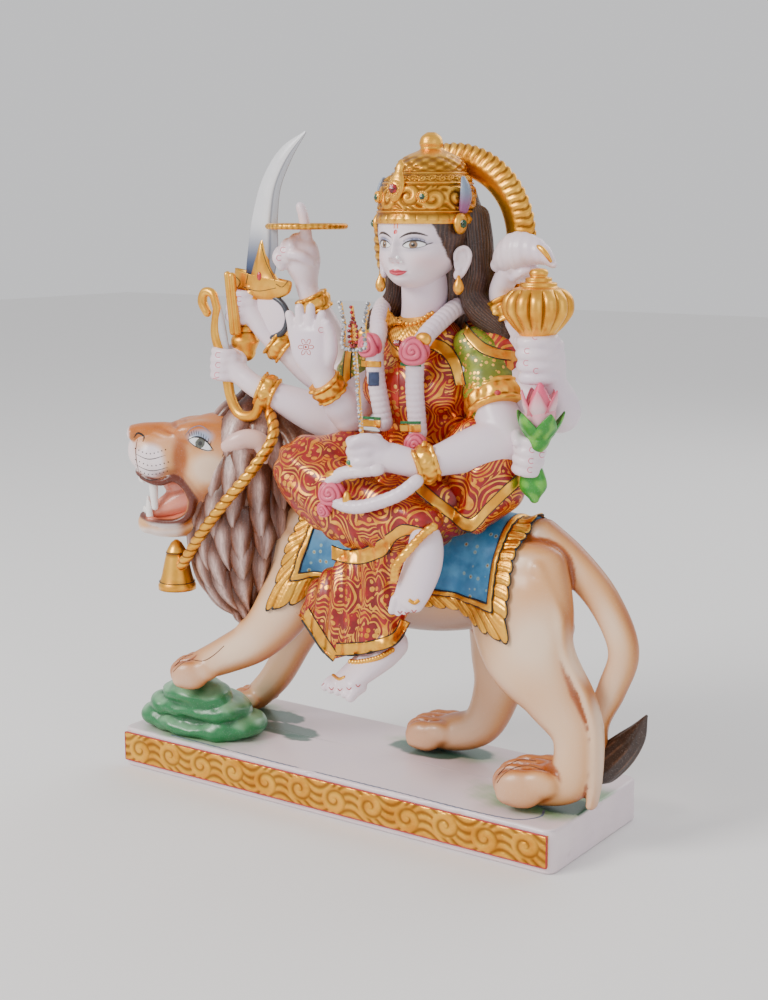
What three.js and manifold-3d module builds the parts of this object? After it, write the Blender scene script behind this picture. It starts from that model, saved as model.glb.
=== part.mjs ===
// A painted marble goddess with eight arms, riding side-saddle on a lion, cut from one block with its plinth.
// Millimetres, +Z up. The origin is the middle of the plinth's underside, and the goddess faces -Y.
import * as THREE from "three";
import { LoftGeometry } from "three/addons/geometries/LoftGeometry.js";
import { mergeVertices } from "three/addons/utils/BufferGeometryUtils.js";
import Module from "manifold-3d";

// Driving sizes of the plinth
const PLINTH_LENGTH = 435;
const PLINTH_DEPTH = 144;
const PLINTH_HEIGHT = 35;
const PLINTH_CORNER = 9;
const PLINTH_EASE = 3;
const BAND_HEIGHT = 23;
const BAND_END = 6;
const BAND_RELIEF = 1.2;
const BAND_SCROLLS = 12;
const BAND_LINE = 1.5;

// Driving size of the carving: from the plinth's top to the tip of the crown
const FIGURE_HEIGHT = 511;

// The loose trident in the front hand, and the stones set in the marble
const TRIDENT_SHAFT_R = 1.7;
const TRIDENT_PRONG_R = 1.4;
const SEAT_GAP = 0.4;

// The carving is laid out on a grid whose floor is the plinth's top and whose height is the figure's
const GRID_FLOOR = 35;
const GRID_HEIGHT = 511;
const GRID = FIGURE_HEIGHT / GRID_HEIGHT;
const SINK = 2;
const SLACK = 0.9;

const wasm = await Module();
wasm.setup();

const UP = new THREE.Vector3(0, 0, 1);
const DEEP = new THREE.Vector3(0, 1, 0);
const vec = (p) => new THREE.Vector3(p[0], p[1], p[2]);

// A closed geometry as a solid that can be joined and cut.
function solid(geometry) {
  const bare = new THREE.BufferGeometry();
  bare.setAttribute("position", geometry.getAttribute("position"));
  bare.setIndex(geometry.index);
  const merged = mergeVertices(bare, 1e-4);
  const mesh = new wasm.Mesh({
    numProp: 3,
    vertProperties: merged.attributes.position.array,
    triVerts: new Uint32Array(merged.index.array),
  });
  return new wasm.Manifold(mesh);
}

// Joins a list of solids, two by two, into one.
function join(list) {
  let pool = list.flat(Infinity);
  while (pool.length > 1) {
    const next = [];
    for (let i = 0; i < pool.length; i += 2) {
      next.push(i + 1 < pool.length ? pool[i].add(pool[i + 1]) : pool[i]);
    }
    pool = next;
  }
  return pool[0];
}

// Thins a joined solid: a vertex slides onto a neighbour where that moves the surface by less than `slack`
// and turns no face over, so the seams left by joining don't fill the mesh with slivers.
function thin(piece, slack) {
  const got = piece.getMesh();
  const spots = [];
  for (let i = 0; i < got.vertProperties.length; i += 3) {
    spots.push(new THREE.Vector3().fromArray(got.vertProperties, i));
  }
  const faces = [];
  const around = spots.map(() => new Set());
  for (let i = 0; i < got.triVerts.length; i += 3) {
    const face = [...got.triVerts.slice(i, i + 3)];
    for (const v of face) around[v].add(faces.length);
    faces.push(face);
  }
  const normal = ([a, b, c]) => {
    const one = spots[b].clone().sub(spots[a]);
    return one.cross(spots[c].clone().sub(spots[a]));
  };
  const ring = (v) => new Set([...around[v]].flatMap((f) => faces[f]).filter((w) => w !== v));
  const cost = (from, to) => {
    const shared = [...ring(from)].filter((w) => ring(to).has(w));
    if (shared.length !== 2) return Infinity;
    const step = spots[from].clone().sub(spots[to]);
    let worst = 0;
    for (const f of around[from]) {
      if (faces[f].includes(to)) continue;
      const old = normal(faces[f]);
      const made = normal(faces[f].map((v) => (v === from ? to : v)));
      const longest = Math.max(...[0, 1, 2].map((k) => spots[faces[f][k]].distanceTo(spots[faces[f][(k + 1) % 3]])));
      if (made.length() < 0.2 * longest) return Infinity;
      if (old.length() > 1 && made.dot(old) < 0.5 * made.length() * old.length()) return Infinity;
      worst = Math.max(worst, Math.abs(step.dot(made.normalize())));
    }
    return worst;
  };
  for (const limit of [slack * 0.05, slack * 0.3, slack * 0.6, slack]) {
    for (let v = 0; v < spots.length; v += 1) {
      if (!around[v].size) continue;
      let best = limit;
      let goal = -1;
      for (const w of ring(v)) {
        const price = cost(v, w);
        if (price < best) {
          best = price;
          goal = w;
        }
      }
      if (goal < 0) continue;
      for (const f of [...around[v]]) {
        if (faces[f].includes(goal)) {
          for (const w of faces[f]) around[w].delete(f);
          faces[f] = null;
        } else {
          faces[f] = faces[f].map((w) => (w === v ? goal : w));
          around[goal].add(f);
        }
      }
      around[v].clear();
    }
  }
  const geometry = new THREE.BufferGeometry();
  const kept = faces.filter((face) => face);
  geometry.setAttribute("position", new THREE.Float32BufferAttribute(spots.flatMap((p) => p.toArray()), 3));
  geometry.setIndex(kept.flat());
  return solid(geometry.toNonIndexed());
}

// A rounded limb through stations [x, y, z, a, b]: a is the half width across the path, b the one along `flat`.
function limbGeometry(stations, { sides = 6, round = 1, flat = DEEP } = {}) {
  const path = new THREE.CatmullRomCurve3(stations.map(vec), false, "centripetal");
  const girth = new THREE.CatmullRomCurve3(stations.map((s) => new THREE.Vector3(s[3], s[4] ?? s[3], 0)));
  const count = stations.length - 1;
  const rings = [];
  const ring = (centre, along, a, b) => {
    const side = new THREE.Vector3().crossVectors(flat, along).normalize();
    const deep = new THREE.Vector3().crossVectors(along, side).normalize();
    const points = [];
    for (let k = 0; k < sides; k += 1) {
      const turn = (k / sides) * Math.PI * 2;
      const point = centre.clone().addScaledVector(side, a * Math.cos(turn));
      points.push(point.addScaledVector(deep, b * Math.sin(turn)));
    }
    rings.push(points);
  };
  const end = (u, sign) => {
    const centre = path.getPoint(u);
    const along = path.getTangent(u);
    const g = girth.getPoint(u);
    const reach = Math.min(g.x, g.y);
    const order = [...Array(round).keys()].map((k) => ((k + 1) / (round + 1)) * (Math.PI / 2));
    if (sign < 0) order.reverse();
    for (const lean of order) {
      const moved = centre.clone().addScaledVector(along, sign * reach * Math.sin(lean));
      ring(moved, along, g.x * Math.cos(lean), g.y * Math.cos(lean));
    }
  };
  end(0, -1);
  for (let i = 0; i <= count; i += 1) {
    const u = i / count;
    const g = girth.getPoint(u);
    ring(path.getPoint(u), path.getTangent(u), g.x, g.y);
  }
  end(1, 1);
  return new LoftGeometry(rings, { capStart: true, capEnd: true });
}
const limb = (stations, options) => solid(limbGeometry(stations, options));

// An egg-shaped lump with half widths rx, ry and rz.
function lump(centre, radii, { sides = 6, rows = 4, turn = 0 } = {}) {
  const ball = new THREE.SphereGeometry(1, sides, rows);
  ball.rotateX(Math.PI / 2);
  ball.scale(...radii);
  ball.rotateZ(turn);
  ball.translate(...centre);
  return solid(ball);
}

// A flat plate: an outline of [across, up] points in the X-Z plane, with its thickness along Y.
function plate(outline, thick, { bevel = 0 } = {}) {
  const shape = new THREE.Shape(outline.map(([x, z]) => new THREE.Vector2(x, z)));
  const slab = new THREE.ExtrudeGeometry(shape, {
    depth: thick - 2 * bevel,
    bevelEnabled: bevel > 0,
    bevelThickness: bevel,
    bevelSize: bevel,
    bevelOffset: -bevel,
    bevelSegments: 1,
    curveSegments: 6,
  });
  slab.rotateX(Math.PI / 2);
  slab.translate(0, thick / 2 - bevel, 0);
  return slab;
}

// Plinth: an eased slab with rounded corners
function plinth() {
  const x = PLINTH_LENGTH / 2 - PLINTH_EASE;
  const y = PLINTH_DEPTH / 2 - PLINTH_EASE;
  const outline = new THREE.Shape();
  outline.moveTo(-x + PLINTH_CORNER, -y);
  outline.lineTo(x - PLINTH_CORNER, -y);
  outline.quadraticCurveTo(x, -y, x, -y + PLINTH_CORNER);
  outline.lineTo(x, y - PLINTH_CORNER);
  outline.quadraticCurveTo(x, y, x - PLINTH_CORNER, y);
  outline.lineTo(-x + PLINTH_CORNER, y);
  outline.quadraticCurveTo(-x, y, -x, y - PLINTH_CORNER);
  outline.lineTo(-x, -y + PLINTH_CORNER);
  outline.quadraticCurveTo(-x, -y, -x + PLINTH_CORNER, -y);
  const slab = new THREE.ExtrudeGeometry(outline, {
    depth: PLINTH_HEIGHT - 2 * PLINTH_EASE,
    bevelThickness: PLINTH_EASE,
    bevelSize: PLINTH_EASE,
    bevelSegments: 2,
    curveSegments: 4,
  });
  slab.translate(0, 0, PLINTH_EASE);
  return solid(slab);
}

// The raised band on the plinth's front. Each scroll is a line that rises from one edge and winds in
// on itself, and every second one is upside down, so that they run on from each other as a wave.
const SCROLL_STEPS = 7;
const SCROLL_WIND = 1.55;
function band() {
  const long = PLINTH_LENGTH - 2 * (PLINTH_CORNER + BAND_END);
  const middle = PLINTH_HEIGHT / 2 + 1;
  const front = -PLINTH_DEPTH / 2 - BAND_RELIEF;
  const strip = new THREE.BoxGeometry(long, BAND_RELIEF + SINK, BAND_HEIGHT);
  strip.translate(0, front + (BAND_RELIEF + SINK) / 2, middle);
  const pieces = [solid(strip)];
  const pitch = long / BAND_SCROLLS;
  const reach = BAND_HEIGHT * 0.36;
  for (let i = 0; i < BAND_SCROLLS; i += 1) {
    const centre = -long / 2 + (i + 0.5) * pitch;
    const flip = i % 2 ? -1 : 1;
    const curl = [[centre - pitch * 0.47, front, middle - flip * reach * 0.85, BAND_LINE * 0.6, BAND_RELIEF]];
    for (let k = 0; k <= SCROLL_STEPS; k += 1) {
      const share = k / SCROLL_STEPS;
      const turn = Math.PI * (1.05 - share * SCROLL_WIND * 1.3);
      const r = reach * (1.05 - share * 0.75);
      curl.push([centre + 1.3 * r * Math.cos(turn), front, middle + flip * r * Math.sin(turn), BAND_LINE, BAND_RELIEF]);
    }
    pieces.push(limb(curl, { sides: 3, round: 0 }));
  }
  return pieces;
}

// The green rock under the lion's near fore paw: three rounded ledges
function rock() {
  return [
    [-152, -28, 42, 58, 40, 14],
    [-149, -36, 56, 48, 34, 13],
    [-150, -46, 70, 38, 27, 14],
  ].map(([x, y, z, rx, ry, rz]) => lump([x, y, z], [rx, ry, rz], { sides: 10, rows: 4 }));
}

// The lion's trunk, legs and tail
const TRUNK = [
  [-92, 2, 212, 42, 34],
  [-55, 2, 205, 47, 36],
  [0, 3, 200, 50, 37],
  [60, 4, 200, 51, 36],
  [110, 4, 206, 46, 36],
  [150, 4, 212, 38, 33],
  [170, 5, 216, 24, 24],
];
const LEGS = {
  near_fore: [
    [-50, -26, 203, 32, 20],
    [-58, -36, 165, 28, 21],
    [-80, -45, 133, 21, 19],
    [-112, -52, 113, 17, 17],
    [-155, -60, 95, 13, 17],
  ],
  far_fore: [
    [-62, 26, 195, 30, 20],
    [-78, 30, 150, 22, 18],
    [-100, 30, 110, 16, 15],
    [-124, 31, 72, 14, 15],
    [-156, 32, 46, 14, 17],
  ],
  near_hind: [
    [150, -13, 214, 44, 22],
    [158, -20, 185, 46, 25],
    [170, -26, 152, 40, 23],
    [192, -28, 123, 26, 18],
    [212, -27, 96, 19, 16],
    [206, -27, 60, 20, 18],
    [180, -29, 52, 19, 20],
    [157, -31, 47, 15, 18],
  ],
  far_hind: [
    [128, 20, 208, 36, 20],
    [118, 28, 168, 36, 22],
    [110, 34, 130, 28, 20],
    [104, 38, 98, 21, 18],
    [88, 39, 64, 18, 17],
    [60, 40, 52, 19, 19],
    [30, 40, 47, 14, 17],
  ],
};
const TAIL = [
  [160, 6, 236, 18, 15],
  [185, 8, 221, 15, 14],
  [215, 7, 194, 13, 13],
  [234, 4, 158, 12, 12],
  [226, 2, 128, 12, 12],
  [213, 4, 98, 10, 10],
  [211, 9, 66, 10, 9],
];
const TAIL_TUFT = [
  [208, 9, 55, 11, 9],
  [222, 11, 62, 17, 10],
  [238, 11, 82, 13, 7],
  [252, 10, 106, 2, 2],
];

// Toes in a row at the front of a paw
const TOES = 3;
function toes(centre, forward, width, size) {
  const across = new THREE.Vector3(-forward[1], forward[0], 0);
  const turn = Math.atan2(forward[1], forward[0]);
  const made = [];
  for (let i = 0; i < TOES; i += 1) {
    const off = i - (TOES - 1) / 2;
    const at = vec(centre).addScaledVector(across, off * width * 0.36);
    at.addScaledVector(vec(forward), -Math.abs(off) * size * 0.25);
    made.push(lump(at.toArray(), [size, size * 0.9, size * 0.95], { sides: 4, rows: 3, turn }));
  }
  return made;
}

function lionBody() {
  return [
    limb(TRUNK, { sides: 10 }),
    ...Object.values(LEGS).map((stations) => limb(stations)),
    toes([-163, -61, 91], [-0.97, -0.24, 0], 34, 11),
    toes([-164, 32, 43], [-1, 0, 0], 34, 11),
    toes([150, -31, 44], [-0.99, -0.1, 0], 38, 12),
    toes([20, 40, 43], [-1, 0, 0], 36, 11),
    limb(TAIL, { sides: 5 }),
    limb(TAIL_TUFT, { sides: 5 }),
  ];
}

// The lion's head has its own frame: F forward, S to its left, Z up. It is turned towards the viewer.
const HEAD_ROOT = [-106, -16, 0];
const HEAD_TURN = Math.PI + (42.7 * Math.PI) / 180;
const SKULL = [
  [-8, 0, 288, 30, 30],
  [15, 0, 286, 34, 35],
  [40, 0, 284, 38, 36],
  [62, 0, 289, 30, 29],
  [80, 0, 290, 24, 23],
  [96, 0, 291, 21, 18],
];
const JAW = [
  [38, 0, 251, 18, 24],
  [62, 0, 243, 14, 20],
  [90, 0, 239, 11, 14],
];
const TONGUE = [
  [50, 0, 256, 8, 13],
  [80, 0, 251, 5, 9],
];

function lionHead() {
  const made = [limb(SKULL, { sides: 8 }), limb(JAW)];
  made.push(limb(TONGUE, { sides: 5, round: 0 }));
  for (const s of [-1, 1]) {
    made.push(lump([90, s * 12, 284], [16, 12, 20]));
    made.push(lump([42, s * 22, 268], [24, 14, 23]));
    made.push(lump([56, s * 19, 306], [15, 11, 10], { sides: 5, rows: 3 }));
    const fang = [
      [90, s * 10, 272, 5, 5],
      [90, s * 10, 244, 4, 4],
    ];
    made.push(limb(fang, { sides: 3, round: 0 }));
    const ear = lump([6, s * 34, 297], [15, 9, 14]);
    made.push(ear.subtract(lump([9, s * 41, 293], [9, 7, 9], { sides: 4, rows: 3 })));
  }
  const frame = new THREE.Matrix4().makeRotationZ(HEAD_TURN).setPosition(...HEAD_ROOT);
  return made.flat().map((piece) => piece.transform(frame.elements));
}

// The mane: a thick ruff with rows of pointed locks
const MANE = [
  [-102, -8, 324, 20, 24],
  [-107, -14, 303, 34, 36],
  [-110, -20, 265, 42, 42],
  [-114, -26, 230, 46, 43],
  [-114, -30, 197, 42, 38],
  [-108, -32, 168, 28, 27],
  [-102, -32, 150, 10, 11],
];
const LOCK_ROWS = 4;
const LOCKS_ROUND = 9;
const LOCK_LIFT = 4;
const LOCK_DROP = 15;

// The mane is one loft: each row of locks swells out, ends in a zigzag of drooping tips and tucks back in.
function mane() {
  const path = new THREE.CatmullRomCurve3(MANE.map(vec), false, "centripetal");
  const girth = new THREE.CatmullRomCurve3(MANE.map((s) => new THREE.Vector3(s[3], s[4], 0)));
  const sides = LOCKS_ROUND * 2;
  const ring = (u, lift, drop, shift) => {
    const p = path.getPoint(u);
    const g = girth.getPoint(u);
    const points = [];
    for (let k = 0; k < sides; k += 1) {
      const turn = -(k / sides) * Math.PI * 2;
      const tip = (k + shift) % 2 ? 1 : 0;
      const out = lift * (0.3 + tip);
      points.push(
        new THREE.Vector3(p.x + (g.x + out) * Math.cos(turn), p.y + (g.y + out) * Math.sin(turn), p.z - drop * tip),
      );
    }
    return points;
  };
  const rings = [ring(0, 0, 0, 0)];
  for (let row = 0; row < LOCK_ROWS; row += 1) {
    const from = 0.1 + (row / LOCK_ROWS) * 0.82;
    rings.push(ring(from, -LOCK_LIFT * 0.6, 0, row));
    rings.push(ring(from + 0.1, LOCK_LIFT, 0, row));
    rings.push(ring(from + 0.17, LOCK_LIFT * 0.9, LOCK_DROP, row));
  }
  rings.push(ring(1, 0, 0, 0));
  return [solid(new LoftGeometry(rings, { capStart: true, capEnd: true }))];
}

// The cord round the mane, and its bell
const BELL_CORD = [
  [-78, -36, 333, 4, 4],
  [-58, -54, 305, 4, 4],
  [-68, -70, 279, 4, 4],
  [-92, -74, 250, 4, 4],
  [-137, -68, 198, 4, 4],
];
const BELL_FOOT = [-157, -62, 168];
function bell() {
  const profile = [
    [0, -1],
    [16, -1],
    [15, 5],
    [8, 30],
    [4, 41],
    [0, 42],
  ].map(([r, h]) => new THREE.Vector2(r, h));
  const cup = new THREE.LatheGeometry(profile, 8);
  cup.rotateX(Math.PI / 2);
  cup.translate(...BELL_FOOT);
  return [solid(cup), limb(BELL_CORD, { sides: 4 })];
}

// The saddle cloth: a skin over the trunk between two slanting edges, with a scalloped border
const CLOTH_LIFT = 3;
const CLOTH_EDGE = [
  [-62, 167],
  [-40, 176],
  [40, 170],
  [110, 172],
  [141, 176],
  [161, 166],
  [160, 200],
  [156, 262],
  [-32, 262],
  [-44, 220],
];
function saddleCloth() {
  const wider = ([x, y, z, a, b]) => [x, y, z, a + CLOTH_LIFT, b + CLOTH_LIFT + 2];
  const skin = limb(TRUNK.map(wider), { sides: 10 });
  const haunch = limb(LEGS.near_hind.slice(0, 3).map(wider));
  return [skin.add(haunch).intersect(solid(plate(CLOTH_EDGE, 160)))];
}

// The goddess: torso, neck and head
const BODY = [
  [66, 6, 252, 58, 34],
  [64, 4, 278, 50, 32],
  [62, 0, 300, 42, 28],
  [60, -4, 330, 47, 32],
  [59, -6, 352, 55, 35],
  [58, -2, 374, 58, 27],
  [58, -3, 388, 36, 21],
  [58, -6, 398, 21, 19],
  [59, -8, 412, 19, 18],
  [62, -10, 432, 20, 20],
];
const FACE = [
  [62, -30, 432, 12, 13],
  [63, -23, 441, 25, 27],
  [63, -15, 452, 31, 38],
  [63, -12, 466, 34, 41],
  [63, -10, 486, 34, 41],
];
const HAIR = [
  [63, 6, 486, 34, 32],
  [64, 12, 462, 41, 30],
  [66, 20, 412, 41, 24],
  [66, 26, 382, 37, 18],
  [63, 32, 328, 20, 8],
  [63, 31, 312, 9, 5],
];
const NOSE = [
  [63, -47, 470, 3, 3],
  [64, -54, 453, 5, 4],
];
function figure() {
  const made = [
    limb(BODY, { sides: 10 }),
    limb(FACE, { sides: 10 }),
    limb(HAIR, { sides: 8 }),
    limb(NOSE, { sides: 4 }),
  ];
  for (const s of [-1, 1]) {
    made.push(lump([64 + s * 34, -6, 444], [4, 8, 17], { sides: 5, rows: 4 }));
    made.push(lump([60 + s * 24, -25, 350], [21, 18, 19]));
  }
  return made;
}

// The crown in stepped tiers, with its finial, front leaf, side petals and ear roundels
const CROWN = [
  [63, -9, 478, 37, 45],
  [63, -9, 489, 34, 42],
  [63, -8, 505, 37, 44],
  [63, -7, 513, 34, 40],
  [63, -5, 517, 28, 32],
  [63, -4, 524, 26, 28],
  [63, -3, 533, 9, 9],
  [63, -4, 540, 9, 9],
  [63, -4, 545, 4, 4],
];
const CROWN_LEAF = [
  [62, -52, 488, 4, 3],
  [62, -52, 503, 9, 4],
  [62, -44, 523, 3, 3],
];
const CROWN_PETAL = [
  [37, -6, 488, 3, 6],
  [40, -6, 499, 4, 7],
  [38, -6, 511, 2, 3],
];
const CROWN_AXIS = [63, -8];
const CROWN_BOSSES = 5;
const BOSS_RING = [35, 42, 499];
function crown() {
  const made = [limb(CROWN, { sides: 10 }), limb(CROWN_LEAF, { sides: 5 })];
  for (const s of [-1, 1]) {
    made.push(limb(CROWN_PETAL.map(([x, ...rest]) => [CROWN_AXIS[0] + s * x, ...rest]), { sides: 4 }));
    made.push(lump([CROWN_AXIS[0] + s * 36, -20, 477], [6, 9, 10]));
  }
  for (let k = 0; k < CROWN_BOSSES; k += 1) {
    const turn = (k / CROWN_BOSSES) * Math.PI * 2 + Math.PI / 2;
    const [across, deep, high] = BOSS_RING;
    const at = [CROWN_AXIS[0] + across * Math.cos(turn), CROWN_AXIS[1] + deep * Math.sin(turn), high];
    made.push(lump(at, [7, 7, 8], { sides: 5, rows: 3 }));
  }
  return made;
}

// The halo: a rounded ring behind the head
const HALO_CENTRE = [61, 31, 464];
const HALO_R = 63;
const HALO_HALF_WIDTH = 13;
const HALO_HALF_DEPTH = 8;
const HALO_TURNS = 24;
const HALO_AROUND = 5;
function halo() {
  const profile = [];
  for (let k = 0; k <= HALO_AROUND; k += 1) {
    const turn = -(k / HALO_AROUND) * Math.PI * 2;
    profile.push(new THREE.Vector2(HALO_R + HALO_HALF_WIDTH * Math.cos(turn), HALO_HALF_DEPTH * Math.sin(turn)));
  }
  const ring = new THREE.LatheGeometry(profile, HALO_TURNS);
  ring.translate(...HALO_CENTRE);
  return [solid(ring)];
}

// Skirt and legs: the right leg is folded across the lap, the left one hangs
const RIGHT_THIGH = [
  [44, 6, 276, 34, 34],
  [18, -24, 282, 34, 32],
  [-24, -62, 284, 29, 28],
];
const RIGHT_SHIN = [
  [-24, -66, 282, 27, 26],
  [8, -72, 270, 29, 24],
  [42, -74, 258, 30, 22],
  [74, -72, 254, 24, 18],
  [100, -70, 252, 15, 13],
];
const LEFT_THIGH = [
  [92, 6, 270, 36, 34],
  [84, -26, 262, 34, 32],
  [73, -54, 244, 29, 24],
];
const LEFT_SHIN = [
  [72, -56, 246, 27, 20],
  [60, -60, 215, 31, 20],
  [45, -63, 188, 39, 21],
  [37, -64, 173, 43, 22],
  [37, -64, 170, 46, 25],
  [38, -64, 156, 40, 24],
];
const LEFT_FOOT = [
  [66, -56, 154, 13, 13],
  [50, -72, 145, 15, 12],
  [30, -96, 126, 17, 6],
];
const RIGHT_FOOT = [
  [102, -70, 254, 12, 12],
  [109, -78, 238, 16, 13],
  [105, -83, 215, 15, 12],
  [97, -89, 192, 11, 7],
];
const OVERSKIRT = [
  [116, -14, 306, 34, 28],
  [124, -22, 278, 34, 31],
  [123, -38, 254, 14, 12],
];
const LAP_HEM = [
  [36, -96, 233, 8, 3],
  [70, -95, 233, 8, 3],
  [112, -78, 256, 4, 3],
];
const FOOT_TOES = 5;
function skirt() {
  const made = [
    limb(RIGHT_THIGH, { sides: 8, flat: UP }),
    limb(RIGHT_SHIN, { sides: 8 }),
    limb(LEFT_THIGH, { sides: 8, flat: UP }),
    limb(LEFT_SHIN, { sides: 8, round: 0 }),
    limb(LEFT_FOOT, { flat: UP }),
    limb(RIGHT_FOOT),
    limb(OVERSKIRT),
    limb(LAP_HEM, { sides: 4 }),
  ];
  for (let i = 0; i < FOOT_TOES; i += 1) {
    const off = (i - 2) * 6;
    made.push(lump([26 + off * 0.77, -98.5 - off * 0.64, 122.5], [5.5, 6.5, 5.5], { sides: 4, rows: 3 }));
  }
  return made;
}

// Arms: each runs shoulder, elbow, wrist and grip, with a bracelet at the wrist.
const ARMS = {
  disc: { path: [[14, 8, 372], [-24, 8, 350], [-49, -16, 424], [-50, -21, 448]], r: [17, 15.5, 11.5, 15] },
  blessing: { path: [[12, -4, 362], [6, -34, 326], [-3, -54, 352], [-12, -61, 384]], r: [17, 15, 11.5, 15] },
  sword: { path: [[10, 4, 366], [-38, 0, 346], [-78, -26, 382], [-104, -32, 408]], r: [17, 15, 11.5, 11] },
  bow: { path: [[10, 0, 352], [-22, -10, 314], [-84, -41, 344], [-112, -46, 361]], r: [17, 17, 12, 11] },
  shell: { path: [[112, 8, 372], [146, 16, 362], [118, 10, 424], [136, 6, 450]], r: [17, 15.5, 11.5, 13] },
  mace: { path: [[112, 2, 366], [176, 2, 337], [176, -12, 360], [172, -21, 380]], r: [17, 17, 15, 14] },
  lotus: { path: [[112, 0, 358], [152, 0, 322], [162, -18, 308], [168, -27, 306]], r: [17, 15, 13, 11] },
  front: { path: [[112, -6, 366], [143, -20, 316], [98, -64, 298], [60, -80, 303]], r: [20, 19, 13.5, 16] },
};
const BRACELET_LIFT = 3;

const between = (p, q, t) => p.map((v, i) => v + (q[i] - v) * t);
function arm({ path: [shoulder, elbow, wrist, grip], r }) {
  const cuff = r[2] + BRACELET_LIFT;
  const upper = [
    [...shoulder, r[0], r[0]],
    [...elbow, r[1], r[1]],
  ];
  const fore = [
    [...elbow, r[1], r[1]],
    [...between(elbow, wrist, 0.4), r[1], r[1]],
    [...between(elbow, wrist, 0.7), r[2], r[2]],
    [...between(elbow, wrist, 0.76), cuff, cuff],
    [...wrist, cuff, cuff],
    [...between(wrist, grip, 0.2), r[2] * 0.9, r[2] * 0.9],
    [...grip, r[3], r[3] * 0.7],
  ];
  return [limb(upper), limb(fore)];
}

// A closed hand round a shaft: grip is the shaft's middle, shaft its direction, and from is the wrist.
// The fingers are four swells along the shaft.
function fist(grip, shaft, from, size) {
  const u = vec(shaft).normalize();
  const w = vec(grip).sub(vec(from));
  w.addScaledVector(u, -w.dot(u)).normalize();
  const v = new THREE.Vector3().crossVectors(u, w);
  const spot = (a, b, c) => vec(grip).addScaledVector(u, a * size).addScaledVector(w, b * size).addScaledVector(v, c * size);
  const swells = [];
  for (let i = 0; i < 7; i += 1) {
    const crease = i % 2;
    swells.push([...spot((i - 3) * 0.22, 0, 0), size * (0.84 - crease * 0.13), size * (0.7 - crease * 0.13)]);
  }
  const thumb = [spot(0.6, -0.6, -0.5), spot(0.45, 0.5, -0.66)];
  return [
    limb(swells, { flat: v, round: 0 }),
    limb(thumb.map((p) => [...p, size * 0.25, size * 0.25]), { sides: 4, flat: u }),
  ];
}

// A short straight finger or thumb from base to tip
const finger = (base, tip, r) => limb([[...base, r, r], [...tip, r * 0.75, r * 0.75]], { sides: 4 });

function hands() {
  const made = [
    fist([-108, -33, 410], [0.2, 0, 1], ARMS.sword.path[2], 18),
    fist([-114, -47, 362], [0.1, 0, 1], ARMS.bow.path[2], 17),
    fist([168, -22, 380], [0, -0.1, 1], ARMS.mace.path[2], 23),
    fist([166, -28, 307], [0.15, 0, 1], ARMS.lotus.path[2], 19),
    fist([138, 4, 449], [-0.5, 0, 1], ARMS.shell.path[2], 18),
    fist([56, -84, 304], [-0.1, 0, 1], [98, -66, 300], 20),
    lump([-12, -61, 384], [18, 9, 22]),
    finger([4, -60, 372], [6, -64, 394], 6),
    lump([-50, -22, 452], [19, 14, 21]),
    finger([-46, -23, 464], [-49, -24, 488], 5.5),
    finger([-62, -30, 462], [-70, -28, 448], 6),
  ];
  for (let i = 0; i < 3; i += 1) {
    const x = -25 + i * 10;
    made.push(finger([x, -62, 392], [x + 1, -65, 413 - Math.abs(i - 0.8) * 4], 6));
  }
  return made;
}

// What the hands hold, all cut from the same marble
const DISC_CENTRE = [-43, -24, 474];
const DISC_R = 34;
const DISC_HALF_THICK = 2;
function disc() {
  const rim = DISC_R - 4;
  const profile = [
    [0, -DISC_HALF_THICK],
    [rim, -DISC_HALF_THICK],
    [DISC_R, 0.5 - DISC_HALF_THICK],
    [DISC_R, DISC_HALF_THICK + 1],
    [rim, DISC_HALF_THICK],
    [0, DISC_HALF_THICK],
  ].map(([r, h]) => new THREE.Vector2(r, h));
  const wheel = new THREE.LatheGeometry(profile, 14);
  wheel.rotateX(Math.PI / 2);
  wheel.translate(...DISC_CENTRE);
  return solid(wheel);
}

const BLADE = [
  [-87, 424, 14],
  [-83, 453, 16],
  [-80, 481, 13],
  [-72, 508, 10],
  [-57, 531, 7.5],
  [-38, 548, 1.5],
];
const GUARD = [
  [-111, 438],
  [-114, 428],
  [-105, 419],
  [-75, 415],
  [-61, 424],
  [-64, 435],
  [-75, 434],
  [-87, 468],
  [-101, 432],
];
const HILT = [
  [-94, 424, 7],
  [-102, 390, 8],
  [-103, 380, 13],
  [-102, 370, 9],
];
const KNUCKLE_BOW = [
  [-76, 421, 3],
  [-63, 400, 3],
  [-90, 378, 4],
];
const SWORD_Y = -31;
const inPlane = (list, y) => list.map(([x, z, a, b = a]) => [x, y, z, a, b]);
function sword() {
  const blade = BLADE.map(([x, z, a]) => [x, z, a, 1 + a * 0.25]);
  const guard = plate(GUARD, 14);
  guard.translate(0, SWORD_Y, 0);
  const strut = [
    [-70, -27, 440, 5, 5],
    [-54, -23, 462, 6, 6],
  ];
  return [
    limb(inPlane(blade, SWORD_Y), { sides: 4, round: 0 }),
    solid(guard),
    limb(inPlane(HILT, SWORD_Y)),
    limb(inPlane(KNUCKLE_BOW, SWORD_Y), { sides: 4 }),
    limb(strut, { sides: 5, round: 0 }),
  ];
}

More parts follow.
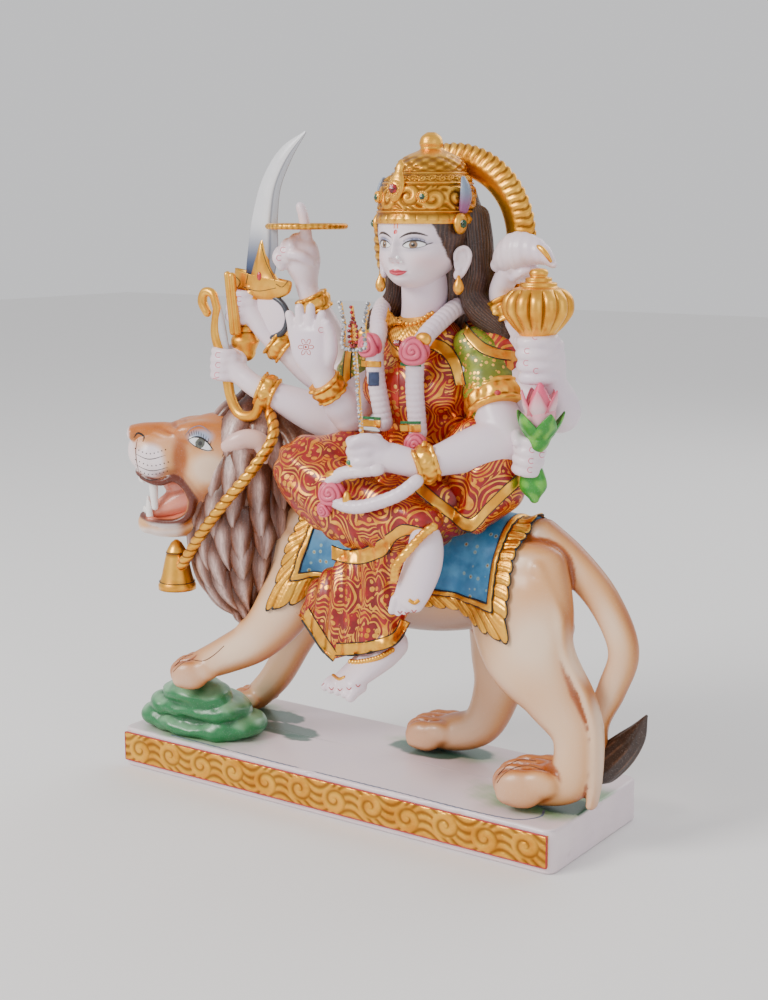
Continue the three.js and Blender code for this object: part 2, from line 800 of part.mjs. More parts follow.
const BOW = [
  [-131, 403, 4],
  [-135, 414, 5.5],
  [-125, 419, 4.5],
  [-120, 406, 4.5],
  [-122, 385, 5.5],
  [-112, 360, 6],
  [-107, 332, 5],
  [-96, 319, 5],
  [-80, 322, 4.5],
  [-76, 336, 4],
];
const BOW_Y = -46;
function bow() {
  const string = [
    [-123, 416, 4, 2],
    [-113, 378, 4, 2],
  ];
  const arrows = [
    [-106, 432, 7, 6],
    [-101, 388, 6, 6],
  ];
  const strut = [
    [-88, -43, 322, 6, 5],
    [-80, -40, 305, 8, 8],
  ];
  return [
    limb(inPlane(BOW, BOW_Y), { sides: 5 }),
    limb(inPlane(string, BOW_Y + 1), { sides: 4, round: 0 }),
    limb(inPlane(arrows, BOW_Y + 3), { sides: 5, round: 0 }),
    limb(strut, { sides: 5, round: 0 }),
  ];
}

const MACE_CENTRE = [169, -21, 416];
const MACE_FLUTES = 7;
const MACE_HOLLOW = 0.86;
function mace() {
  const profile = [
    [0, -36],
    [11, -34],
    [13, -24],
    [27, -4],
    [26, 8],
    [17, 16],
    [8, 18],
    [7, 26],
    [0, 29],
  ].map(([r, h]) => new THREE.Vector2(r, h));
  const rows = profile.length;
  const head = new THREE.LatheGeometry(profile, MACE_FLUTES * 2);
  const spots = head.attributes.position;
  for (let i = 0; i < spots.count; i += 1) {
    const hollow = Math.floor(i / rows) % 2;
    const row = i % rows;
    const pinch = hollow && row > 1 && row < 6 ? MACE_HOLLOW : 1;
    spots.setXYZ(i, spots.getX(i) * pinch, spots.getY(i), spots.getZ(i) * pinch);
  }
  head.rotateX(Math.PI / 2);
  head.translate(...MACE_CENTRE);
  return solid(head);
}

const SHELL = [
  [122, 2, 446, 10, 10],
  [138, 0, 454, 15, 14],
  [152, -1, 455, 10, 10],
  [163, -3, 446, 3, 3],
];
const LOTUS_BUD = [
  [176, -32, 318, 6, 6],
  [178, -32, 332, 14, 13],
  [179, -32, 346, 12, 11],
  [178, -32, 358, 5, 5],
];
const LOTUS_LEAF = [
  [170, -26, 300, 7, 6],
  [171, -26, 284, 12, 8],
  [172, -26, 272, 5, 4],
];
const PETALS = 4;
function lotus() {
  const made = [limb(LOTUS_BUD, { sides: 5 }), limb(LOTUS_LEAF, { sides: 4 })];
  for (let k = 0; k < PETALS; k += 1) {
    const turn = (k / PETALS) * Math.PI * 2 - 0.9;
    const out = (r, z, a) => [177 + r * Math.cos(turn), -32 + r * Math.sin(turn), z, a, 3];
    const flat = new THREE.Vector3(Math.cos(turn), Math.sin(turn), 0);
    made.push(limb([out(8, 320, 6), out(14, 332, 7), out(17, 344, 2)], { sides: 4, round: 0, flat }));
  }
  return made;
}

// The garland: two strings down the chest, one loop on the lap, with roses
const GARLAND = [
  [
    [16, 10, 412, 8, 8],
    [24, -18, 404, 8.5, 8.5],
    [36, -38, 390, 8.5, 8.5],
    [41, -45, 360, 8.5, 8.5],
    [45, -41, 322, 8.5, 8.5],
  ],
  [
    [88, 10, 414, 8, 8],
    [86, -20, 406, 8.5, 8.5],
    [82, -38, 390, 8.5, 8.5],
    [78, -45, 360, 8.5, 8.5],
    [77, -41, 316, 8.5, 8.5],
  ],
  [
    [58, -84, 288, 7, 7],
    [24, -92, 284, 7, 7],
    [36, -96, 265, 7, 7],
    [86, -88, 280, 7, 7],
  ],
];
const ROSES = [
  [40, -50, 382, 11],
  [80, -50, 381, 13],
  [79, -47, 311, 10],
  [22, -97, 272, 12],
];
function garland() {
  const made = GARLAND.map((string) => limb(string, { sides: 5 }));
  for (const [x, y, z, r] of ROSES) made.push(lump([x, y, z], [r, r * 0.7, r]));
  return made;
}

// Sleeves, shoulder cape, waist scarf, armlet and collar
const SLEEVE = [
  [44, -2, 382, 16, 20],
  [58, -4, 368, 22, 24],
  [67, -9, 342, 24, 25],
];
const CAPE = [
  [96, 18, 398, 10, 10],
  [114, 14, 388, 12, 12],
  [128, 8, 374, 10, 14],
];
const SCARF = [
  [98, -48, 296, 4, 8],
  [114, -52, 270, 14, 6],
  [124, -46, 246, 4, 4],
];
const COLLAR = [
  [58, -20, 396, 24, 12],
  [59, -34, 388, 18, 9],
  [59, -40, 379, 8, 7],
];
function cloth() {
  const sleeve = (side) => limb(SLEEVE.map(([x, ...rest]) => [58 + side * x, ...rest]));
  return [sleeve(1), sleeve(-0.9), limb(CAPE, { sides: 5 }), limb(SCARF, { sides: 5 }), limb(COLLAR)];
}

// The loose trident: its shaft stands in the front hand, and `grow` makes the room it needs. The rows of its
// middle and side prongs are [across, up] from the neck; the middle one's half widths are shares of a prong's.
const TRIDENT_FOOT = [56, -84, 300];
const TRIDENT_NECK = [50.5, -88, 384];
const TRIDENT_BLADE_HALF = 4;
const MIDDLE_PRONG = [
  [0.2, -3, 1.3, 1],
  [-0.5, 12, 0, 1.2],
  [-1.5, 22, 1.5, 1],
  [-2.5, 32, 1, 1],
];
const SIDE_PRONG = [
  [0, 0],
  [10, 2],
  [9, 18],
  [13, 35],
];
function trident(grow) {
  const [neckX, neckY, neckZ] = TRIDENT_NECK;
  const rod = TRIDENT_SHAFT_R / GRID + grow;
  const prong = TRIDENT_PRONG_R / GRID + grow;
  const shaft = [TRIDENT_FOOT, TRIDENT_NECK].map((p) => [...p, rod, rod]);
  const middle = MIDDLE_PRONG.map(([x, z, a, b]) => {
    const half = a > 0 ? prong * a : TRIDENT_BLADE_HALF + grow;
    return [neckX + x, neckY, neckZ + z, half, prong * b];
  });
  const made = [limb(shaft, { round: 0 }), limb(middle, { sides: 4 })];
  for (const s of [-1, 1]) {
    const curve = SIDE_PRONG.map(([x, z]) => [neckX + s * x, neckY, neckZ + z, prong, prong]);
    made.push(limb(curve, { sides: 4 }));
  }
  return join(made);
}

// The stones: middle, half widths along X, Y and Z, and colour. Each sits in a seat cut a little wider.
const RED = 0xb3122e;
const GREEN = 0x0f6b4a;
const CLEAR = 0xe9e9f0;
const STONES = {
  crown_stone_front: { at: [62, -55.1, 503], half: [4, 2.6, 4], color: RED },
  crown_stone_left: { at: [83.6, -47.4, 497], half: [2.8, 2.8, 2.8], color: GREEN },
  crown_stone_right: { at: [42.4, -47.4, 497], half: [2.8, 2.8, 2.8], color: GREEN },
  ear_stone_left: { at: [104.1, -22, 477], half: [2.8, 3.4, 3.4], color: GREEN },
  ear_stone_right: { at: [21.9, -22, 477], half: [2.8, 3.4, 3.4], color: GREEN },
  collar_stone: { at: [59, -43.2, 386.6], half: [5, 3, 3], color: RED },
  nose_stud: { at: [67, -55.9, 452], half: [1.6, 1.6, 1.6], color: CLEAR },
};
const stone = ({ at, half }, grow) => lump(at, half.map((h) => h + grow));

// Puts a solid from the carving's grid on the plinth
const onPlinth = new THREE.Matrix4()
  .makeTranslation(0, 0, PLINTH_HEIGHT)
  .scale(new THREE.Vector3(GRID, GRID, GRID))
  .multiply(new THREE.Matrix4().makeTranslation(0, 0, -GRID_FLOOR));
const placed = (piece) => piece.transform(onPlinth.elements);

function mesh(name, piece, { color, roughness, metalness = 0 }) {
  const got = piece.getMesh();
  const geometry = new THREE.BufferGeometry();
  geometry.setAttribute("position", new THREE.BufferAttribute(new Float32Array(got.vertProperties), 3));
  geometry.setIndex(new THREE.BufferAttribute(got.triVerts, 1));
  geometry.computeVertexNormals();
  const made = new THREE.Mesh(geometry, new THREE.MeshStandardMaterial({ color, roughness, metalness }));
  made.name = name;
  return made;
}

const carving = join([
  rock(),
  lionBody(),
  lionHead(),
  mane(),
  bell(),
  saddleCloth(),
  figure(),
  crown(),
  halo(),
  skirt(),
  Object.values(ARMS).map(arm),
  hands(),
  disc(),
  sword(),
  bow(),
  mace(),
  limb(SHELL),
  lotus(),
  garland(),
  cloth(),
]);
const gap = SEAT_GAP / GRID;
const seats = [trident(gap), ...Object.values(STONES).map((spec) => stone(spec, gap))];
const cut = thin(carving, SLACK).subtract(join(seats));
const marble = join([plinth(), ...band(), placed(cut)]);

const group = new THREE.Group();
group.add(mesh("marble_carving", marble, { color: 0xf1eaec, roughness: 0.35 }));
group.add(mesh("trident", placed(trident(0)), { color: 0xd8b45a, roughness: 0.3, metalness: 1 }));
for (const [name, spec] of Object.entries(STONES)) {
  group.add(mesh(name, placed(stone(spec, 0)), { color: spec.color, roughness: 0.12 }));
}
export default group;
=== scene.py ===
# %% [markdown]
# # A marble goddess on a lion
# The real object is one block of white marble, about 55 cm high, carved, painted and covered with gold leaf
# in places. A goddess with eight arms sits side-saddle on a walking lion, on an oblong plinth.
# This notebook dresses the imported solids: each form is worked out with numpy, put into a mesh,
# and given the finish of the real surface: polished stone, brushed paint or beaten leaf.

# %% Load the fixed frame
import math
from collections import namedtuple

import bpy
import numpy as np
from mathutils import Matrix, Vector
from mathutils.bvhtree import BVHTree


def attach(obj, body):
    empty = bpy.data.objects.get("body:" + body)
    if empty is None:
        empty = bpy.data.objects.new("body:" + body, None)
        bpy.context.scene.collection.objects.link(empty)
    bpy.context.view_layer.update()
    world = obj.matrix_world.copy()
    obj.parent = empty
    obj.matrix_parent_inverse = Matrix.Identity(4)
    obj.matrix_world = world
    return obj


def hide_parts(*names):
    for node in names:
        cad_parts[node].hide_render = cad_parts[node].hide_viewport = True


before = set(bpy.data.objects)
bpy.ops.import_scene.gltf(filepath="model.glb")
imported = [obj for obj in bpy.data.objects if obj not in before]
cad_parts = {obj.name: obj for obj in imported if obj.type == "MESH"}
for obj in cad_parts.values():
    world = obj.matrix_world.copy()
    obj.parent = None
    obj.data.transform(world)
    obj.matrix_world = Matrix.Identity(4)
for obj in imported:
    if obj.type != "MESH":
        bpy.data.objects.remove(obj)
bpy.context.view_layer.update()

BODY = "root"
CARVING = "marble_carving"

# %% [markdown]
# ## The camera
# The photograph was taken from the goddess's left front, a little above the lap. Placing the camera first
# lets later cells lay painted lines by casting rays from it through points of the picture.

# %% Camera at the photograph's viewpoint
PICTURE = (768, 1000)
AZIMUTH = math.radians(34.7)
PITCH = math.radians(10.3)
DISTANCE = 1.313
AIM = Vector((0.016, 0.0, 0.253))
LENS = 57.6
SENSOR = 36.0

towards = Vector((math.sin(AZIMUTH) * math.cos(PITCH), -math.cos(AZIMUTH) * math.cos(PITCH), math.sin(PITCH)))
EYE = AIM + towards * DISTANCE
camera_data = bpy.data.cameras.new("photo_camera")
camera_data.lens = LENS
camera_data.sensor_width = SENSOR
camera_data.sensor_fit = "AUTO"
camera = bpy.data.objects.new("photo_camera", camera_data)
camera.location = EYE
camera.rotation_euler = towards.to_track_quat("Z", "Y").to_euler()
bpy.context.scene.collection.objects.link(camera)
bpy.context.scene.camera = camera
RIGHT = Vector((math.cos(AZIMUTH), math.sin(AZIMUTH), 0.0))
ABOVE = towards.cross(RIGHT)
FOCAL = LENS / SENSOR * PICTURE[1]


def sight(pixel):
    """The direction from the camera through a picture point x, y: with f the focal length in picture points,
    it is right (x - half width) - above (y - half height) - towards f, made unit length."""
    x, y = pixel
    return (RIGHT * (x - PICTURE[0] / 2) - ABOVE * (y - PICTURE[1] / 2) - towards * FOCAL).normalized()


def pictured(points):
    """Where places in mm stand in the picture (x, y), and how far they are from the camera in metres."""
    off = points / 1000 - np.array(EYE)
    deep = -(off @ np.array(towards))
    x = PICTURE[0] / 2 + FOCAL * (off @ np.array(RIGHT)) / deep
    y = PICTURE[1] / 2 - FOCAL * (off @ np.array(ABOVE)) / deep
    return x, y, deep


print("camera at", [round(v, 3) for v in EYE])

# %% [markdown]
# ## Light and floor
# A pale sweep and three large soft lamps give the even studio light of a product photograph. The key lamp
# is up on the left, so forms turn darker to the right and gold leaf gets long bright reflections.

# %% Floor, lamps and sky
FLOOR_HALF = 6.0
FLOOR_COLOUR = (0.88, 0.87, 0.86, 1.0)
floor_mesh = bpy.data.meshes.new("floor")
corners = [(x * FLOOR_HALF, y * FLOOR_HALF, 0) for x, y in ((-1, -1), (1, -1), (1, 1), (-1, 1))]
floor_mesh.from_pydata(corners, [], [(0, 1, 2, 3)])
floor = bpy.data.objects.new("floor", floor_mesh)
bpy.context.scene.collection.objects.link(floor)
floor_paint = bpy.data.materials.new("pale_paper")
floor_paint.use_nodes = True
floor_shader = floor_paint.node_tree.nodes["Principled BSDF"]
floor_shader.inputs["Base Color"].default_value = FLOOR_COLOUR
floor_shader.inputs["Roughness"].default_value = 0.85
floor_mesh.materials.append(floor_paint)


def lamp(name, place, size, watts, colour=(1, 1, 1)):
    """A square area lamp at a place, facing the middle of the figure."""
    data = bpy.data.lights.new(name, "AREA")
    data.size = size
    data.energy = watts
    data.color = colour
    made = bpy.data.objects.new(name, data)
    made.location = place
    made.rotation_euler = (Vector(place) - AIM).to_track_quat("Z", "Y").to_euler()
    bpy.context.scene.collection.objects.link(made)


lamp("key", (-0.9, -1.9, 1.7), 1.0, 52, (1.0, 0.97, 0.93))
lamp("fill", (2.2, -1.1, 0.9), 1.8, 8, (0.93, 0.96, 1.0))
lamp("back", (0.4, 1.9, 1.6), 1.4, 14)
sky = bpy.data.worlds.new("studio")
sky.use_nodes = True
sky_shader = sky.node_tree.nodes["Background"]
sky_shader.inputs["Color"].default_value = (0.90, 0.90, 0.92, 1)
sky_shader.inputs["Strength"].default_value = 0.88
bpy.context.scene.world = sky

# %% [markdown]
# ## Shells
# Every form starts as a shell: points in millimetres, four-sided faces and three-sided faces. A tube is a
# stack of closed rings, a sheet is an open grid, and shells are joined by stacking their arrays.

# %% Shells of points and faces
Shell = namedtuple("Shell", "points quads tris")
NO_TRIS = np.zeros((0, 3), int)
MM = 0.001


def grid_quads(rows, cols, wrap=True):
    """Four-sided faces between neighbouring points of a grid, closed round its columns if `wrap`."""
    r = np.arange(rows - 1)[:, None]
    c = np.arange(cols if wrap else cols - 1)[None, :]
    n = (c + 1) % cols
    return np.stack([r * cols + c, r * cols + n, (r + 1) * cols + n, (r + 1) * cols + c],
                    axis=-1).reshape(-1, 4)


def circle(count):
    """Turns at even steps round a full circle, in radians."""
    return np.arange(count) / count * 2 * math.pi


def hoop(rings):
    """A skin over rings (rows, around, 3) whose last ring is joined to the first, like a tyre."""
    rows, around, _ = rings.shape
    seam = grid_quads(2, around)
    seam = np.where(seam < around, seam + around * (rows - 1), seam - around)
    return Shell(rings.reshape(-1, 3), np.vstack([grid_quads(rows, around), seam]), NO_TRIS)


def turned_out(shell):
    """A shell with every face turned over."""
    return Shell(shell.points, shell.quads[:, ::-1], shell.tris[:, ::-1])


def mirrored(shell, middle):
    """A shell seen in an upright mirror at x = middle."""
    return turned_out(Shell(shell.points * [-1, 1, 1] + [2 * middle, 0, 0], shell.quads, shell.tris))


def with_poles(values):
    """Values of a tube's rings in one row, with 0 for its two poles."""
    return np.append(values.ravel(), [0, 0])


def swollen(rings, share):
    """Rings grown about their middles by a share for each point."""
    middle = rings.mean(axis=1, keepdims=True)
    return middle + (rings - middle) * share[..., None]


def tube(rings):
    """A closed skin over rings (rows, around, 3), with a pole at the middle of the first and the last
    ring."""
    rings = np.asarray(rings, float)
    rows, around, _ = rings.shape
    points = np.vstack([rings.reshape(-1, 3), rings[0].mean(0), rings[-1].mean(0)])
    k = np.arange(around)
    n = (k + 1) % around
    low = np.stack([np.full(around, rows * around), n, k], axis=-1)
    top = np.stack([np.full(around, rows * around + 1), (rows - 1) * around + k, (rows - 1) * around + n],
                   axis=-1)
    return Shell(points, grid_quads(rows, around), np.vstack([low, top]))


def open_sheet(grid):
    """A sheet without thickness over a grid of places."""
    return Shell(grid.reshape(-1, 3), grid_quads(*grid.shape[:2], wrap=False), NO_TRIS)


def slab(front, back):
    """A closed plate between two grids of the same size: the front one faces out, the back one is turned
    over."""
    rows, cols, _ = front.shape
    quads = grid_quads(rows, cols, wrap=False)
    count = rows * cols
    rim = np.concatenate([
        np.arange(cols),
        np.arange(1, rows) * cols + cols - 1,
        (rows - 1) * cols + np.arange(cols - 2, -1, -1),
        np.arange(rows - 2, 0, -1) * cols,
    ])
    after = np.roll(rim, -1)
    sides = np.stack([rim, rim + count, after + count, after], axis=-1)
    points = np.vstack([front.reshape(-1, 3), back.reshape(-1, 3)])
    return Shell(points, np.vstack([quads, quads[:, ::-1] + count, sides]), NO_TRIS)


def stack(shells):
    """Several shells as one."""
    points, quads, tris, base = [], [], [], 0
    for shell in shells:
        points.append(shell.points)
        quads.append(shell.quads + base)
        tris.append(shell.tris + base)
        base += len(shell.points)
    return Shell(np.vstack(points), np.vstack(quads), np.vstack(tris).astype(int))


def unit(rows):
    """Each row divided by its length."""
    return rows / np.maximum(np.linalg.norm(rows, axis=-1, keepdims=True), 1e-9)


def spline(stations, count):
    """A smooth curve through the rows, any number of columns, at `count` even steps of length.
    Knots lie at the summed square roots of the distances between rows. Between two knots the value is the
    Hermite blend h00 p0 + h10 w m0 + h01 p1 + h11 w m1, where a slope m is the mean of the two chord
    slopes beside it, each weighted by the other's span w."""
    p = np.asarray(stations, float)
    span = np.sqrt(np.linalg.norm(np.diff(p[:, :3], axis=0), axis=1) + 1e-9)
    knot = np.concatenate([[0], np.cumsum(span)])
    chord = np.diff(p, axis=0) / span[:, None]
    inner = (chord[:-1] * span[1:, None] + chord[1:] * span[:-1, None]) / (span[1:] + span[:-1])[:, None]
    slope = np.vstack([chord[:1], inner, chord[-1:]])
    at = np.linspace(0, knot[-1], count * 6)
    i = np.clip(np.searchsorted(knot, at, side="right") - 1, 0, len(span) - 1)
    w = span[i][:, None]
    t = (at[:, None] - knot[i][:, None]) / w
    fine = (1 + 2 * t) * (1 - t) ** 2 * p[i] + t * (1 - t) ** 2 * w * slope[i]
    fine = fine + t**2 * (3 - 2 * t) * p[i + 1] + t**2 * (t - 1) * w * slope[i + 1]
    run = np.concatenate([[0], np.cumsum(np.linalg.norm(np.diff(fine[:, :3], axis=0), axis=1))])
    even = np.linspace(0, run[-1], count)
    return np.stack([np.interp(even, run, column) for column in fine.T], axis=-1)


def limb_rings(stations, around=24, step=2.0, flat=(0, 1, 0)):
    """Rings of a rounded limb through stations x, y, z, a, b: a is the half width across the path and b the
    one along `flat`. Ring point = path + a cos(turn) side + b sin(turn) deep, with side = flat x tangent.
    Both ends close as half ellipsoids: the ring moves out by reach sin(lean) and shrinks by cos(lean)."""
    rows = [list(s) + [s[3]] * (5 - len(s)) for s in stations]
    length = np.linalg.norm(np.diff(np.asarray(rows)[:, :3], axis=0), axis=1).sum()
    line = spline(rows, max(int(length / step), 4))
    path, girth = line[:, :3], np.maximum(line[:, 3:5], 0.05)
    along = unit(np.gradient(path, axis=0))
    lean = np.radians(np.array([18, 36, 54, 70, 82]))
    reach = girth.min(axis=1)
    head = path[0] - along[0] * reach[0] * np.sin(lean[::-1])[:, None]
    tail = path[-1] + along[-1] * reach[-1] * np.sin(lean)[:, None]
    girth = np.vstack([girth[0] * np.cos(lean[::-1])[:, None], girth, girth[-1] * np.cos(lean)[:, None]])
    path = np.vstack([head, path, tail])
    along = np.vstack([np.repeat(along[:1], 5, axis=0), along, np.repeat(along[-1:], 5, axis=0)])
    side = unit(np.cross(np.asarray(flat, float), along))
    deep = unit(np.cross(along, side))
    turn = circle(around)
    out = girth[:, None, :1] * np.cos(turn)[None, :, None] * side[:, None]
    return path[:, None] + out + girth[:, None, 1:] * np.sin(turn)[None, :, None] * deep[:, None]


def limb(stations, around=24, step=2.0, flat=(0, 1, 0)):
    """A rounded limb as a closed shell."""
    return tube(limb_rings(stations, around, step, flat))


def egg(centre, radii, around=20, rows=12, turn=0.0):
    """An ellipsoid with half widths rx, ry and rz, turned round Z by `turn` degrees."""
    lean = np.linspace(-90, 90, rows + 2)[1:-1]
    rise = np.radians(lean)[:, None]
    round_ = circle(around)[None, :]
    x = radii[0] * np.cos(rise) * np.cos(round_)
    y = radii[1] * np.cos(rise) * np.sin(round_)
    z = radii[2] * np.sin(rise) * np.ones_like(round_)
    c, s = math.cos(math.radians(turn)), math.sin(math.radians(turn))
    rings = np.stack([c * x - s * y, s * x + c * y, z], axis=-1) + np.asarray(centre, float)
    return tube(rings)


def lathe(profile, around=48, centre=(0, 0, 0)):
    """A profile of radius and height turned round the upright through `centre`."""
    line = np.asarray(profile, float)
    turn = circle(around)
    x = line[:, :1] * np.cos(turn)
    y = line[:, :1] * np.sin(turn)
    return tube(np.stack([x, y, line[:, 1:] + 0 * x], axis=-1) + np.asarray(centre, float))


def bead_row(centres, radii, around=8, rows=5):
    """Small beads at the centres: one unit bead, scaled and moved to each place as whole arrays. The radii
    are one number, one for each bead, or three half widths shared by all."""
    one = egg((0, 0, 0), (1, 1, 1), around, rows)
    centres = np.asarray(centres, float)
    radii = np.asarray(radii, float)
    if radii.shape == (len(centres),):
        radii = radii[:, None]
    radii = np.broadcast_to(radii, centres.shape)
    points = (one.points[None] * radii[:, None] + centres[:, None]).reshape(-1, 3)
    base = np.arange(len(centres))[:, None, None] * len(one.points)
    return Shell(points, (one.quads[None] + base).reshape(-1, 4), (one.tris[None] + base).reshape(-1, 3))


def normals(shell):
    """Point normals: the sum of the face normals round each point, made unit length."""
    total = np.zeros_like(shell.points)
    for faces in (shell.quads, shell.tris):
        if len(faces):
            p = shell.points[faces]
            face = (np.cross(p[:, 1] - p[:, 0], p[:, -1] - p[:, 0])
                    + np.cross(p[:, 2] - p[:, 1], p[:, 0] - p[:, 1]))
            for k in range(faces.shape[1]):
                for axis in range(3):
                    total[:, axis] += np.bincount(faces[:, k], face[:, axis], len(total))
    return unit(total)


def pushed(shell, lift):
    """A shell with each point moved out along its normal by its own lift in mm."""
    return Shell(shell.points + normals(shell) * lift[:, None], shell.quads, shell.tris)


def soften(shell, values, rounds):
    """Values at the points, averaged with their neighbours along face edges, `rounds` times."""
    edges = np.vstack([np.stack([f[:, k], np.roll(f, -1, axis=1)[:, k]], axis=-1)
                       for f in (shell.quads, shell.tris) if len(f) for k in range(f.shape[1])])
    start, end = np.concatenate([edges[:, 0], edges[:, 1]]), np.concatenate([edges[:, 1], edges[:, 0]])
    count = np.maximum(np.bincount(start, minlength=len(shell.points)), 1)[:, None]
    now = values.reshape(len(shell.points), -1).astype(float)
    for _ in range(rounds):
        total = np.stack([np.bincount(start, now[end, k], len(count)) for k in range(now.shape[1])], axis=-1)
        now = 0.5 * now + 0.5 * total / count
    return now.reshape(values.shape)


def hollow(shell, rounds=12):
    """How deep each point lies in a hollow, in mm: the averaged surface stands this far outside the point."""
    lift = soften(shell, shell.points, rounds) - shell.points
    return (lift * normals(shell)).sum(axis=1)


def ripple(points, wave, seed, layers=5):
    """Soft noise from -1 to 1: the mean of sines of the place along seeded directions, `wave` mm long."""
    chance = np.random.default_rng(seed)
    way = unit(chance.normal(size=(layers, 3))) * chance.uniform(0.7, 1.5, (layers, 1)) * 2 * math.pi / wave
    phase = chance.uniform(0, 2 * math.pi, layers)
    return np.sin(points @ way.T + phase).mean(axis=-1) * 1.6


def rise(value, low, high):
    """A smooth step from 0 at low to 1 at high: 3 t^2 - 2 t^3."""
    t = np.clip((value - low) / (high - low), 0, 1)
    return t * t * (3 - 2 * t)


# %% [markdown]
# ## From shells to pieces
# A piece is a mesh in metres whose object stays at the origin. Colours that a brush put on are kept as a
# colour on each point. Limbs that grow out of one another are fused: a voxel skin is drawn over them all,
# then smoothed, which gives the soft joins of polished stone.

# %% Pieces, skins and painted colours
def to_mesh(name, shell):
    """A Blender mesh from a shell, written with foreach_set."""
    mesh = bpy.data.meshes.new(name)
    quads, tris = np.asarray(shell.quads, np.int32), np.asarray(shell.tris, np.int32)
    mesh.vertices.add(len(shell.points))
    mesh.vertices.foreach_set("co", (shell.points * MM).astype(np.float32).ravel())
    mesh.loops.add(quads.size + tris.size)
    mesh.loops.foreach_set("vertex_index", np.concatenate([quads.ravel(), tris.ravel()]))
    mesh.polygons.add(len(quads) + len(tris))
    starts = np.concatenate([np.arange(len(quads)) * 4, quads.size + np.arange(len(tris)) * 3])
    mesh.polygons.foreach_set("loop_start", starts.astype(np.int32))
    mesh.update(calc_edges=True)
    mesh.validate()
    mesh.polygons.foreach_set("use_smooth", np.ones(len(mesh.polygons), bool))
    return mesh


def fuse(shells, voxel, rounds):
    """One skin over overlapping shells: a voxel remesh, smoothed `rounds` times."""
    rough = bpy.data.objects.new("rough", to_mesh("rough", stack(shells)))
    bpy.context.scene.collection.objects.link(rough)
    remesh = rough.modifiers.new("skin", "REMESH")
    remesh.mode = "VOXEL"
    remesh.voxel_size = voxel * MM
    made = rough.evaluated_get(bpy.context.evaluated_depsgraph_get()).to_mesh()
    points = np.empty(len(made.vertices) * 3, np.float32)
    made.vertices.foreach_get("co", points)
    corners = np.empty(len(made.loops), np.int32)
    made.loops.foreach_get("vertex_index", corners)
    skin = Shell(points.reshape(-1, 3).astype(float) * 1000, corners.reshape(-1, 4), NO_TRIS)
    bpy.data.objects.remove(rough)
    return Shell(soften(skin, skin.points, rounds), skin.quads, skin.tris)


def piece(name, shell, material, paint=None, masks=None):
    """A finished piece that rides on the carving's body. `paint` is a colour for each point and `masks` are
    named values for each point."""
    mesh = to_mesh(name, shell)
    if paint is not None:
        layer = mesh.attributes.new("paint", "FLOAT_COLOR", "POINT")
        rgba = np.ones((len(paint), 4), np.float32)
        rgba[:, :3] = paint
        layer.data.foreach_set("color", rgba.ravel())
    for title, values in (masks or {}).items():
        layer = mesh.attributes.new(title, "FLOAT", "POINT")
        layer.data.foreach_set("value", np.asarray(values, np.float32))
    mesh.materials.append(material)
    made = bpy.data.objects.new(name, mesh)
    bpy.context.scene.collection.objects.link(made)
    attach(made, BODY)
    print(f"{name}: {len(shell.quads) * 2 + len(shell.tris)} triangles")
    return made


def in_hollows(shell, rounds, gain):
    """The mask `hollow`: how deep each point lies in a hollow, times a gain, from 0 to 1. The finishes darken
    these places as painted shade.
    """
    return {"hollow": np.clip(hollow(shell, rounds) * gain, 0, 1)}


def over(paint, colour, share):
    """Paint laid over paint: old + (colour - old) share."""
    return paint + (np.asarray(colour) - paint) * np.clip(share, 0, 1)[..., None]


def layered(paint, layers):
    """Paints laid one over another, each a colour and a share for each point."""
    for colour, share in layers:
        paint = over(paint, colour, share)
    return paint


def plain(shell, colour):
    """One colour on every point."""
    return np.repeat([colour], len(shell.points), axis=0)


def two_tone(shell, ground, colour, share):
    """One colour laid over a plain ground."""
    return over(plain(shell, ground), colour, share)


def near(points, centre, radii):
    """1 at a centre, falling to 0 on the ellipsoid with those half widths."""
    far = np.linalg.norm((points - np.asarray(centre)) / np.asarray(radii), axis=1)
    return 1 - rise(far, 0.35, 1.0)


def tree_of(shell):
    """A search tree over a shell, in millimetres, for laying lines on it."""
    faces = [tuple(f) for f in shell.quads.tolist()] + [tuple(f) for f in shell.tris.tolist()]
    return BVHTree.FromPolygons([tuple(p) for p in shell.points.tolist()], faces)


def laid(tree, pixels, count=24):
    """Points on a shell under a line drawn in the picture, with the surface normals there."""
    line = spline([[x, y, 0] for x, y in pixels], count)[:, :2]
    hits = [tree.ray_cast(EYE * 1000, sight(p)) for p in line]
    kept = [(h[0], h[1]) for h in hits if h[0] is not None]
    return np.array([h[0] for h in kept]), np.array([h[1] for h in kept])


def ribbon(points, facing, width, lift, taper=0.0, dip=0.4):
    """A flat closed strip along points on a surface: its section is a low arch of half width `width`,
    `lift` mm proud in the middle and `dip` mm sunk at the edges. With taper 1 both ends run to a point."""
    along = unit(np.gradient(points, axis=0))
    side = unit(np.cross(facing, along))
    share = np.linspace(0, 1, len(points))
    half = width * (1 - taper + taper * np.sin(math.pi * np.clip(share, 0.02, 0.98)) ** 0.7)[:, None]
    across = [(-1.0, -dip), (-0.75, lift * 0.7), (0.0, lift), (0.75, lift * 0.7), (1.0, -dip),
              (0.0, -dip * 1.5)]
    return tube(np.stack([points + side * half * a + facing * b for a, b in across], axis=1))


# %% [markdown]
# ## Finishes
# Four things repeat all over the figure: the clouding of polished marble, the dents of beaten gold leaf,
# the gold strokes of the painted brocade, and the hair strokes of a fine brush. Each is one node group,
# placed in the materials with its own values. The shaders stay in the materials.

# %% Small helpers for nodes
def wire(tree, node, inputs):
    """Inputs of a node: a socket is linked, anything else becomes the input's own value."""
    for key, value in inputs.items():
        if isinstance(value, bpy.types.NodeSocket):
            tree.links.new(value, node.inputs[key])
        else:
            node.inputs[key].default_value = value


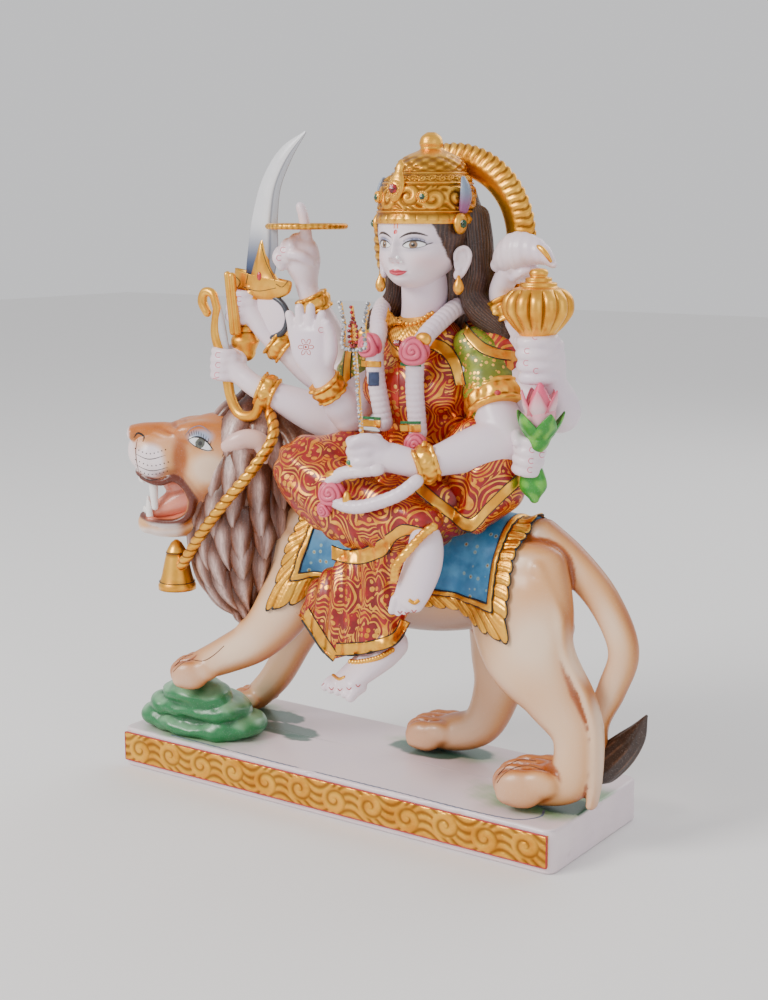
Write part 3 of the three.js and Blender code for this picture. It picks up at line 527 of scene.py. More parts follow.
def put(tree, kind, inputs, **settings):
    """A node with its settings and inputs."""
    made = tree.nodes.new(kind)
    for key, value in settings.items():
        setattr(made, key, value)
    wire(tree, made, inputs)
    return made


def maths(tree, operation, a, b=0.0, c=0.0):
    """A number worked out by a math node."""
    return put(tree, "ShaderNodeMath", {0: a, 1: b, 2: c}, operation=operation).outputs[0]


def vector(tree, operation, a, b=(0, 0, 0), result="Vector"):
    """A vector, or its length, worked out by a vector math node."""
    return put(tree, "ShaderNodeVectorMath", {0: a, 1: b}, operation=operation).outputs[result]


def mixed(tree, share, a, b, mode="MIX"):
    """Colour a going over to colour b by a share."""
    return put(tree, "ShaderNodeMix", {0: share, 6: a, 7: b}, data_type="RGBA", blend_type=mode).outputs[2]


def tinted(tree, colour, tint):
    """A colour multiplied by another."""
    return mixed(tree, 1.0, colour, tint, "MULTIPLY")


def ramp(tree, value, low, high):
    """A smooth step of a value from 0 at low to 1 at high."""
    return put(tree, "ShaderNodeMapRange", {0: value, 1: low, 2: high},
               interpolation_type="SMOOTHSTEP").outputs[0]


def noise(tree, place, scale, detail=3.0, rough=0.55):
    """A cloud of noise at a place. `scale` counts its waves in a metre."""
    inputs = {"Vector": place, "Scale": scale, "Detail": detail, "Roughness": rough}
    return put(tree, "ShaderNodeTexNoise", inputs).outputs[0]


def voronoi(tree, place, scale, randomness=1.0, feature="F1"):
    """The outputs of a Voronoi texture at a place."""
    inputs = {"Vector": place, "Scale": scale, "Randomness": randomness}
    return put(tree, "ShaderNodeTexVoronoi", inputs, feature=feature).outputs


KINDS = {"v": "NodeSocketVector", "f": "NodeSocketFloat", "c": "NodeSocketColor"}


def new_group(name, inputs, outputs):
    """A node group with named sockets: its tree, its input sockets by name, and its output node."""
    tree = bpy.data.node_groups.new(name, "ShaderNodeTree")
    for title, kind, value in inputs:
        socket = tree.interface.new_socket(title, in_out="INPUT", socket_type=KINDS[kind])
        if value is not None:
            socket.default_value = value
    for title, kind in outputs:
        tree.interface.new_socket(title, in_out="OUTPUT", socket_type=KINDS[kind])
    start = tree.nodes.new("NodeGroupInput")
    return tree, start.outputs, tree.nodes.new("NodeGroupOutput")


def use(tree, group, inputs):
    """A group placed in a material, with its inputs."""
    return put(tree, "ShaderNodeGroup", inputs, node_tree=group).outputs


# %% Group: clouds and grain of polished marble
stone_tree, given, out = new_group(
    "marble_clouds",
    [("Place", "v", None), ("Colour", "c", (0.9, 0.86, 0.87, 1)), ("Cloud", "f", 0.5)],
    [("Colour", "c"), ("Roughness", "f"), ("Height", "f")],
)
cloud = noise(stone_tree, given["Place"], 22.0, 4.0)
fine = noise(stone_tree, given["Place"], 900.0, 2.0)
cool = tinted(stone_tree, given["Colour"], (0.93, 0.90, 0.97, 1))
warm = tinted(stone_tree, given["Colour"], (1.0, 0.985, 0.96, 1))
clouded = mixed(stone_tree, ramp(stone_tree, cloud, 0.35, 0.65), cool, warm)
clouded = mixed(stone_tree, given["Cloud"], given["Colour"], clouded)
speckle = maths(stone_tree, "MULTIPLY", ramp(stone_tree, fine, 0.55, 0.75), 0.10)
wire(stone_tree, out, {
    "Colour": mixed(stone_tree, speckle, clouded, (0.74, 0.70, 0.73, 1)),
    "Roughness": maths(stone_tree, "MULTIPLY_ADD", cloud, 0.22, 0.24),
    "Height": maths(stone_tree, "MULTIPLY_ADD", fine, 0.25, maths(stone_tree, "MULTIPLY", cloud, 0.4)),
})

# %% Group: beaten gold leaf over red bole
leaf_tree, given, out = new_group(
    "beaten_leaf",
    [("Place", "v", None), ("Hollow", "f", 0.0), ("Dents", "f", 160.0),
     ("Bright", "c", (1.0, 0.52, 0.07, 1))],
    [("Colour", "c"), ("Roughness", "f"), ("Height", "f")],
)
dents = noise(leaf_tree, given["Place"], given["Dents"], 3.0, 0.6)
crumple = voronoi(leaf_tree, given["Place"], given["Dents"], feature="SMOOTH_F1")[0]
patches = noise(leaf_tree, given["Place"], 60.0, 4.0)
deep = mixed(leaf_tree, ramp(leaf_tree, patches, 0.35, 0.7), given["Bright"], (0.78, 0.34, 0.03, 1))
rubbed = maths(leaf_tree, "MULTIPLY", ramp(leaf_tree, dents, 0.66, 0.8), 0.3)
worn = mixed(leaf_tree, rubbed, deep, (0.45, 0.12, 0.02, 1))
# In the piece's hollows the leaf turns deep brown: painted shade.
sunk = maths(leaf_tree, "MULTIPLY", ramp(leaf_tree, given["Hollow"], 0.05, 0.75), 0.8)
wire(leaf_tree, out, {
    "Colour": mixed(leaf_tree, sunk, worn, (0.20, 0.055, 0.006, 1)),
    "Roughness": maths(leaf_tree, "MULTIPLY_ADD", patches, 0.30, 0.20),
    "Height": maths(leaf_tree, "MULTIPLY_ADD", dents, 0.6, maths(leaf_tree, "MULTIPLY", crumple, 0.8)),
})

# %% [markdown]
# The brocade is a field of cells. In each cell a cluster of dots sits in the middle, and curved strokes
# wind round it like a peacock's feathers. The cell's middle comes from a Voronoi texture; the offset from
# it is laid flat in the surface with the normal, so a polar angle and radius can be read anywhere on the
# cloth.

# %% Group: gold strokes of the brocade
cloth_tree, given, out = new_group(
    "brocade_strokes",
    [("Place", "v", None), ("Normal", "v", None), ("Cells", "f", 34.0), ("Pitch", "f", 0.0042),
     ("Fill", "f", 0.5)],
    [("Gold", "f"), ("Height", "f")],
)
wobble = put(cloth_tree, "ShaderNodeTexNoise", {"Vector": given["Place"], "Scale": 45.0, "Detail": 1.0})
shift = vector(cloth_tree, "SCALE", vector(cloth_tree, "SUBTRACT", wobble.outputs["Color"], (0.5, 0.5, 0.5)))
shift.node.inputs["Scale"].default_value = 0.008
place = vector(cloth_tree, "ADD", given["Place"], shift)
cells = voronoi(cloth_tree, place, given["Cells"], 0.85)
offset = vector(cloth_tree, "SUBTRACT", place, cells["Position"])
level = vector(cloth_tree, "NORMALIZE",
               vector(cloth_tree, "CROSS_PRODUCT", given["Normal"], (0.15, 0.1, 1.0)))
upright = vector(cloth_tree, "CROSS_PRODUCT", given["Normal"], level)
x = vector(cloth_tree, "DOT_PRODUCT", offset, level, "Value")
y = vector(cloth_tree, "DOT_PRODUCT", offset, upright, "Value")
squares = [maths(cloth_tree, "POWER", value, 2.0) for value in (x, y)]
radius = maths(cloth_tree, "SQRT", maths(cloth_tree, "ADD", *squares))
angle = maths(cloth_tree, "ARCTAN2", y, x)
coin = maths(cloth_tree, "ROUND", put(cloth_tree, "ShaderNodeSeparateColor", {0: cells["Color"]}).outputs[0])
hand = maths(cloth_tree, "SUBTRACT", maths(cloth_tree, "MULTIPLY", coin, 2.0), 1.0)
turns = maths(cloth_tree, "DIVIDE", radius, given["Pitch"])
wound = maths(cloth_tree, "MULTIPLY", maths(cloth_tree, "MULTIPLY", angle, hand), 0.3183)
spiral = maths(cloth_tree, "COSINE",
               maths(cloth_tree, "MULTIPLY", maths(cloth_tree, "ADD", turns, wound), 6.2832))
feather_turn = maths(cloth_tree, "MULTIPLY_ADD", angle, 3.0, maths(cloth_tree, "MULTIPLY", turns, 2.2))
feather = maths(cloth_tree, "SINE", feather_turn)
cut = maths(cloth_tree, "MULTIPLY_ADD", feather, 0.50, maths(cloth_tree, "SUBTRACT", 0.55, given["Fill"]))
strokes = ramp(cloth_tree, maths(cloth_tree, "SUBTRACT", spiral, cut), -0.08, 0.10)
spots = voronoi(cloth_tree, place, 185.0, 0.35)[0]
dots = ramp(cloth_tree, maths(cloth_tree, "SUBTRACT", 0.42, spots), -0.02, 0.03)
outside = ramp(cloth_tree, radius, 0.0072, 0.0076)
gold = put(cloth_tree, "ShaderNodeMix", {0: outside, 2: dots, 3: strokes}).outputs[0]
wire(cloth_tree, out, {"Gold": gold, "Height": gold})

# %% Group: strokes of a fine brush, as on hair and fur
hair_tree, given, out = new_group(
    "fine_strokes",
    [("Place", "v", None), ("Stretch", "v", (1, 1, 1)), ("Count", "f", 700.0)],
    [("Streak", "f"), ("Height", "f")],
)
squeezed = vector(hair_tree, "MULTIPLY", given["Place"], given["Stretch"])
streak = noise(hair_tree, squeezed, given["Count"], 3.0, 0.7)
wire(hair_tree, out, {"Streak": ramp(hair_tree, streak, 0.38, 0.62), "Height": streak})


# %% Materials of stone, paint and leaf
def start_finish(name):
    """An empty finish: its material, node tree, shader and the place on the piece."""
    material = bpy.data.materials.new(name)
    material.use_nodes = True
    tree = material.node_tree
    place = tree.nodes.new("ShaderNodeTexCoord").outputs["Object"]
    return material, tree, tree.nodes["Principled BSDF"], place


def bump(tree, shader, height, strength, distance):
    """A height wired to the shader's normal."""
    made = put(tree, "ShaderNodeBump", {"Height": height, "Strength": strength, "Distance": distance})
    wire(tree, shader, {"Normal": made.outputs[0]})


def reading(tree, name, result="Color"):
    """A value kept on the piece's points."""
    return put(tree, "ShaderNodeAttribute", {}, attribute_name=name).outputs[result]


def stone(name, colour=None, cloud=0.6, coat=0.25, strokes=None):
    """Polished or painted marble. Without a colour it shows the brush colours on its points; `strokes` adds
    hair-fine brush lines: (stretch of the pattern, count per metre, darkening)."""
    material, tree, shader, place = start_finish(name)
    colour = reading(tree, "paint") if colour is None else colour
    if strokes is not None:
        stretch, count, darkening = strokes
        lines = use(tree, hair_tree, {"Place": place, "Stretch": stretch, "Count": count})
        dark = mixed(tree, darkening, colour, tinted(tree, colour, (0.35, 0.28, 0.26, 1)))
        colour = mixed(tree, lines["Streak"], dark, colour)
    made = use(tree, stone_tree, {"Place": place, "Colour": colour, "Cloud": cloud})
    wire(tree, shader, {"Base Color": made["Colour"], "Roughness": made["Roughness"], "Coat Weight": coat,
                        "Coat Roughness": 0.18})
    bump(tree, shader, made["Height"], 0.12, 0.0006)
    return material


def gold_leaf(name, dents=160.0, depth=0.5):
    """Beaten leaf; the hollows read from the piece are darkened as painted shade."""
    material, tree, shader, place = start_finish(name)
    made = use(tree, leaf_tree, {"Place": place, "Hollow": reading(tree, "hollow", "Fac"), "Dents": dents})
    wire(tree, shader, {"Base Color": made["Colour"], "Roughness": made["Roughness"], "Metallic": 0.92})
    bump(tree, shader, made["Height"], depth, 0.0007)
    return material


def brocade(name, ground, gold, cells, pitch, fill):
    """Painted cloth: gold strokes on a coloured ground, darker where the piece is hollow as painted shade."""
    material, tree, shader, place = start_finish(name)
    facing = tree.nodes.new("ShaderNodeNewGeometry").outputs["Normal"]
    made = use(tree, cloth_tree, {"Place": place, "Normal": facing, "Cells": cells, "Pitch": pitch,
                                  "Fill": fill})
    tone = noise(tree, place, 120.0, 3.0)
    dim = tinted(tree, ground, (0.55, 0.45, 0.40, 1))
    base = mixed(tree, ramp(tree, tone, 0.3, 0.7), dim, ground)
    # The ground is dimmed in the piece's hollows: painted shade.
    base = mixed(tree, ramp(tree, reading(tree, "hollow", "Fac"), 0.1, 0.9), base, dim)
    leaf = mixed(tree, ramp(tree, tone, 0.35, 0.7), gold, tinted(tree, gold, (0.78, 0.55, 0.3, 1)))
    wire(tree, shader, {
        "Base Color": mixed(tree, made["Gold"], base, leaf),
        "Metallic": maths(tree, "MULTIPLY", made["Gold"], 0.85),
        "Roughness": maths(tree, "MULTIPLY_ADD", tone, 0.15, 0.27),
        "Coat Weight": 0.2,
        "Coat Roughness": 0.25,
    })
    bump(tree, shader, made["Height"], 0.6, 0.0004)
    return material


def line_paint(name, colour):
    """A thin line of brush paint, slightly uneven in tone."""
    material, tree, shader, place = start_finish(name)
    dark = tuple(c * 0.72 for c in colour[:3]) + (1,)
    tone = ramp(tree, noise(tree, place, 260.0, 2.0), 0.35, 0.65)
    wire(tree, shader, {"Base Color": mixed(tree, tone, dark, colour), "Roughness": 0.45})
    return material


SKIN = (0.85, 0.725, 0.785, 1)
WHITE = np.array([0.83, 0.71, 0.74])
bare_marble = stone("bare_marble", SKIN, cloud=0.7)
brushed_marble = stone("brushed_marble", None, cloud=0.4)
leaf = gold_leaf("gold_leaf")
fine_leaf = gold_leaf("fine_gold_leaf", dents=420.0, depth=0.35)
smooth_leaf = gold_leaf("smooth_gold_leaf", dents=90.0, depth=0.22)
black_line = line_paint("black_line", (0.02, 0.017, 0.015, 1))
red_line = line_paint("red_line", (0.55, 0.03, 0.03, 1))
rose_line = line_paint("rose_line", (0.83, 0.16, 0.25, 1))
blue_line = line_paint("blue_grey_line", (0.20, 0.23, 0.33, 1))
print("finishes:", len(bpy.data.materials), "groups:", len(bpy.data.node_groups))

# %% [markdown]
# ## Plinth
# A slab of white marble with eased, slightly knocked edges. Its front face carries a raised band with a
# running scroll, gilded and edged with a thin red line. Green is sprayed round the paws and the rock, and a
# grey-blue line runs along the top near the front edge. The slab is a stack of rounded rectangles.

# %% Plinth slab with sprayed colour
PLINTH_LENGTH, PLINTH_DEPTH, PLINTH_HEIGHT = 435.0, 144.0, 35.0
PLINTH_CORNER, PLINTH_EASE = 9.0, 3.0
SPRAY_GREEN = np.array([0.14, 0.44, 0.12])
SHADOW_GREEN = np.array([0.03, 0.12, 0.08])


def outline(half_x, half_y, corner, count=500):
    """A rounded rectangle, counterclockwise from the middle of its front: straight runs and quarter circles,
    measured out at even steps of length."""
    corner = max(min(corner, half_x, half_y), 0.01)
    arc = np.linspace(0, math.pi / 2, 12)
    runs = [np.array([[0.0, -half_y]])]
    for k, (sx, sy) in enumerate([(1, -1), (1, 1), (-1, 1), (-1, -1)]):
        turn = arc + (k - 1) * math.pi / 2
        middle = np.array([sx * (half_x - corner), sy * (half_y - corner)])
        runs.append(middle + corner * np.stack([np.cos(turn), np.sin(turn)], axis=-1))
    runs.append(np.array([[0.0, -half_y]]))
    line = np.vstack(runs)
    run = np.concatenate([[0], np.cumsum(np.linalg.norm(np.diff(line, axis=0), axis=1))])
    even = np.linspace(0, run[-1], count, endpoint=False)
    return np.stack([np.interp(even, run, line[:, 0]), np.interp(even, run, line[:, 1])], axis=-1)


def plinth_shell():
    """Rounded rectangles one above another, with eased edges, and with flanks and top worn by soft noise."""
    half_x, half_y = PLINTH_LENGTH / 2, PLINTH_DEPTH / 2
    quarter = np.linspace(0, math.pi / 2, 6)
    ease = PLINTH_EASE
    under = [(d, 0.0) for d in np.linspace(half_y - 0.1, ease, 8)]
    low = [(ease * (1 - math.sin(q)), ease * (1 - math.cos(q))) for q in quarter[1:]]
    side = [(0.0, z) for z in np.arange(ease + 2.5, PLINTH_HEIGHT - ease, 2.5)]
    high = [(ease * (1 - math.cos(q)), PLINTH_HEIGHT - ease * (1 - math.sin(q))) for q in quarter]
    top = ([(d, PLINTH_HEIGHT) for d in np.arange(ease + 2.0, half_y - 0.5, 2.0)]
           + [(half_y - 0.05, PLINTH_HEIGHT)])
    rings = []
    for inset, z in under + low + side + high + top:
        flat = outline(half_x - inset, half_y - inset, PLINTH_CORNER - inset)
        rings.append(np.column_stack([flat, np.full(len(flat), z)]))
    shell = tube(np.array(rings))
    points = shell.points.copy()
    level = rise(points[:, 2], 1.0, 3.0) * (1 - rise(points[:, 2], PLINTH_HEIGHT - 1.5, PLINTH_HEIGHT))
    worn = (0.5 + 0.5 * ripple(points, 26, 3)) * 0.7 + np.maximum(ripple(points, 9, 4), 0) ** 2 * 0.9
    middle = points * np.array([1, 1, 0]) / np.array([half_x, half_y, 1])
    points -= unit(middle) * (worn * level)[:, None]
    top_part = rise(points[:, 2], PLINTH_HEIGHT - 0.4, PLINTH_HEIGHT)
    points[:, 2] -= top_part * (0.12 + 0.12 * ripple(points, 40, 5))
    return Shell(points, shell.quads, shell.tris)


SPRAYS = [
    (-150, -36, 66, 46, 1.0), (-150, 32, 40, 30, 0.6), (55, 40, 66, 24, 0.75), (178, -22, 66, 38, 1.0),
    (212, 12, 34, 26, 0.8),
]
# Dark green patches where the paws and the rock stand on the plinth: painted shadow.
PAW_SHADOWS = [
    (40, 30, 40, 19), (70, 44, 30, 16), (200, -18, 26, 20), (-92, 4, 40, 16), (-122, 30, 34, 16),
    (-70, -8, 16, 8),
]


def plinth_paint(shell):
    """White stone with its flanks a little darker as painted shade, green spray that fades out from each
    place, and a painted dark green shadow under the paws.
    """
    points, paint = shell.points, plain(shell, WHITE)
    flank = 1 - rise(points[:, 2], PLINTH_HEIGHT - 2.0, PLINTH_HEIGHT - 0.2)
    # The flanks are painted a little darker than the top: painted shade.
    paint *= 1 - (flank * 0.06 * (0.5 + 0.5 * ripple(points, 30, 9)))[:, None]
    uneven = 0.10 * ripple(points, 26, 11) + 0.04 * ripple(points, 7, 12)
    for x, y, rx, ry, strength in SPRAYS:
        far = np.hypot((points[:, 0] - x) / rx, (points[:, 1] - y) / ry) + uneven
        share = strength * (1 - rise(far, 0.35, 1.1)) * (1 - flank)
        paint += (SPRAY_GREEN - paint) * (share * 0.9)[:, None]
    # Painted shadow under the paws and the rock.
    for x, y, rx, ry in PAW_SHADOWS:
        far = np.hypot((points[:, 0] - x) / rx, (points[:, 1] - y) / ry) + 0.6 * uneven
        paint += (SHADOW_GREEN - paint) * ((1 - rise(far, 0.82, 0.95)) * (1 - flank) * 0.9)[:, None]
    return paint


plinth = plinth_shell()
plinth_piece = piece("plinth", plinth, brushed_marble, paint=plinth_paint(plinth))

# %% [markdown]
# The band's scroll is a height field. A wave runs along the band; in each of its bays a spiral winds in on a
# round boss, and fine leaf veins follow the wave in the corners that are left over.

# %% Gilded band with a running scroll
BAND_HEIGHT, BAND_END, BAND_RELIEF, BAND_SCROLLS = 25.0, -4.5, 1.2, 12
BAND_LONG = PLINTH_LENGTH - 2 * (PLINTH_CORNER + BAND_END)
BAND_MIDDLE = PLINTH_HEIGHT / 2 + 1
BAND_FRONT = -PLINTH_DEPTH / 2 - BAND_RELIEF


def scroll_height(x, z, pitch, half):
    """Height 0 to 1 of the scroll at x along the band and z from its middle. The bays are turned over in
    turn. In a bay the main line is a spiral that opens as it leaves: cos^2(pi (r^0.7 / 0.62 + a / 2 pi)),
    round a boss. Outside the bay's circle leaf veins fan out: cos^2(pi d / 0.62), where d is the distance
    from a running wave."""
    bay = np.floor(x / pitch)
    flip = np.where(bay % 2 > 0, -1.0, 1.0)
    across = (x / pitch - bay - 0.5) * pitch / half
    up = flip * z / half + 0.10
    r = np.hypot(across * 0.86, up)
    a = np.arctan2(up, across)
    spiral = np.cos(math.pi * (r**0.7 / 0.62 + a / (2 * math.pi))) ** 2
    boss = np.clip(1.25 - (r / 0.17) ** 2, 0, 1)
    wave = z / half + 0.95 * np.cos(math.pi * x / pitch)
    veins = np.cos(math.pi * (wave / 0.62 + 0.12 * np.sin(x / pitch * 6.3))) ** 2
    inside = 1 - rise(r, 0.80, 1.0)
    return np.maximum(spiral ** 0.6 * inside, boss) + 0.85 * veins * (1 - inside)


def band_shell(cols=540, rows=34):
    """The band as a plate whose front carries the scroll, and how low each point of it lies, which the leaf
    shows as painted shade.
    """
    x = np.linspace(0, BAND_LONG, cols)[None, :] + np.zeros((rows, 1))
    z = np.linspace(-BAND_HEIGHT / 2, BAND_HEIGHT / 2, rows)[:, None] + np.zeros((1, cols))
    height = scroll_height(x, z, BAND_LONG / BAND_SCROLLS, BAND_HEIGHT / 2 - 1.2)
    edge = np.minimum(np.minimum(x, BAND_LONG - x), BAND_HEIGHT / 2 - np.abs(z))
    rim = rise(edge, 0.0, 1.2)
    lift = BAND_RELIEF * (0.1 + 0.9 * rim * height)
    front = np.stack([x - BAND_LONG / 2, BAND_FRONT - lift * 0.95, z + BAND_MIDDLE], axis=-1)
    back = front.copy()
    back[..., 1] = -PLINTH_DEPTH / 2 + 1.5
    shell = slab(front, back)
    # The low ground between the scrolls is darkened: painted shade.
    dark = np.concatenate([(1 - np.clip(height, 0, 1)).ravel(), np.zeros(rows * cols)])
    return shell, dark


band, band_shade = band_shell()
piece("scroll_band", band, fine_leaf, masks={"hollow": band_shade * 0.62})


def frame_line(half_x, half_z, y, width, proud, sunk=0.8):
    """A flat closed strip round a rectangle on the front face."""
    outer = outline(half_x, half_z, 0.8)
    inner = outline(half_x - width, half_z - width, 0.2)
    section = [(outer, y + sunk), (outer, y - proud), (inner, y - proud), (inner, y + sunk)]
    rings = [np.column_stack([f[:, 0], np.full(len(f), v), f[:, 1] + BAND_MIDDLE]) for f, v in section]
    return turned_out(hoop(np.stack(rings)))


border = frame_line(BAND_LONG / 2 + 0.4, BAND_HEIGHT / 2 + 0.5, BAND_FRONT, 0.85, 0.45)
piece("band_border", border, red_line)

# %% Grey-blue line painted near the top's front edge
LINE_INSET = 4.2
LINE_Y = -PLINTH_DEPTH / 2 + LINE_INSET
FRONT_LINE = [
    [-166, -65, 0], [-60, LINE_Y, 0], [60, LINE_Y, 0], [168, LINE_Y + 0.5, 0], [186, -62, 0], [194, -48, 0],
    [190, -36, 0],
]
line_points = spline(FRONT_LINE, 220)
line_points[:, 1] += 0.25 * np.sin(line_points[:, 0] * 0.9)
line_points[:, 2] = PLINTH_HEIGHT - 0.2
upwards = np.repeat([[0.0, 0.0, 1.0]], len(line_points), axis=0)
piece("plinth_line", ribbon(line_points, upwards, 1.2, 0.22, dip=0.3), blue_line)

# %% [markdown]
# ## The rock under the lion's paw
# Three rounded ledges sprayed green. Their upturned tops are painted pale as painted light, and their hollows
# darker as painted shade.

# %% Rock
ROCK_DARK, ROCK_PALE = np.array([0.012, 0.18, 0.05]), np.array([0.28, 0.56, 0.31])
LEDGES = [
    ((-156, -28, 42), (60, 42, 14), 0), ((-122, -32, 45), (30, 28, 13), 12),
    ((-190, -34, 45), (25, 32, 13), 0), ((-152, -36, 60), (49, 35, 11.5), -4),
    ((-178, -44, 59), (22, 22, 10), 20), ((-126, -44, 60), (22, 20, 9.5), 0),
    ((-152, -46, 73), (36, 26, 10.5), -8), ((-138, -52, 71), (23, 17, 9), 10),
]
rock = fuse([egg(centre, radii, 40, 24, turn) for centre, radii, turn in LEDGES], 1.8, 4)
rock_bumps = 2.2 * ripple(rock.points * [1, 1, 1.2], 46, 21) + 0.7 * ripple(rock.points, 17, 22)
rock = pushed(rock, rock_bumps)
rock.points[:, 2] = np.maximum(rock.points[:, 2], PLINTH_HEIGHT - 1.5)
rock.points[:, 0] = np.maximum(rock.points[:, 0], -PLINTH_LENGTH / 2 + 1)
rock.points[:, 1] = np.maximum(rock.points[:, 1], -PLINTH_DEPTH / 2 + 1)
facing = normals(rock)
# Faces that turn upwards are painted paler: painted light.
lit_tops = rise(facing[:, 2] + 0.35 * ripple(rock.points, 22, 23), 0.30, 1.05) * 0.72
# Hollows between the ledges are painted darker: painted shade.
depth = np.clip(hollow(rock, 14) / 0.9, 0, 1)
rock_paint = ROCK_DARK * (1 - lit_tops[:, None]) + ROCK_PALE * lit_tops[:, None]
rock_paint = rock_paint * (1 - 0.45 * depth[:, None]) * (1 + 0.08 * ripple(rock.points, 9, 25))[:, None]
piece("rock", rock, brushed_marble, paint=np.clip(rock_paint, 0, 1))

# %% [markdown]
# ## The lion's body
# Trunk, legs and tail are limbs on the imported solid's own stations, fused into one skin. The airbrush of
# the real figure is soft orange in every hollow, along the edges of the legs and between the toes, and the
# middle of each form stays creamy white. `hollow` finds those places, so the paint follows the form.

# %% Body, legs and tail
TRUNK = [
    [-92, 2, 212, 42, 34], [-55, 2, 205, 47, 36], [0, 3, 200, 50, 37], [60, 4, 200, 51, 36],
    [110, 4, 206, 46, 36], [150, 4, 212, 38, 33], [170, 5, 216, 24, 24],
]
NEAR_FORE = [
    [-50, -20, 208, 26, 17], [-57, -33, 168, 27, 20], [-80, -45, 133, 20, 18.5], [-112, -52, 113, 16, 16.5],
    [-146, -59, 97, 12, 14],
]
FAR_FORE = [
    [-62, 24, 195, 27, 19], [-78, 30, 150, 22, 18], [-100, 30, 110, 16, 15], [-124, 31, 72, 14, 15],
    [-148, 32, 48, 12, 14],
]
NEAR_HIND = [
    [150, -13, 214, 43, 22], [158, -20, 185, 45, 24], [170, -26, 152, 39, 22], [192, -28, 123, 25, 18],
    [211, -27, 96, 18.5, 16], [207, -27, 62, 18, 17], [184, -29, 52, 16, 18], [166, -31, 48, 12, 16],
]
FAR_HIND = [
    [128, 20, 208, 36, 20], [118, 28, 168, 36, 22], [110, 34, 130, 28, 20], [104, 38, 98, 21, 18],
    [88, 39, 64, 17, 17], [60, 40, 52, 16, 18], [40, 40, 48, 12, 15],
]
TAIL = [
    [160, 6, 236, 18, 15], [185, 8, 221, 15, 14], [215, 7, 194, 13, 13], [234, 4, 158, 12, 12],
    [226, 2, 128, 11.5, 11.5], [213, 4, 98, 10, 10], [210, 9, 66, 10, 9],
]
TOES = 4
PAWS = [
    ((-147, -61, 96), (-0.90, -0.44), 40, 13.6), ((-159, 32, 46), (-1, 0), 37, 11.4),
    ((166, -35, 54), (-0.97, -0.24), 46, 16.4), ((34, 38, 50), (-0.99, -0.14), 43, 14.2),
]


TOE_PITCH = 0.27


def paw(centre, forward, width, size):
    """Toes side by side at the front of a paw, each of three eggs: the toe, its tip and the knuckle behind
    it."""
    ahead = np.array([*forward, 0.0])
    across = np.array([-forward[1], forward[0], 0.0])
    turn = math.degrees(math.atan2(forward[1], forward[0]))
    made = []
    for k in range(TOES):
        off = k - (TOES - 1) / 2
        at = (np.array(centre, float) + across * off * width * TOE_PITCH - ahead * abs(off) ** 1.5 * size
              * 0.22)
        made.append(egg(at, (size * 1.25, size * 0.60, size * 0.95), 18, 12, turn))
        tip = at + ahead * size * 0.55 - np.array([0, 0, size * 0.28])
        made.append(egg(tip, (size * 0.62, size * 0.54, size * 0.56), 14, 10, turn))
        knuckle = at - ahead * size * 0.9 + np.array([0, 0, size * 0.35])
        made.append(egg(knuckle, (size * 1.0, size * 0.52, size * 0.7), 14, 10, turn))
    return made


MUSCLES = [
    egg((-60, -30, 190), (30, 11, 34), 26, 16, -10),
    egg((-82, -46, 134), (20, 14, 17), 24, 14, 25),
    egg((164, -26, 180), (38, 17, 42), 26, 16),
    egg((134, -24, 196), (30, 13, 30), 26, 16),
    egg((-104, -14, 176), (22, 24, 30), 26, 16),
    egg((214, -27, 118), (9, 9, 14), 20, 12),
    egg((184, 3, 170), (8, 8, 12), 20, 12),
]
SHEATH = [
    [176, -24, 222, 6, 9], [196, -26, 190, 5, 9], [203, -27, 160, 4.5, 9], [221, -27, 128, 4.5, 9],
    [229, -27, 104, 4, 9], [229, -27, 62, 4, 8], [226, -27, 44, 4, 8],
]


def toe_gaps(points, spec, wide, middle, radii):
    """Two shares for each point: how near it is to a gap between a paw's toes, `wide` mm to each side, and
    how near to an ellipsoid at the paw's front. `middle` and `radii` are ahead, aside and up."""
    centre, forward, width, _ = spec
    off = points - np.array(centre)
    aside = off @ np.array([-forward[1], forward[0], 0.0])
    front = near(np.stack([off @ np.array([*forward, 0.0]), aside, off[:, 2]], axis=-1), middle, radii)
    return sum(np.exp(-((aside - k * width * TOE_PITCH) / wide) ** 2) for k in (-1, 0, 1)), front


LIMBS = [
    (TRUNK, 48), (NEAR_FORE, 36), (FAR_FORE, 32), (NEAR_HIND, 40), (FAR_HIND, 32), (TAIL, 28), (SHEATH, 20),
]
body_parts = [limb(stations, around) for stations, around in LIMBS]
for spec in PAWS:
    body_parts += paw(*spec)
lion = fuse(body_parts + MUSCLES, 1.85, 5)
for spec in PAWS:
    gap, front = toe_gaps(lion.points, spec, 1.8, (6, 0, 2), (30, 40, 30))
    lion.points[:] -= normals(lion) * (3.6 * gap * front)[:, None]
lion.points[:, 2] = np.maximum(lion.points[:, 2], PLINTH_HEIGHT - 1.0)
print("lion skin:", len(lion.points), "points")

CREAM = np.array([0.74, 0.36, 0.13])
PALE = np.array([0.88, 0.64, 0.44])
TAN = np.array([0.40, 0.085, 0.004])
BROWN = np.array([0.07, 0.012, 0.003])


def lion_paint(shell, wide):
    """Cream all over, pale on faces turned to the sides, and orange where the form is hollow at a wide and
    at a tight scale. Faces turned down get darker orange as painted shade. Both depths are measured against
    their own 97th hundredth."""
    soft, tight = hollow(shell, wide), hollow(shell, 8)
    soft, tight = soft / np.quantile(soft, 0.97), tight / np.quantile(tight, 0.97)
    facing = normals(shell)
    aside = np.abs(facing[:, 1])
    cloudy = ripple(shell.points, 60, 31)
    return layered(plain(shell, CREAM), [
        (PALE, rise(aside, 0.55, 0.97) * (0.66 + 0.36 * cloudy)),
        (TAN, (1 - rise(aside, 0.10, 0.70)) * (0.66 + 0.18 * cloudy)),
        (TAN, rise(soft, 0.0, 0.6) * 0.92),
        (TAN * 0.7, rise(tight, 0.30, 1.0) * 0.8),
        # Faces turned down: painted shade.
        (TAN * 0.9, rise(-facing[:, 2], 0.25, 0.9) * 0.6),
    ])


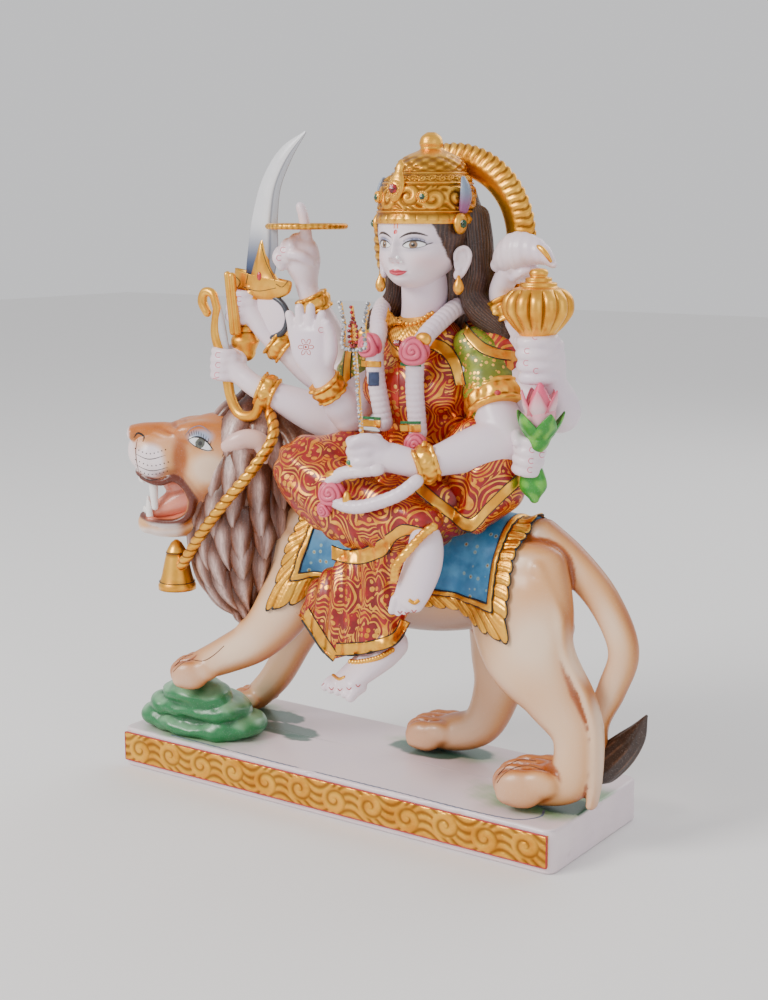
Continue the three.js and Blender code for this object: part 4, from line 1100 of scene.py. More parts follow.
paint = lion_paint(lion, 60)
P = lion.points
for spec in PAWS:
    centre, forward, width, size = spec
    warm_at = np.array(centre) + [forward[0] * 2, forward[1] * 2, 2]
    gap, front = toe_gaps(P, spec, 1.3, (7, 0, 1), (28, 40, 27))
    paint = layered(paint, [
        (TAN * 1.15, near(P, warm_at, (size * 2.8, width * 0.85, size * 2.1)) * 0.62),
        (BROWN, gap * front * 1.6),
    ])
# Grey on the belly's underside between the legs: painted shade.
under = rise(-normals(lion)[:, 2], 0.3, 0.8) * rise(P[:, 0], -60, -20) * (1 - rise(P[:, 0], 110, 150))
sheath = near(P, (230, -28, 90), (9, 12, 64)) + near(P, (212, -28, 160), (14, 12, 40))
paint = layered(paint, [
    ((0.40, 0.34, 0.30), under * rise(P[:, 2], 120, 135) * 0.75),
    (PALE, np.clip(sheath, 0, 1) * 0.9),
])
piece("lion_body", lion, brushed_marble, paint=np.clip(paint, 0, 1))

# %% [markdown]
# The tail ends in a dark tuft: one lobe bent outwards like a flame, with grooves that a brush filled in
# with lighter lines.

# %% Tail tuft
TUFT_AROUND = 60
TUFT = [
    [206, 9, 50, 7, 7], [212, 10, 58, 13, 9.5], [228, 11, 74, 13, 8], [243, 10, 92, 8.5, 5],
    [251.5, 10, 109, 1.2, 1.2],
]
rings = limb_rings(TUFT, TUFT_AROUND, 1.2)
turn = circle(TUFT_AROUND)
run = np.linspace(0, 1, len(rings))[:, None]
groove = (0.55 * np.sin(turn[None] * 11 + run * 5) * np.sin(math.pi * run)
          + 0.25 * np.sin(turn[None] * 23 - run * 4))
tuft = tube(swollen(rings, 1 + 0.055 * groove))
light = with_poles(rise(groove, 0.35, 0.75))
tuft_paint = two_tone(tuft, (0.045, 0.022, 0.014), (0.24, 0.12, 0.07), light * 0.7)
dark_brush = stone("dark_brush", None, cloud=0.2, strokes=((1.0, 1.0, 0.35), 600.0, 0.5))
piece("tail_tuft", tuft, dark_brush, paint=tuft_paint)

# %% [markdown]
# ## The lion's head
# The head has its own frame: F forward, S to its left, Z up, turned towards the viewer. Muzzle pads, brows,
# cheeks and jaw are eggs fused with the skull, and the mouth is painted by its place in that frame.

# %% Head frame and forms
HEAD_ROOT = np.array([-106.0, -16.0, 0.0])
HEAD_TURN = math.pi + math.radians(42.7)
FORWARD = np.array([math.cos(HEAD_TURN), math.sin(HEAD_TURN), 0.0])
LEFT = np.array([-math.sin(HEAD_TURN), math.cos(HEAD_TURN), 0.0])


def to_head(points):
    """Points in the head's frame: ahead of its root, to its left, and the height."""
    off = points - HEAD_ROOT
    return np.stack([off @ FORWARD, off @ LEFT, points[:, 2]], axis=-1)


def from_head(local):
    """Points of the head's frame, brought into the carving's."""
    return HEAD_ROOT + local[:, :1] * FORWARD + local[:, 1:2] * LEFT + local[:, 2:3] * np.array([0, 0, 1.0])


def in_head(shell):
    """A shell built in the head's frame, brought into the carving's."""
    return Shell(from_head(shell.points), shell.quads, shell.tris)


def both(make):
    """A form and its mirror image: the side S is handed to the maker as +1 and -1."""
    return [make(1), make(-1)]


SKULL = [
    [-8, 0, 288, 29, 29], [15, 0, 287, 32, 33], [38, 0, 288, 31, 33], [58, 0, 289, 25, 28],
    [78, 0, 289, 21.5, 22.5], [91, 0, 287.5, 19.5, 17],
]
JAW = [
    [26, 0, 248, 26, 25], [50, 0, 230, 16, 21], [70, 0, 223.5, 11.0, 18], [84, 0, 223, 9.2, 15.5],
    [93, 0, 226.5, 8.4, 11],
]
NOSE = [[74, 0, 304, 7, 11], [92, 0, 304.5, 7, 12], [102, 0, 304.5, 5.5, 10.5]]
LIP_FRONT = [
    [95, -13, 268, 2.6, 2.4], [98.5, -6, 269, 2.6, 2.4], [99.5, 0, 270.5, 2.6, 2.4],
    [98.5, 6, 269, 2.6, 2.4], [95, 13, 268, 2.6, 2.4],
]
UPPER_LIP = [
    (96, 13, 267.5, 3.0, 2.8), (88, 17.5, 264.5, 3.6, 3.2), (80, 20, 263.5, 3.8, 3.4),
    (70, 21.5, 267, 3.8, 3.4), (60, 23, 260, 4.2, 3.8), (54.5, 23, 248, 4.4, 4.0),
]
LOWER_LIP = [
    (54.5, 23, 248, 4.4, 4.0), (57, 22, 237, 4.2, 4), (66, 20, 230, 3.8, 3.6), (79, 16.5, 228.5, 3.4, 3.2),
    (91, 11, 231, 3.2, 3), (96, 0, 232.5, 3.0, 2.8),
]


def on_side(path, s):
    """A path through the head's frame, on the side s of it."""
    return [(f, s * side, *rest) for f, side, *rest in path]


def egg_pairs(table):
    """Eggs in mirrored pairs. A row of the table has the left one's middle, its size and its two mesh
    counts."""
    pairs = [both(lambda s: egg((f, s * side, z), size, around, rows)) for (f, side, z), size, around,
             rows in table]
    return sum(pairs, [])


HEAD_FORMS = [
    ((87, 9, 283), (14, 13.5, 19), 30, 20), ((72, 13, 282), (22, 14, 15), 30, 20),
    ((40, 21, 272), (25, 14, 27), 30, 20), ((46, 18, 306), (24, 12, 9), 26, 16),
    ((42, 18, 248), (13, 9, 20), 26, 16),
]
SMALL_FORMS = [((47.5, 23, 298), (10, 7.5, 7.6), 26, 16), ((103.5, 6.5, 303), (4.5, 5, 5.5), 20, 12)]
big_forms = [limb(SKULL, 48), limb(JAW, 36)]
big_forms += egg_pairs(HEAD_FORMS)
smooth_head = fuse([in_head(s) for s in big_forms], 1.4, 24)
head_parts = [limb(NOSE, 32), egg((90, 0, 224), (10.5, 12.5, 8.0), 26, 14),
              limb(LIP_FRONT, 20, flat=(0, 0, 1))]
head_parts += both(lambda s: limb(on_side(UPPER_LIP, s), 22, flat=(0, 0, 1)))
head_parts += both(lambda s: limb(on_side(LOWER_LIP, s), 22, flat=(0, 0, 1)))
head_parts += egg_pairs(SMALL_FORMS)
head = fuse([smooth_head] + [in_head(s) for s in head_parts], 1.25, 4)
local = to_head(head.points)
F, S, Z = local.T
out = normals(head)
ahead = out @ FORWARD
wrinkles = np.sin((Z - 0.35 * F + 1.5 * ripple(local, 30, 44)) * 0.85)
wrinkles = wrinkles * near(local, (72, 0, 308), (22, 32, 14)) * 0.55
split = -1.5 * np.exp(-(S / 1.1) ** 2) * rise(F, 88, 96) * rise(Z, 268, 273) * (1 - rise(Z, 296, 301))
head = pushed(head, wrinkles + split)
print("head skin:", len(head.points), "points")

# %% Head paint
FOREHEAD = np.array([0.56, 0.15, 0.012])
LIP = np.array([0.12, 0.018, 0.004])
UPPER_LINE = [
    (102, 1, 268), (98, 13, 267), (88, 19, 264), (80, 22, 263), (70, 24, 267), (60, 26, 260), (54, 26, 248),
]
LOWER_LINE = [(54, 26, 248), (57, 25, 237), (66, 22.5, 230), (79, 18.5, 228.5), (91, 12, 232), (99, 1, 235)]
MOUTH_CORNER = UPPER_LINE[3:] + LOWER_LINE[1:3]


def along_path(path, wide):
    """1 on a path through the head's frame, falling to 0 at `wide` mm from it."""
    line = spline(path, 60)
    far = np.min(np.linalg.norm(local[:, None] - line[None], axis=2), axis=1)
    return 1 - rise(far, wide * 0.6, wide)


paint = layered(lion_paint(head, 50), [
    ((0.70, 0.29, 0.06), 0.50 + 0.3 * ripple(head.points, 30, 46)),
    (FOREHEAD, rise(Z, 284, 306) * (0.72 + 0.25 * ripple(head.points, 22, 41)) * rise(F, -10, 20)),
    (TAN * 0.8, rise(-wrinkles, 0.05, 0.3) * 0.95),
])
for side in (1, -1):
    paint = layered(paint, [
        (PALE, near(local, (41, side * 30, 276), (20, 22, 17)) * 1.2),
        (TAN * 0.9, near(local, (64, side * 24, 284), (10, 14, 26)) * 0.9),
        (TAN, near(local, (42, side * 30, 248), (16, 14, 20)) * 0.7),
        ((0.42, 0.50, 0.66), near(local, (47, side * 28, 302), (14, 10, 8.5))),
        ((0.92, 0.80, 0.82), near(local, (88, side * 18, 281), (17, 15, 18)) * 2.0),
    ])
paint = layered(paint, [
    ((0.90, 0.76, 0.77), rise(ahead, 0.45, 0.8) * rise(F, 92, 98) * rise(Z, 268, 273) * 0.95),
    (FOREHEAD, rise(Z, 300, 308) * rise(F, 60, 80) * (1 - rise(ahead, 0.5, 0.8)) * 0.8),
])
for s in (1, -1):
    paint = layered(paint, [
        (TAN * 0.8, along_path(on_side(MOUTH_CORNER, s), 11) * 0.5),
        (LIP, along_path(on_side(UPPER_LINE, s), 4.8)),
        (LIP, along_path(on_side(LOWER_LINE, s), 4.6)),
    ])
inside = ((1 - rise(np.abs(S), 14, 18)) * rise(F, 26, 36) * (1 - rise(F, 91, 95))
          * (1 - rise(np.abs(Z - 247), 15, 19)))
chin_in = rise(-out[:, 2], -0.2, 0.5) * (1 - rise(Z, 226, 230)) * rise(F, 60, 70)
paint = layered(paint, [((0.72, 0.22, 0.13), inside * 0.95), ((0.90, 0.83, 0.80), chin_in * 0.8)])
piece("lion_head", head, brushed_marble, paint=np.clip(paint, 0, 1))

# %% Tongue, fangs and mouth
mouth_paint = stone("mouth_paint", (0.80, 0.28, 0.18, 1), cloud=0.8, coat=0.5)
TONGUE = [[36, 0, 249, 17, 20], [60, 0, 246, 15, 17], [75, 0, 240, 10, 13], [88, 0, 234.5, 5.5, 8.5]]
tongue_parts = [limb(TONGUE, 28), egg((48, 0, 253), (15, 19, 14), 26, 16),
                egg((62, 0, 259), (17, 13, 10), 26, 16)]
piece("lion_tongue", in_head(fuse(tongue_parts, 1.2, 4)), mouth_paint)
fangs = []
for s in (1, -1):
    fangs.append(limb([[87, s * 12, 270, 4.4, 4.4], [86.5, s * 12, 255, 3.6, 3.6],
                       [86, s * 11.5, 241, 2.8, 2.8]], 18))
    fangs.append(limb([[90, s * 10, 230, 3.2, 3.2], [91, s * 10, 239, 2.6, 2.6],
                       [91.5, s * 10, 246, 1.3, 1.3]], 16))
TOOTH_ROWS = [(97, 3.4, 264), (94, 3.2, 237)]
front_teeth = [(f - abs(k) * 0.9, k * pitch, z) for f, pitch, z in TOOTH_ROWS for k in (-2, -1, 0, 1, 2)]
fangs.append(bead_row(front_teeth, np.array([2.2, 1.7, 3.4]), 10, 8))
white_marble = stone("white_teeth", (0.93, 0.90, 0.88, 1), cloud=0.3, coat=0.4)
piece("lion_teeth", in_head(stack(fangs)), white_marble)

# %% [markdown]
# ## The mane
# The mane is a thick ruff. Its locks are carved as overlapping leaves that hang in rows, each with a pale
# middle and brown edges. All locks are one formula on the ruff's own skin: a lock covers a patch of it, its
# half width swells and then runs to a point, and its height is an arch across that half width.

# %% Ruff and locks
MANE = [
    [-101, -7, 325, 21, 24], [-106, -13, 304, 34, 36], [-109, -20, 266, 41, 41], [-112, -26, 230, 44, 42],
    [-112, -30, 197, 40, 37], [-107, -31, 168, 27, 26], [-102, -31, 152, 11, 12],
]
MANE_BROWN = (0.20, 0.075, 0.03)
mane_brush = stone("mane_brush", None, cloud=0.2, strokes=((1.0, 1.0, 0.16), 620.0, 0.5))
mane_rings = limb_rings(MANE, 96, 2.0)
ruff = tube(mane_rings)
strand = np.sin(np.arctan2(ruff.points[:, 1] + 24, ruff.points[:, 0] + 108) * 34
                + 2.2 * ripple(ruff.points, 45, 51))
ruff = pushed(ruff, 0.45 * strand + 0.8 * ripple(ruff.points, 24, 52))
ruff_paint = two_tone(ruff, MANE_BROWN, (0.45, 0.26, 0.17), rise(strand, 0.3, 0.95) * 0.35)
piece("mane_ruff", ruff, mane_brush, paint=ruff_paint)


def on_tube(rings, u, turn):
    """Places on a stack of rings: u from 0 to 1 along it and turn in whole turns round it, read between the
    four nearest points in proportion to their nearness."""
    rows, around, _ = rings.shape
    i = np.clip(u, 0, 1) * (rows - 1.001)
    j = (turn % 1.0) * around
    i0, j0 = i.astype(int), j.astype(int) % around
    fi, fj = (i - i0)[..., None], (j - np.floor(j))[..., None]
    j1 = (j0 + 1) % around
    low = rings[i0, j0] * (1 - fj) + rings[i0, j1] * fj
    high = rings[i0 + 1, j0] * (1 - fj) + rings[i0 + 1, j1] * fj
    return low * (1 - fi) + high * fi


LOCK_ROWS = [(0.03, 8), (0.13, 11), (0.25, 13), (0.37, 14), (0.49, 14), (0.61, 13), (0.73, 11), (0.83, 8)]
LOCK_SPAN = 0.25
LOCK_HIGH = 6.0
LOCK_LONG, LOCK_ACROSS = 17, 11
LOCK_PALE = np.array([0.72, 0.51, 0.46])


def mane_locks(rings):
    """Every lock at once. s runs 0 to 1 along a lock and t from -1 to 1 across it. Half width =
    sin(pi (0.12 + 0.88 s)^0.8)^0.75, height = high (1 - t^2)^0.6 sin(pi (0.1 + 0.85 s))^0.6 (0.5 + 0.75 s),
    with soft ribs 1 + 0.1 cos(9 t + 3 s), and the whole lock leans sideways by bend s^2."""
    chance = np.random.default_rng(7)
    starts, turns, wide, bend, long = [], [], [], [], []
    for row, (start, count) in enumerate(LOCK_ROWS):
        place = (np.arange(count) + 0.5 * (row % 2)) / count + chance.uniform(-0.012, 0.012, count)
        starts.append(start + chance.uniform(-0.02, 0.02, count))
        turns.append(place)
        wide.append(np.full(count, 0.56 / count) * chance.uniform(0.92, 1.15, count))
        bend.append(chance.uniform(-0.03, 0.005, count))
        long.append(LOCK_SPAN * chance.uniform(0.85, 1.15, count))
    start, turn, wide, bend, long = (np.concatenate(v)[:, None, None]
                                     for v in (starts, turns, wide, bend, long))
    s = np.linspace(0, 1, LOCK_LONG)[None, :, None]
    t = np.linspace(-1, 1, LOCK_ACROSS)[None, None, :]
    half = np.sin(math.pi * (0.12 + 0.88 * s) ** 0.8) ** 0.75
    u = start + long * s + 0 * t
    v = turn + wide * half * t + bend * s**2
    base = on_tube(rings, u, v)
    step = 0.01
    across = on_tube(rings, u, v + step) - on_tube(rings, u, v - step)
    down = on_tube(rings, np.minimum(u + step, 1), v) - on_tube(rings, np.maximum(u - step, 0), v)
    out = unit(np.cross(across, down))
    arch = np.clip(1 - t**2, 0, 1) ** 0.6
    rib = 1 + 0.10 * np.cos(t * 9 + s * 3)
    height = LOCK_HIGH * arch * np.sin(math.pi * (0.1 + 0.85 * s)) ** 0.6 * (0.5 + 0.75 * s) * rib
    top = base + out * (height + 0.3)[..., None]
    under = base - out * 2.5
    pale = rise(1 - np.abs(t), 0.34, 1.0) * rise(s, 0.20, 0.50) * (1 - 0.75 * rise(s, 0.82, 1.0))
    fine = 0.75 + 0.25 * np.cos(t * 26 + 2 * s)
    lock_brown = (np.array([0.085, 0.019, 0.005]) + np.array([0.12, 0.042, 0.018])
                  * (fine * rise(s, 0.0, 0.6))[..., None])
    colour = lock_brown * (1 - pale[..., None]) + LOCK_PALE * (pale * (0.7 + 0.3 * fine))[..., None]
    colour = colour + lock_brown * (pale * (0.3 - 0.3 * fine))[..., None]
    one = np.concatenate([colour[0].reshape(-1, 3), np.repeat([MANE_BROWN], LOCK_LONG * LOCK_ACROSS, axis=0)])
    shells = [slab(front[:, ::-1], back[:, ::-1]) for front, back in zip(top, under)]
    return stack(shells), np.tile(one, (len(shells), 1))


locks, lock_paint = mane_locks(mane_rings)
piece("mane_locks", locks, mane_brush, paint=lock_paint)

# %% [markdown]
# A crest of brown hair runs from the mane to the goddess's knee, and each ear is a rolled flap of pale stone
# with its hollow darkened by a patch of painted shade.

# %% Crest and ears
CREST = [[-102, -2, 318, 22, 22], [-78, 0, 298, 24, 26], [-52, 0, 268, 26, 30], [-34, 2, 246, 20, 26]]
crest = fuse([limb(CREST, 32), egg((-112, -12, 318), (26, 26, 15), 32, 20)], 1.6, 5)
strand = np.sin((crest.points[:, 1] * 0.9 + crest.points[:, 0] * 0.25 + 3 * ripple(crest.points, 40, 53))
                * 1.1)
crest = pushed(crest, 0.4 * strand)
crest_paint = two_tone(crest, (0.24, 0.09, 0.04), (0.46, 0.26, 0.17), rise(strand, 0.2, 0.9) * 0.5)
piece("mane_crest", crest, mane_brush, paint=crest_paint)

EAR = [
    [26, 33, 294, 5.5], [18, 36, 298, 8.0], [8, 38, 301, 8.4], [-1, 39, 298.5, 8.0], [-5, 39, 290, 6.6],
    [-4, 38, 280, 4.0],
]
ear_paint = stone("ear_stone", (0.84, 0.56, 0.48, 1), cloud=0.8)
ears = both(lambda s: in_head(limb([[f, s * side, z, r, r * 0.8] for f, side, z, r in EAR], 26, 1.5)))
piece("lion_ears", stack(ears), ear_paint)
# A dark patch in each ear's hollow: painted shade.
hollows = both(lambda s: in_head(egg((8, s * 36.5, 288), (10, 5.5, 11), 24, 14)))
piece("ear_hollows", stack(hollows), stone("ear_hollow", (0.22, 0.09, 0.06, 1), cloud=0.5, coat=0.0))

# %% [markdown]
# ## Cord and bell
# The cord is two strands laid round each other: its radius swells twice in each turn of the lay.

# %% Twisted cord and turned bell
def twisted(path, radius, lay, strands=2, around=22, step=0.8, swell=0.22):
    """A laid cord, with the run along it in mm: its radius times
    1 - swell / 2 + swell |cos(strands / 2 (turn - 2 pi run / lay))|."""
    stations = [[*p, radius, radius] for p in path]
    length = np.linalg.norm(np.diff(spline(stations, 200)[:, :3], axis=0), axis=1).sum()
    rings = limb_rings(stations, around, step, flat=(0.3, 0.1, 0.95))
    run = np.linspace(0, length, len(rings))[:, None]
    lobes = np.abs(np.cos(strands / 2 * (circle(around) - 2 * math.pi * run / lay)))
    # The second value darkens the grooves between the strands: painted shade.
    return tube(swollen(rings, 1 - swell * 0.5 + swell * lobes)), with_poles(1 - rise(lobes, 0.05, 0.5))


BELL_CORD = [
    [-78, -34, 330], [-58, -52, 306], [-66, -69, 280], [-90, -75, 252], [-113, -76, 226], [-137, -71, 199],
    [-146, -68, 190],
]
cord, cord_shade = twisted(BELL_CORD, 4.4, 17.0)
piece("bell_cord", cord, leaf, masks={"hollow": cord_shade})

BELL_FOOT = (-157, -62, 168)
BELL_PROFILE = [
    (0.1, 3), (12.5, 2), (14.5, -0.6), (16, -0.8), (16.2, 3.2), (15.0, 5.2), (14.4, 7.0), (12.9, 12),
    (11.2, 20), (9.6, 27), (8.6, 31), (8.9, 31.6), (8.4, 32.6), (7.2, 35), (4.6, 39.5), (1.6, 42),
    (0.1, 42.3),
]
bell = lathe(BELL_PROFILE, 64, BELL_FOOT)
height = bell.points[:, 2] - BELL_FOOT[2]
lines = np.exp(-((height - 6.2) / 0.7) ** 2) + np.exp(-((height - 31.2) / 0.7) ** 2)
piece("bell", bell, smooth_leaf, masks={"hollow": np.clip(lines, 0, 1)})
BELL_LINES = [(15.2, 6.0), (8.9, 31.2)]
LINE_SECTION = [(0.35, 0), (0, 0.35), (-0.35, 0), (0, -0.35)]
for k, (radius, high) in enumerate(BELL_LINES):
    turn = np.linspace(0, 2 * math.pi, 90, endpoint=False)
    ring = np.stack([np.cos(turn) * radius, np.sin(turn) * radius, np.full(90, high)],
                    axis=-1) + np.array(BELL_FOOT)
    outwards = unit(ring - np.array(BELL_FOOT) - [0, 0, high])
    rings = np.stack([ring + (outwards * a + np.array([0, 0, b])) for a, b in LINE_SECTION])
    piece(f"bell_line_{k}", hoop(rings), black_line)

# %% [markdown]
# ## The lion's eyes and whiskers
# These are painted on, so they are thin strips and patches of paint laid on the skin. The places are named
# in the head's frame and found by rays from its side, so both sides of the head get the same brushwork.

# %% Brushwork on the head
head_tree = tree_of(head)


def cheek_hits(f, z, side, reach):
    """Rays on the head from its side, 70 mm off its middle, through places F, Z."""
    start = from_head(np.column_stack([f, np.full(len(f), side * 70.0), z]))
    return [head_tree.ray_cast(Vector(p), Vector(-LEFT * side), reach) for p in start]


def on_cheek(path, side, count):
    """Places on the head's skin, and the normals there, for a curve of F, Z points seen from its side."""
    line = spline([[f, 0, z] for f, z in path], count)
    kept = [hit for hit in cheek_hits(line[:, 0], line[:, 2], side, 72) if hit[0] is not None]
    return np.array([hit[0] for hit in kept]), np.array([hit[1] for hit in kept])


def brushed(path, side, width, count=30):
    """A line of paint on the head's side, pointed at both ends."""
    return ribbon(*on_cheek(path, side, count), width, 0.3, taper=1.0, dip=0.35)


def cheek_patch(middle, half_f, half_z, side, lift, power=0.8, tilt=0.0, rings=7, around=40):
    """A closed lens of paint: an oval patch whose rings shrink to its middle; it is `lift` mm proud."""
    turn = circle(around)
    shares = np.linspace(1, 0.05, rings)
    f = half_f * np.cos(turn)
    z = half_z * np.sign(np.sin(turn)) * np.abs(np.sin(turn)) ** power + tilt * f
    hits = sum([cheek_hits(middle[0] + f * k, middle[1] + z * k, side, 90) for k in shares], [])
    base = np.array([h[0] if h[0] is not None else (0, 0, 0) for h in hits]).reshape(rings, around, 3)
    out = np.array([h[1] if h[1] is not None else (0, 0, 1) for h in hits]).reshape(rings, around, 3)
    top = base + out * (lift * np.sqrt(np.clip(1 - shares**2, 0.02, 1)))[:, None, None]
    under = base[::-1] - out[::-1] * 0.8
    return tube(np.concatenate([top[::-1], under[::-1]]) if side > 0 else np.concatenate([under, top]))


WHISKERS = [
    [(101, 287), (90, 283.5), (76, 287)], [(101, 277.5), (88, 273.5), (74, 277)],
    [(100, 268.5), (88, 265.5), (75, 269)],
]
UPPER_LID = [(57.6, 299.6), (53.5, 301.8), (47.8, 302.0), (42, 298.4), (36.6, 291.4)]
LOWER_LID = [(57.6, 299.6), (52.8, 295.4), (47, 292.6), (41.5, 291.2), (36.6, 291.4)]
NOSTRIL = [(102, 300), (98.5, 304), (93.5, 301), (94.5, 297)]
MUZZLE_EDGE = [(99, 299), (100.5, 290), (100, 280), (98.5, 271)]
BROW_LINE = [(60, 303), (54, 309.5), (46, 311), (38, 305)]
LASHES = 10
lines, browns, greys = [], [], []
whites, irises, pupils = [], [], []
for side in (1, -1):
    for path in WHISKERS:
        lines.append(brushed(path, side, 0.38))
        dots, _ = on_cheek([(f, z + 4.4) for f, z in path], side, 9)
        lines.append(bead_row(dots, 0.55, 8, 5))
    browns.append(brushed(MUZZLE_EDGE, side, 0.6))
    lines += [brushed(NOSTRIL, side, 1.0), brushed(UPPER_LID, side, 1.0), brushed(LOWER_LID, side, 0.6)]
    whites.append(cheek_patch((47.3, 296.6), 9.2, 4.5, side, 0.35, tilt=0.40))
    irises.append(cheek_patch((47.5, 297.0), 4.5, 4.4, side, 0.62, power=1.0))
    pupils.append(cheek_patch((47.5, 297.1), 2.4, 2.4, side, 0.85, power=1.0))
    for share in (np.arange(LASHES) + 0.5) / LASHES:
        f = 56.5 - share * 18
        z = 301.5 + 3.6 * math.sin(math.pi * share**0.8) - 7.5 * share**1.8
        lines.append(brushed([(f, z), (f + (0.5 - share) * 2.4, z + 4.0)], side, 0.26, 8))
    greys.append(brushed(BROW_LINE, side, 0.5))
piece("lion_lines", stack(lines), black_line)
piece("lion_brown_lines", stack(browns), line_paint("brown_line", (0.16, 0.05, 0.02, 1)))
piece("lion_lid_lines", stack(greys), blue_line)
piece("lion_eye_whites", stack(whites), stone("eye_white", (0.86, 0.86, 0.88, 1), cloud=0.2, coat=0.6))
piece("lion_irises", stack(irises), stone("grey_iris", (0.085, 0.095, 0.070, 1), cloud=0.9, coat=0.8))
piece("lion_pupils", stack(pupils), stone("dark_pupil", (0.012, 0.012, 0.012, 1), cloud=0.1, coat=0.8))

# %% [markdown]
# ## Painted cloth
# The saree is deep red with brushed gold strokes, the sleeves are green and the saddle cloth is blue, both
# with small gold dots. Dotted cloth is one more shared group: a dot and a dark ring round each middle of a
# nearly regular Voronoi texture.

# %% Group: dotted cloth, and the cloth finishes
dot_tree, given, out = new_group(
    "dotted_cloth",
    [("Place", "v", None), ("Count", "f", 150.0), ("Dot", "f", 0.24), ("Ring", "f", 0.34)],
    [("Dot", "f"), ("Ring", "f")],
)
spots = voronoi(dot_tree, given["Place"], given["Count"], 0.55)[0]
dot, dot_and_ring = (ramp(dot_tree, maths(dot_tree, "SUBTRACT", given[name], spots), -0.03, 0.03)
                     for name in ("Dot", "Ring"))
wire(dot_tree, out, {"Dot": dot, "Ring": maths(dot_tree, "SUBTRACT", dot_and_ring, dot)})


def dotted(name, ground, ring, gold, count, size, deep=(0.5, 0.5, 0.5, 1)):
    """Painted cloth with gold dots in dark rings; the ground is uneven, as a brush leaves it, and dimmed in
    the piece's hollows as painted shade.
    """
    material, tree, shader, place = start_finish(name)
    made = use(tree, dot_tree, {"Place": place, "Count": count, "Dot": size, "Ring": size + 0.10})
    tone = noise(tree, place, 70.0, 4.0)
    base = mixed(tree, ramp(tree, tone, 0.35, 0.68), tinted(tree, ground, deep), ground)
    # The ground is dimmed to grey in the piece's hollows: painted shade.
    dim = tinted(tree, base, (0.4, 0.4, 0.42, 1))
    base = mixed(tree, ramp(tree, reading(tree, "hollow", "Fac"), 0.1, 0.9), base, dim)
    base = mixed(tree, maths(tree, "MULTIPLY", made["Ring"], 0.75), base, ring)
    wire(tree, shader, {
        "Base Color": mixed(tree, made["Dot"], base, gold),
        "Metallic": maths(tree, "MULTIPLY", made["Dot"], 0.8),
        "Roughness": maths(tree, "MULTIPLY_ADD", tone, 0.3, 0.25),
    })
    bump(tree, shader, made["Dot"], 0.5, 0.0003)
    return material


CLOTH_GOLD = (0.95, 0.44, 0.06, 1)
GREEN_GOLD, BLUE_GOLD, BLUE_DEEP = (0.92, 0.55, 0.12, 1), (0.42, 0.24, 0.05, 1), (0.45, 0.62, 0.72, 1)
red_brocade = brocade("red_brocade", (0.36, 0.002, 0.004, 1), CLOTH_GOLD, cells=38.0, pitch=0.0038, fill=0.34)
striped_cape = brocade("striped_cape", (0.50, 0.02, 0.01, 1), CLOTH_GOLD, cells=9.0, pitch=0.0046, fill=0.45)
green_cloth = dotted("green_cloth", (0.28, 0.34, 0.03, 1), (0.10, 0.18, 0.01, 1), GREEN_GOLD, 230.0, 0.33)
blue_cloth = dotted("blue_cloth", (0.08, 0.32, 0.58, 1), (0.32, 0.48, 0.42, 1), BLUE_GOLD, 125.0, 0.12,
                    BLUE_DEEP)

# %% [markdown]
# ## The saddle cloth
# The cloth lies close on the lion's back. Rays are shot from the trunk's axis outwards through the lion's own
# skin, and the cloth is the sheet of places that they hit, lifted a little. Its outline is drawn in the same
# two directions: along the trunk, and down each flank.

# %% Rays from the lion's axis
lion_tree = tree_of(lion)
AXIS_LOW, AXIS_HIGH = np.array([-92.0, 2.0, 205.0]), np.array([170.0, 5.0, 205.0])


def on_flank(along, down):
    """Places on the lion's skin: `along` is x in mm, `down` is the angle in degrees from straight up,
    positive on the near side. The ray leaves the trunk's axis at that x and keeps inside that upright
    plane."""
    shape = np.broadcast(along, down).shape
    x, a = np.broadcast_to(along, shape).ravel(), np.radians(np.broadcast_to(down, shape)).ravel()
    share = (x - AXIS_LOW[0]) / (AXIS_HIGH[0] - AXIS_LOW[0])
    start = AXIS_LOW + (AXIS_HIGH - AXIS_LOW) * share[:, None]
    way = np.stack([0 * a, -np.sin(a), np.cos(a)], axis=-1)
    far = [lion_tree.ray_cast(Vector(s + w * 110), Vector(-w), 110) for s, w in zip(start, way)]
    points = np.array([f[0] if f[0] is not None else s + w * 50 for f, s, w in zip(far, start, way)])
    return points.reshape(*shape, 3)


CLOTH_ACROSS, CLOTH_ROUND = 223.0, 235.0
CLOTH_SPARE = 12.0
CLOTH_LEFT, CLOTH_RIGHT = (-44.0, -62.0), (156.0, 161.0)
CLOTH_ROWS, SPARE_ROWS = 132, 7


def cloth_sheet(rows, cols, lift, spare):
    """The sheet over the back: u runs from the left edge to the right one, v from the lower edge on the
    near flank over the back to the far one. Each place is read from rays, softened, and lifted by `lift`
    mm. The sheet is `spare` mm wider all round than the cloth, so that borders can be laid on its edge. The
    ends of the left and right edges, on the back and at the lower edge, are CLOTH_LEFT and CLOTH_RIGHT."""
    u = np.linspace(0, 1, cols)[None, :]
    v = np.linspace(0, 1, rows)[:, None]
    drop = np.abs(v * 2 - 1)
    x0 = CLOTH_LEFT[0] + (CLOTH_LEFT[1] - CLOTH_LEFT[0]) * drop**1.5 - spare
    x1 = CLOTH_RIGHT[0] + (CLOTH_RIGHT[1] - CLOTH_RIGHT[0]) * drop**1.5 + spare
    x = x0 + (x1 - x0) * u
    angle = (1 - 2 * v) * (125 + 2 * np.sin(math.pi * u) + spare * 0.9)
    points = on_flank(x, angle + 0 * u)
    flat = open_sheet(points)
    smooth = soften(flat, flat.points, 6)
    middle = np.stack([smooth[:, 0], np.full(len(smooth), 3.0), np.full(len(smooth), 205.0)], axis=-1)
    out = unit(smooth - middle)
    return (smooth + out * lift).reshape(rows, cols, 3), out.reshape(rows, cols, 3)


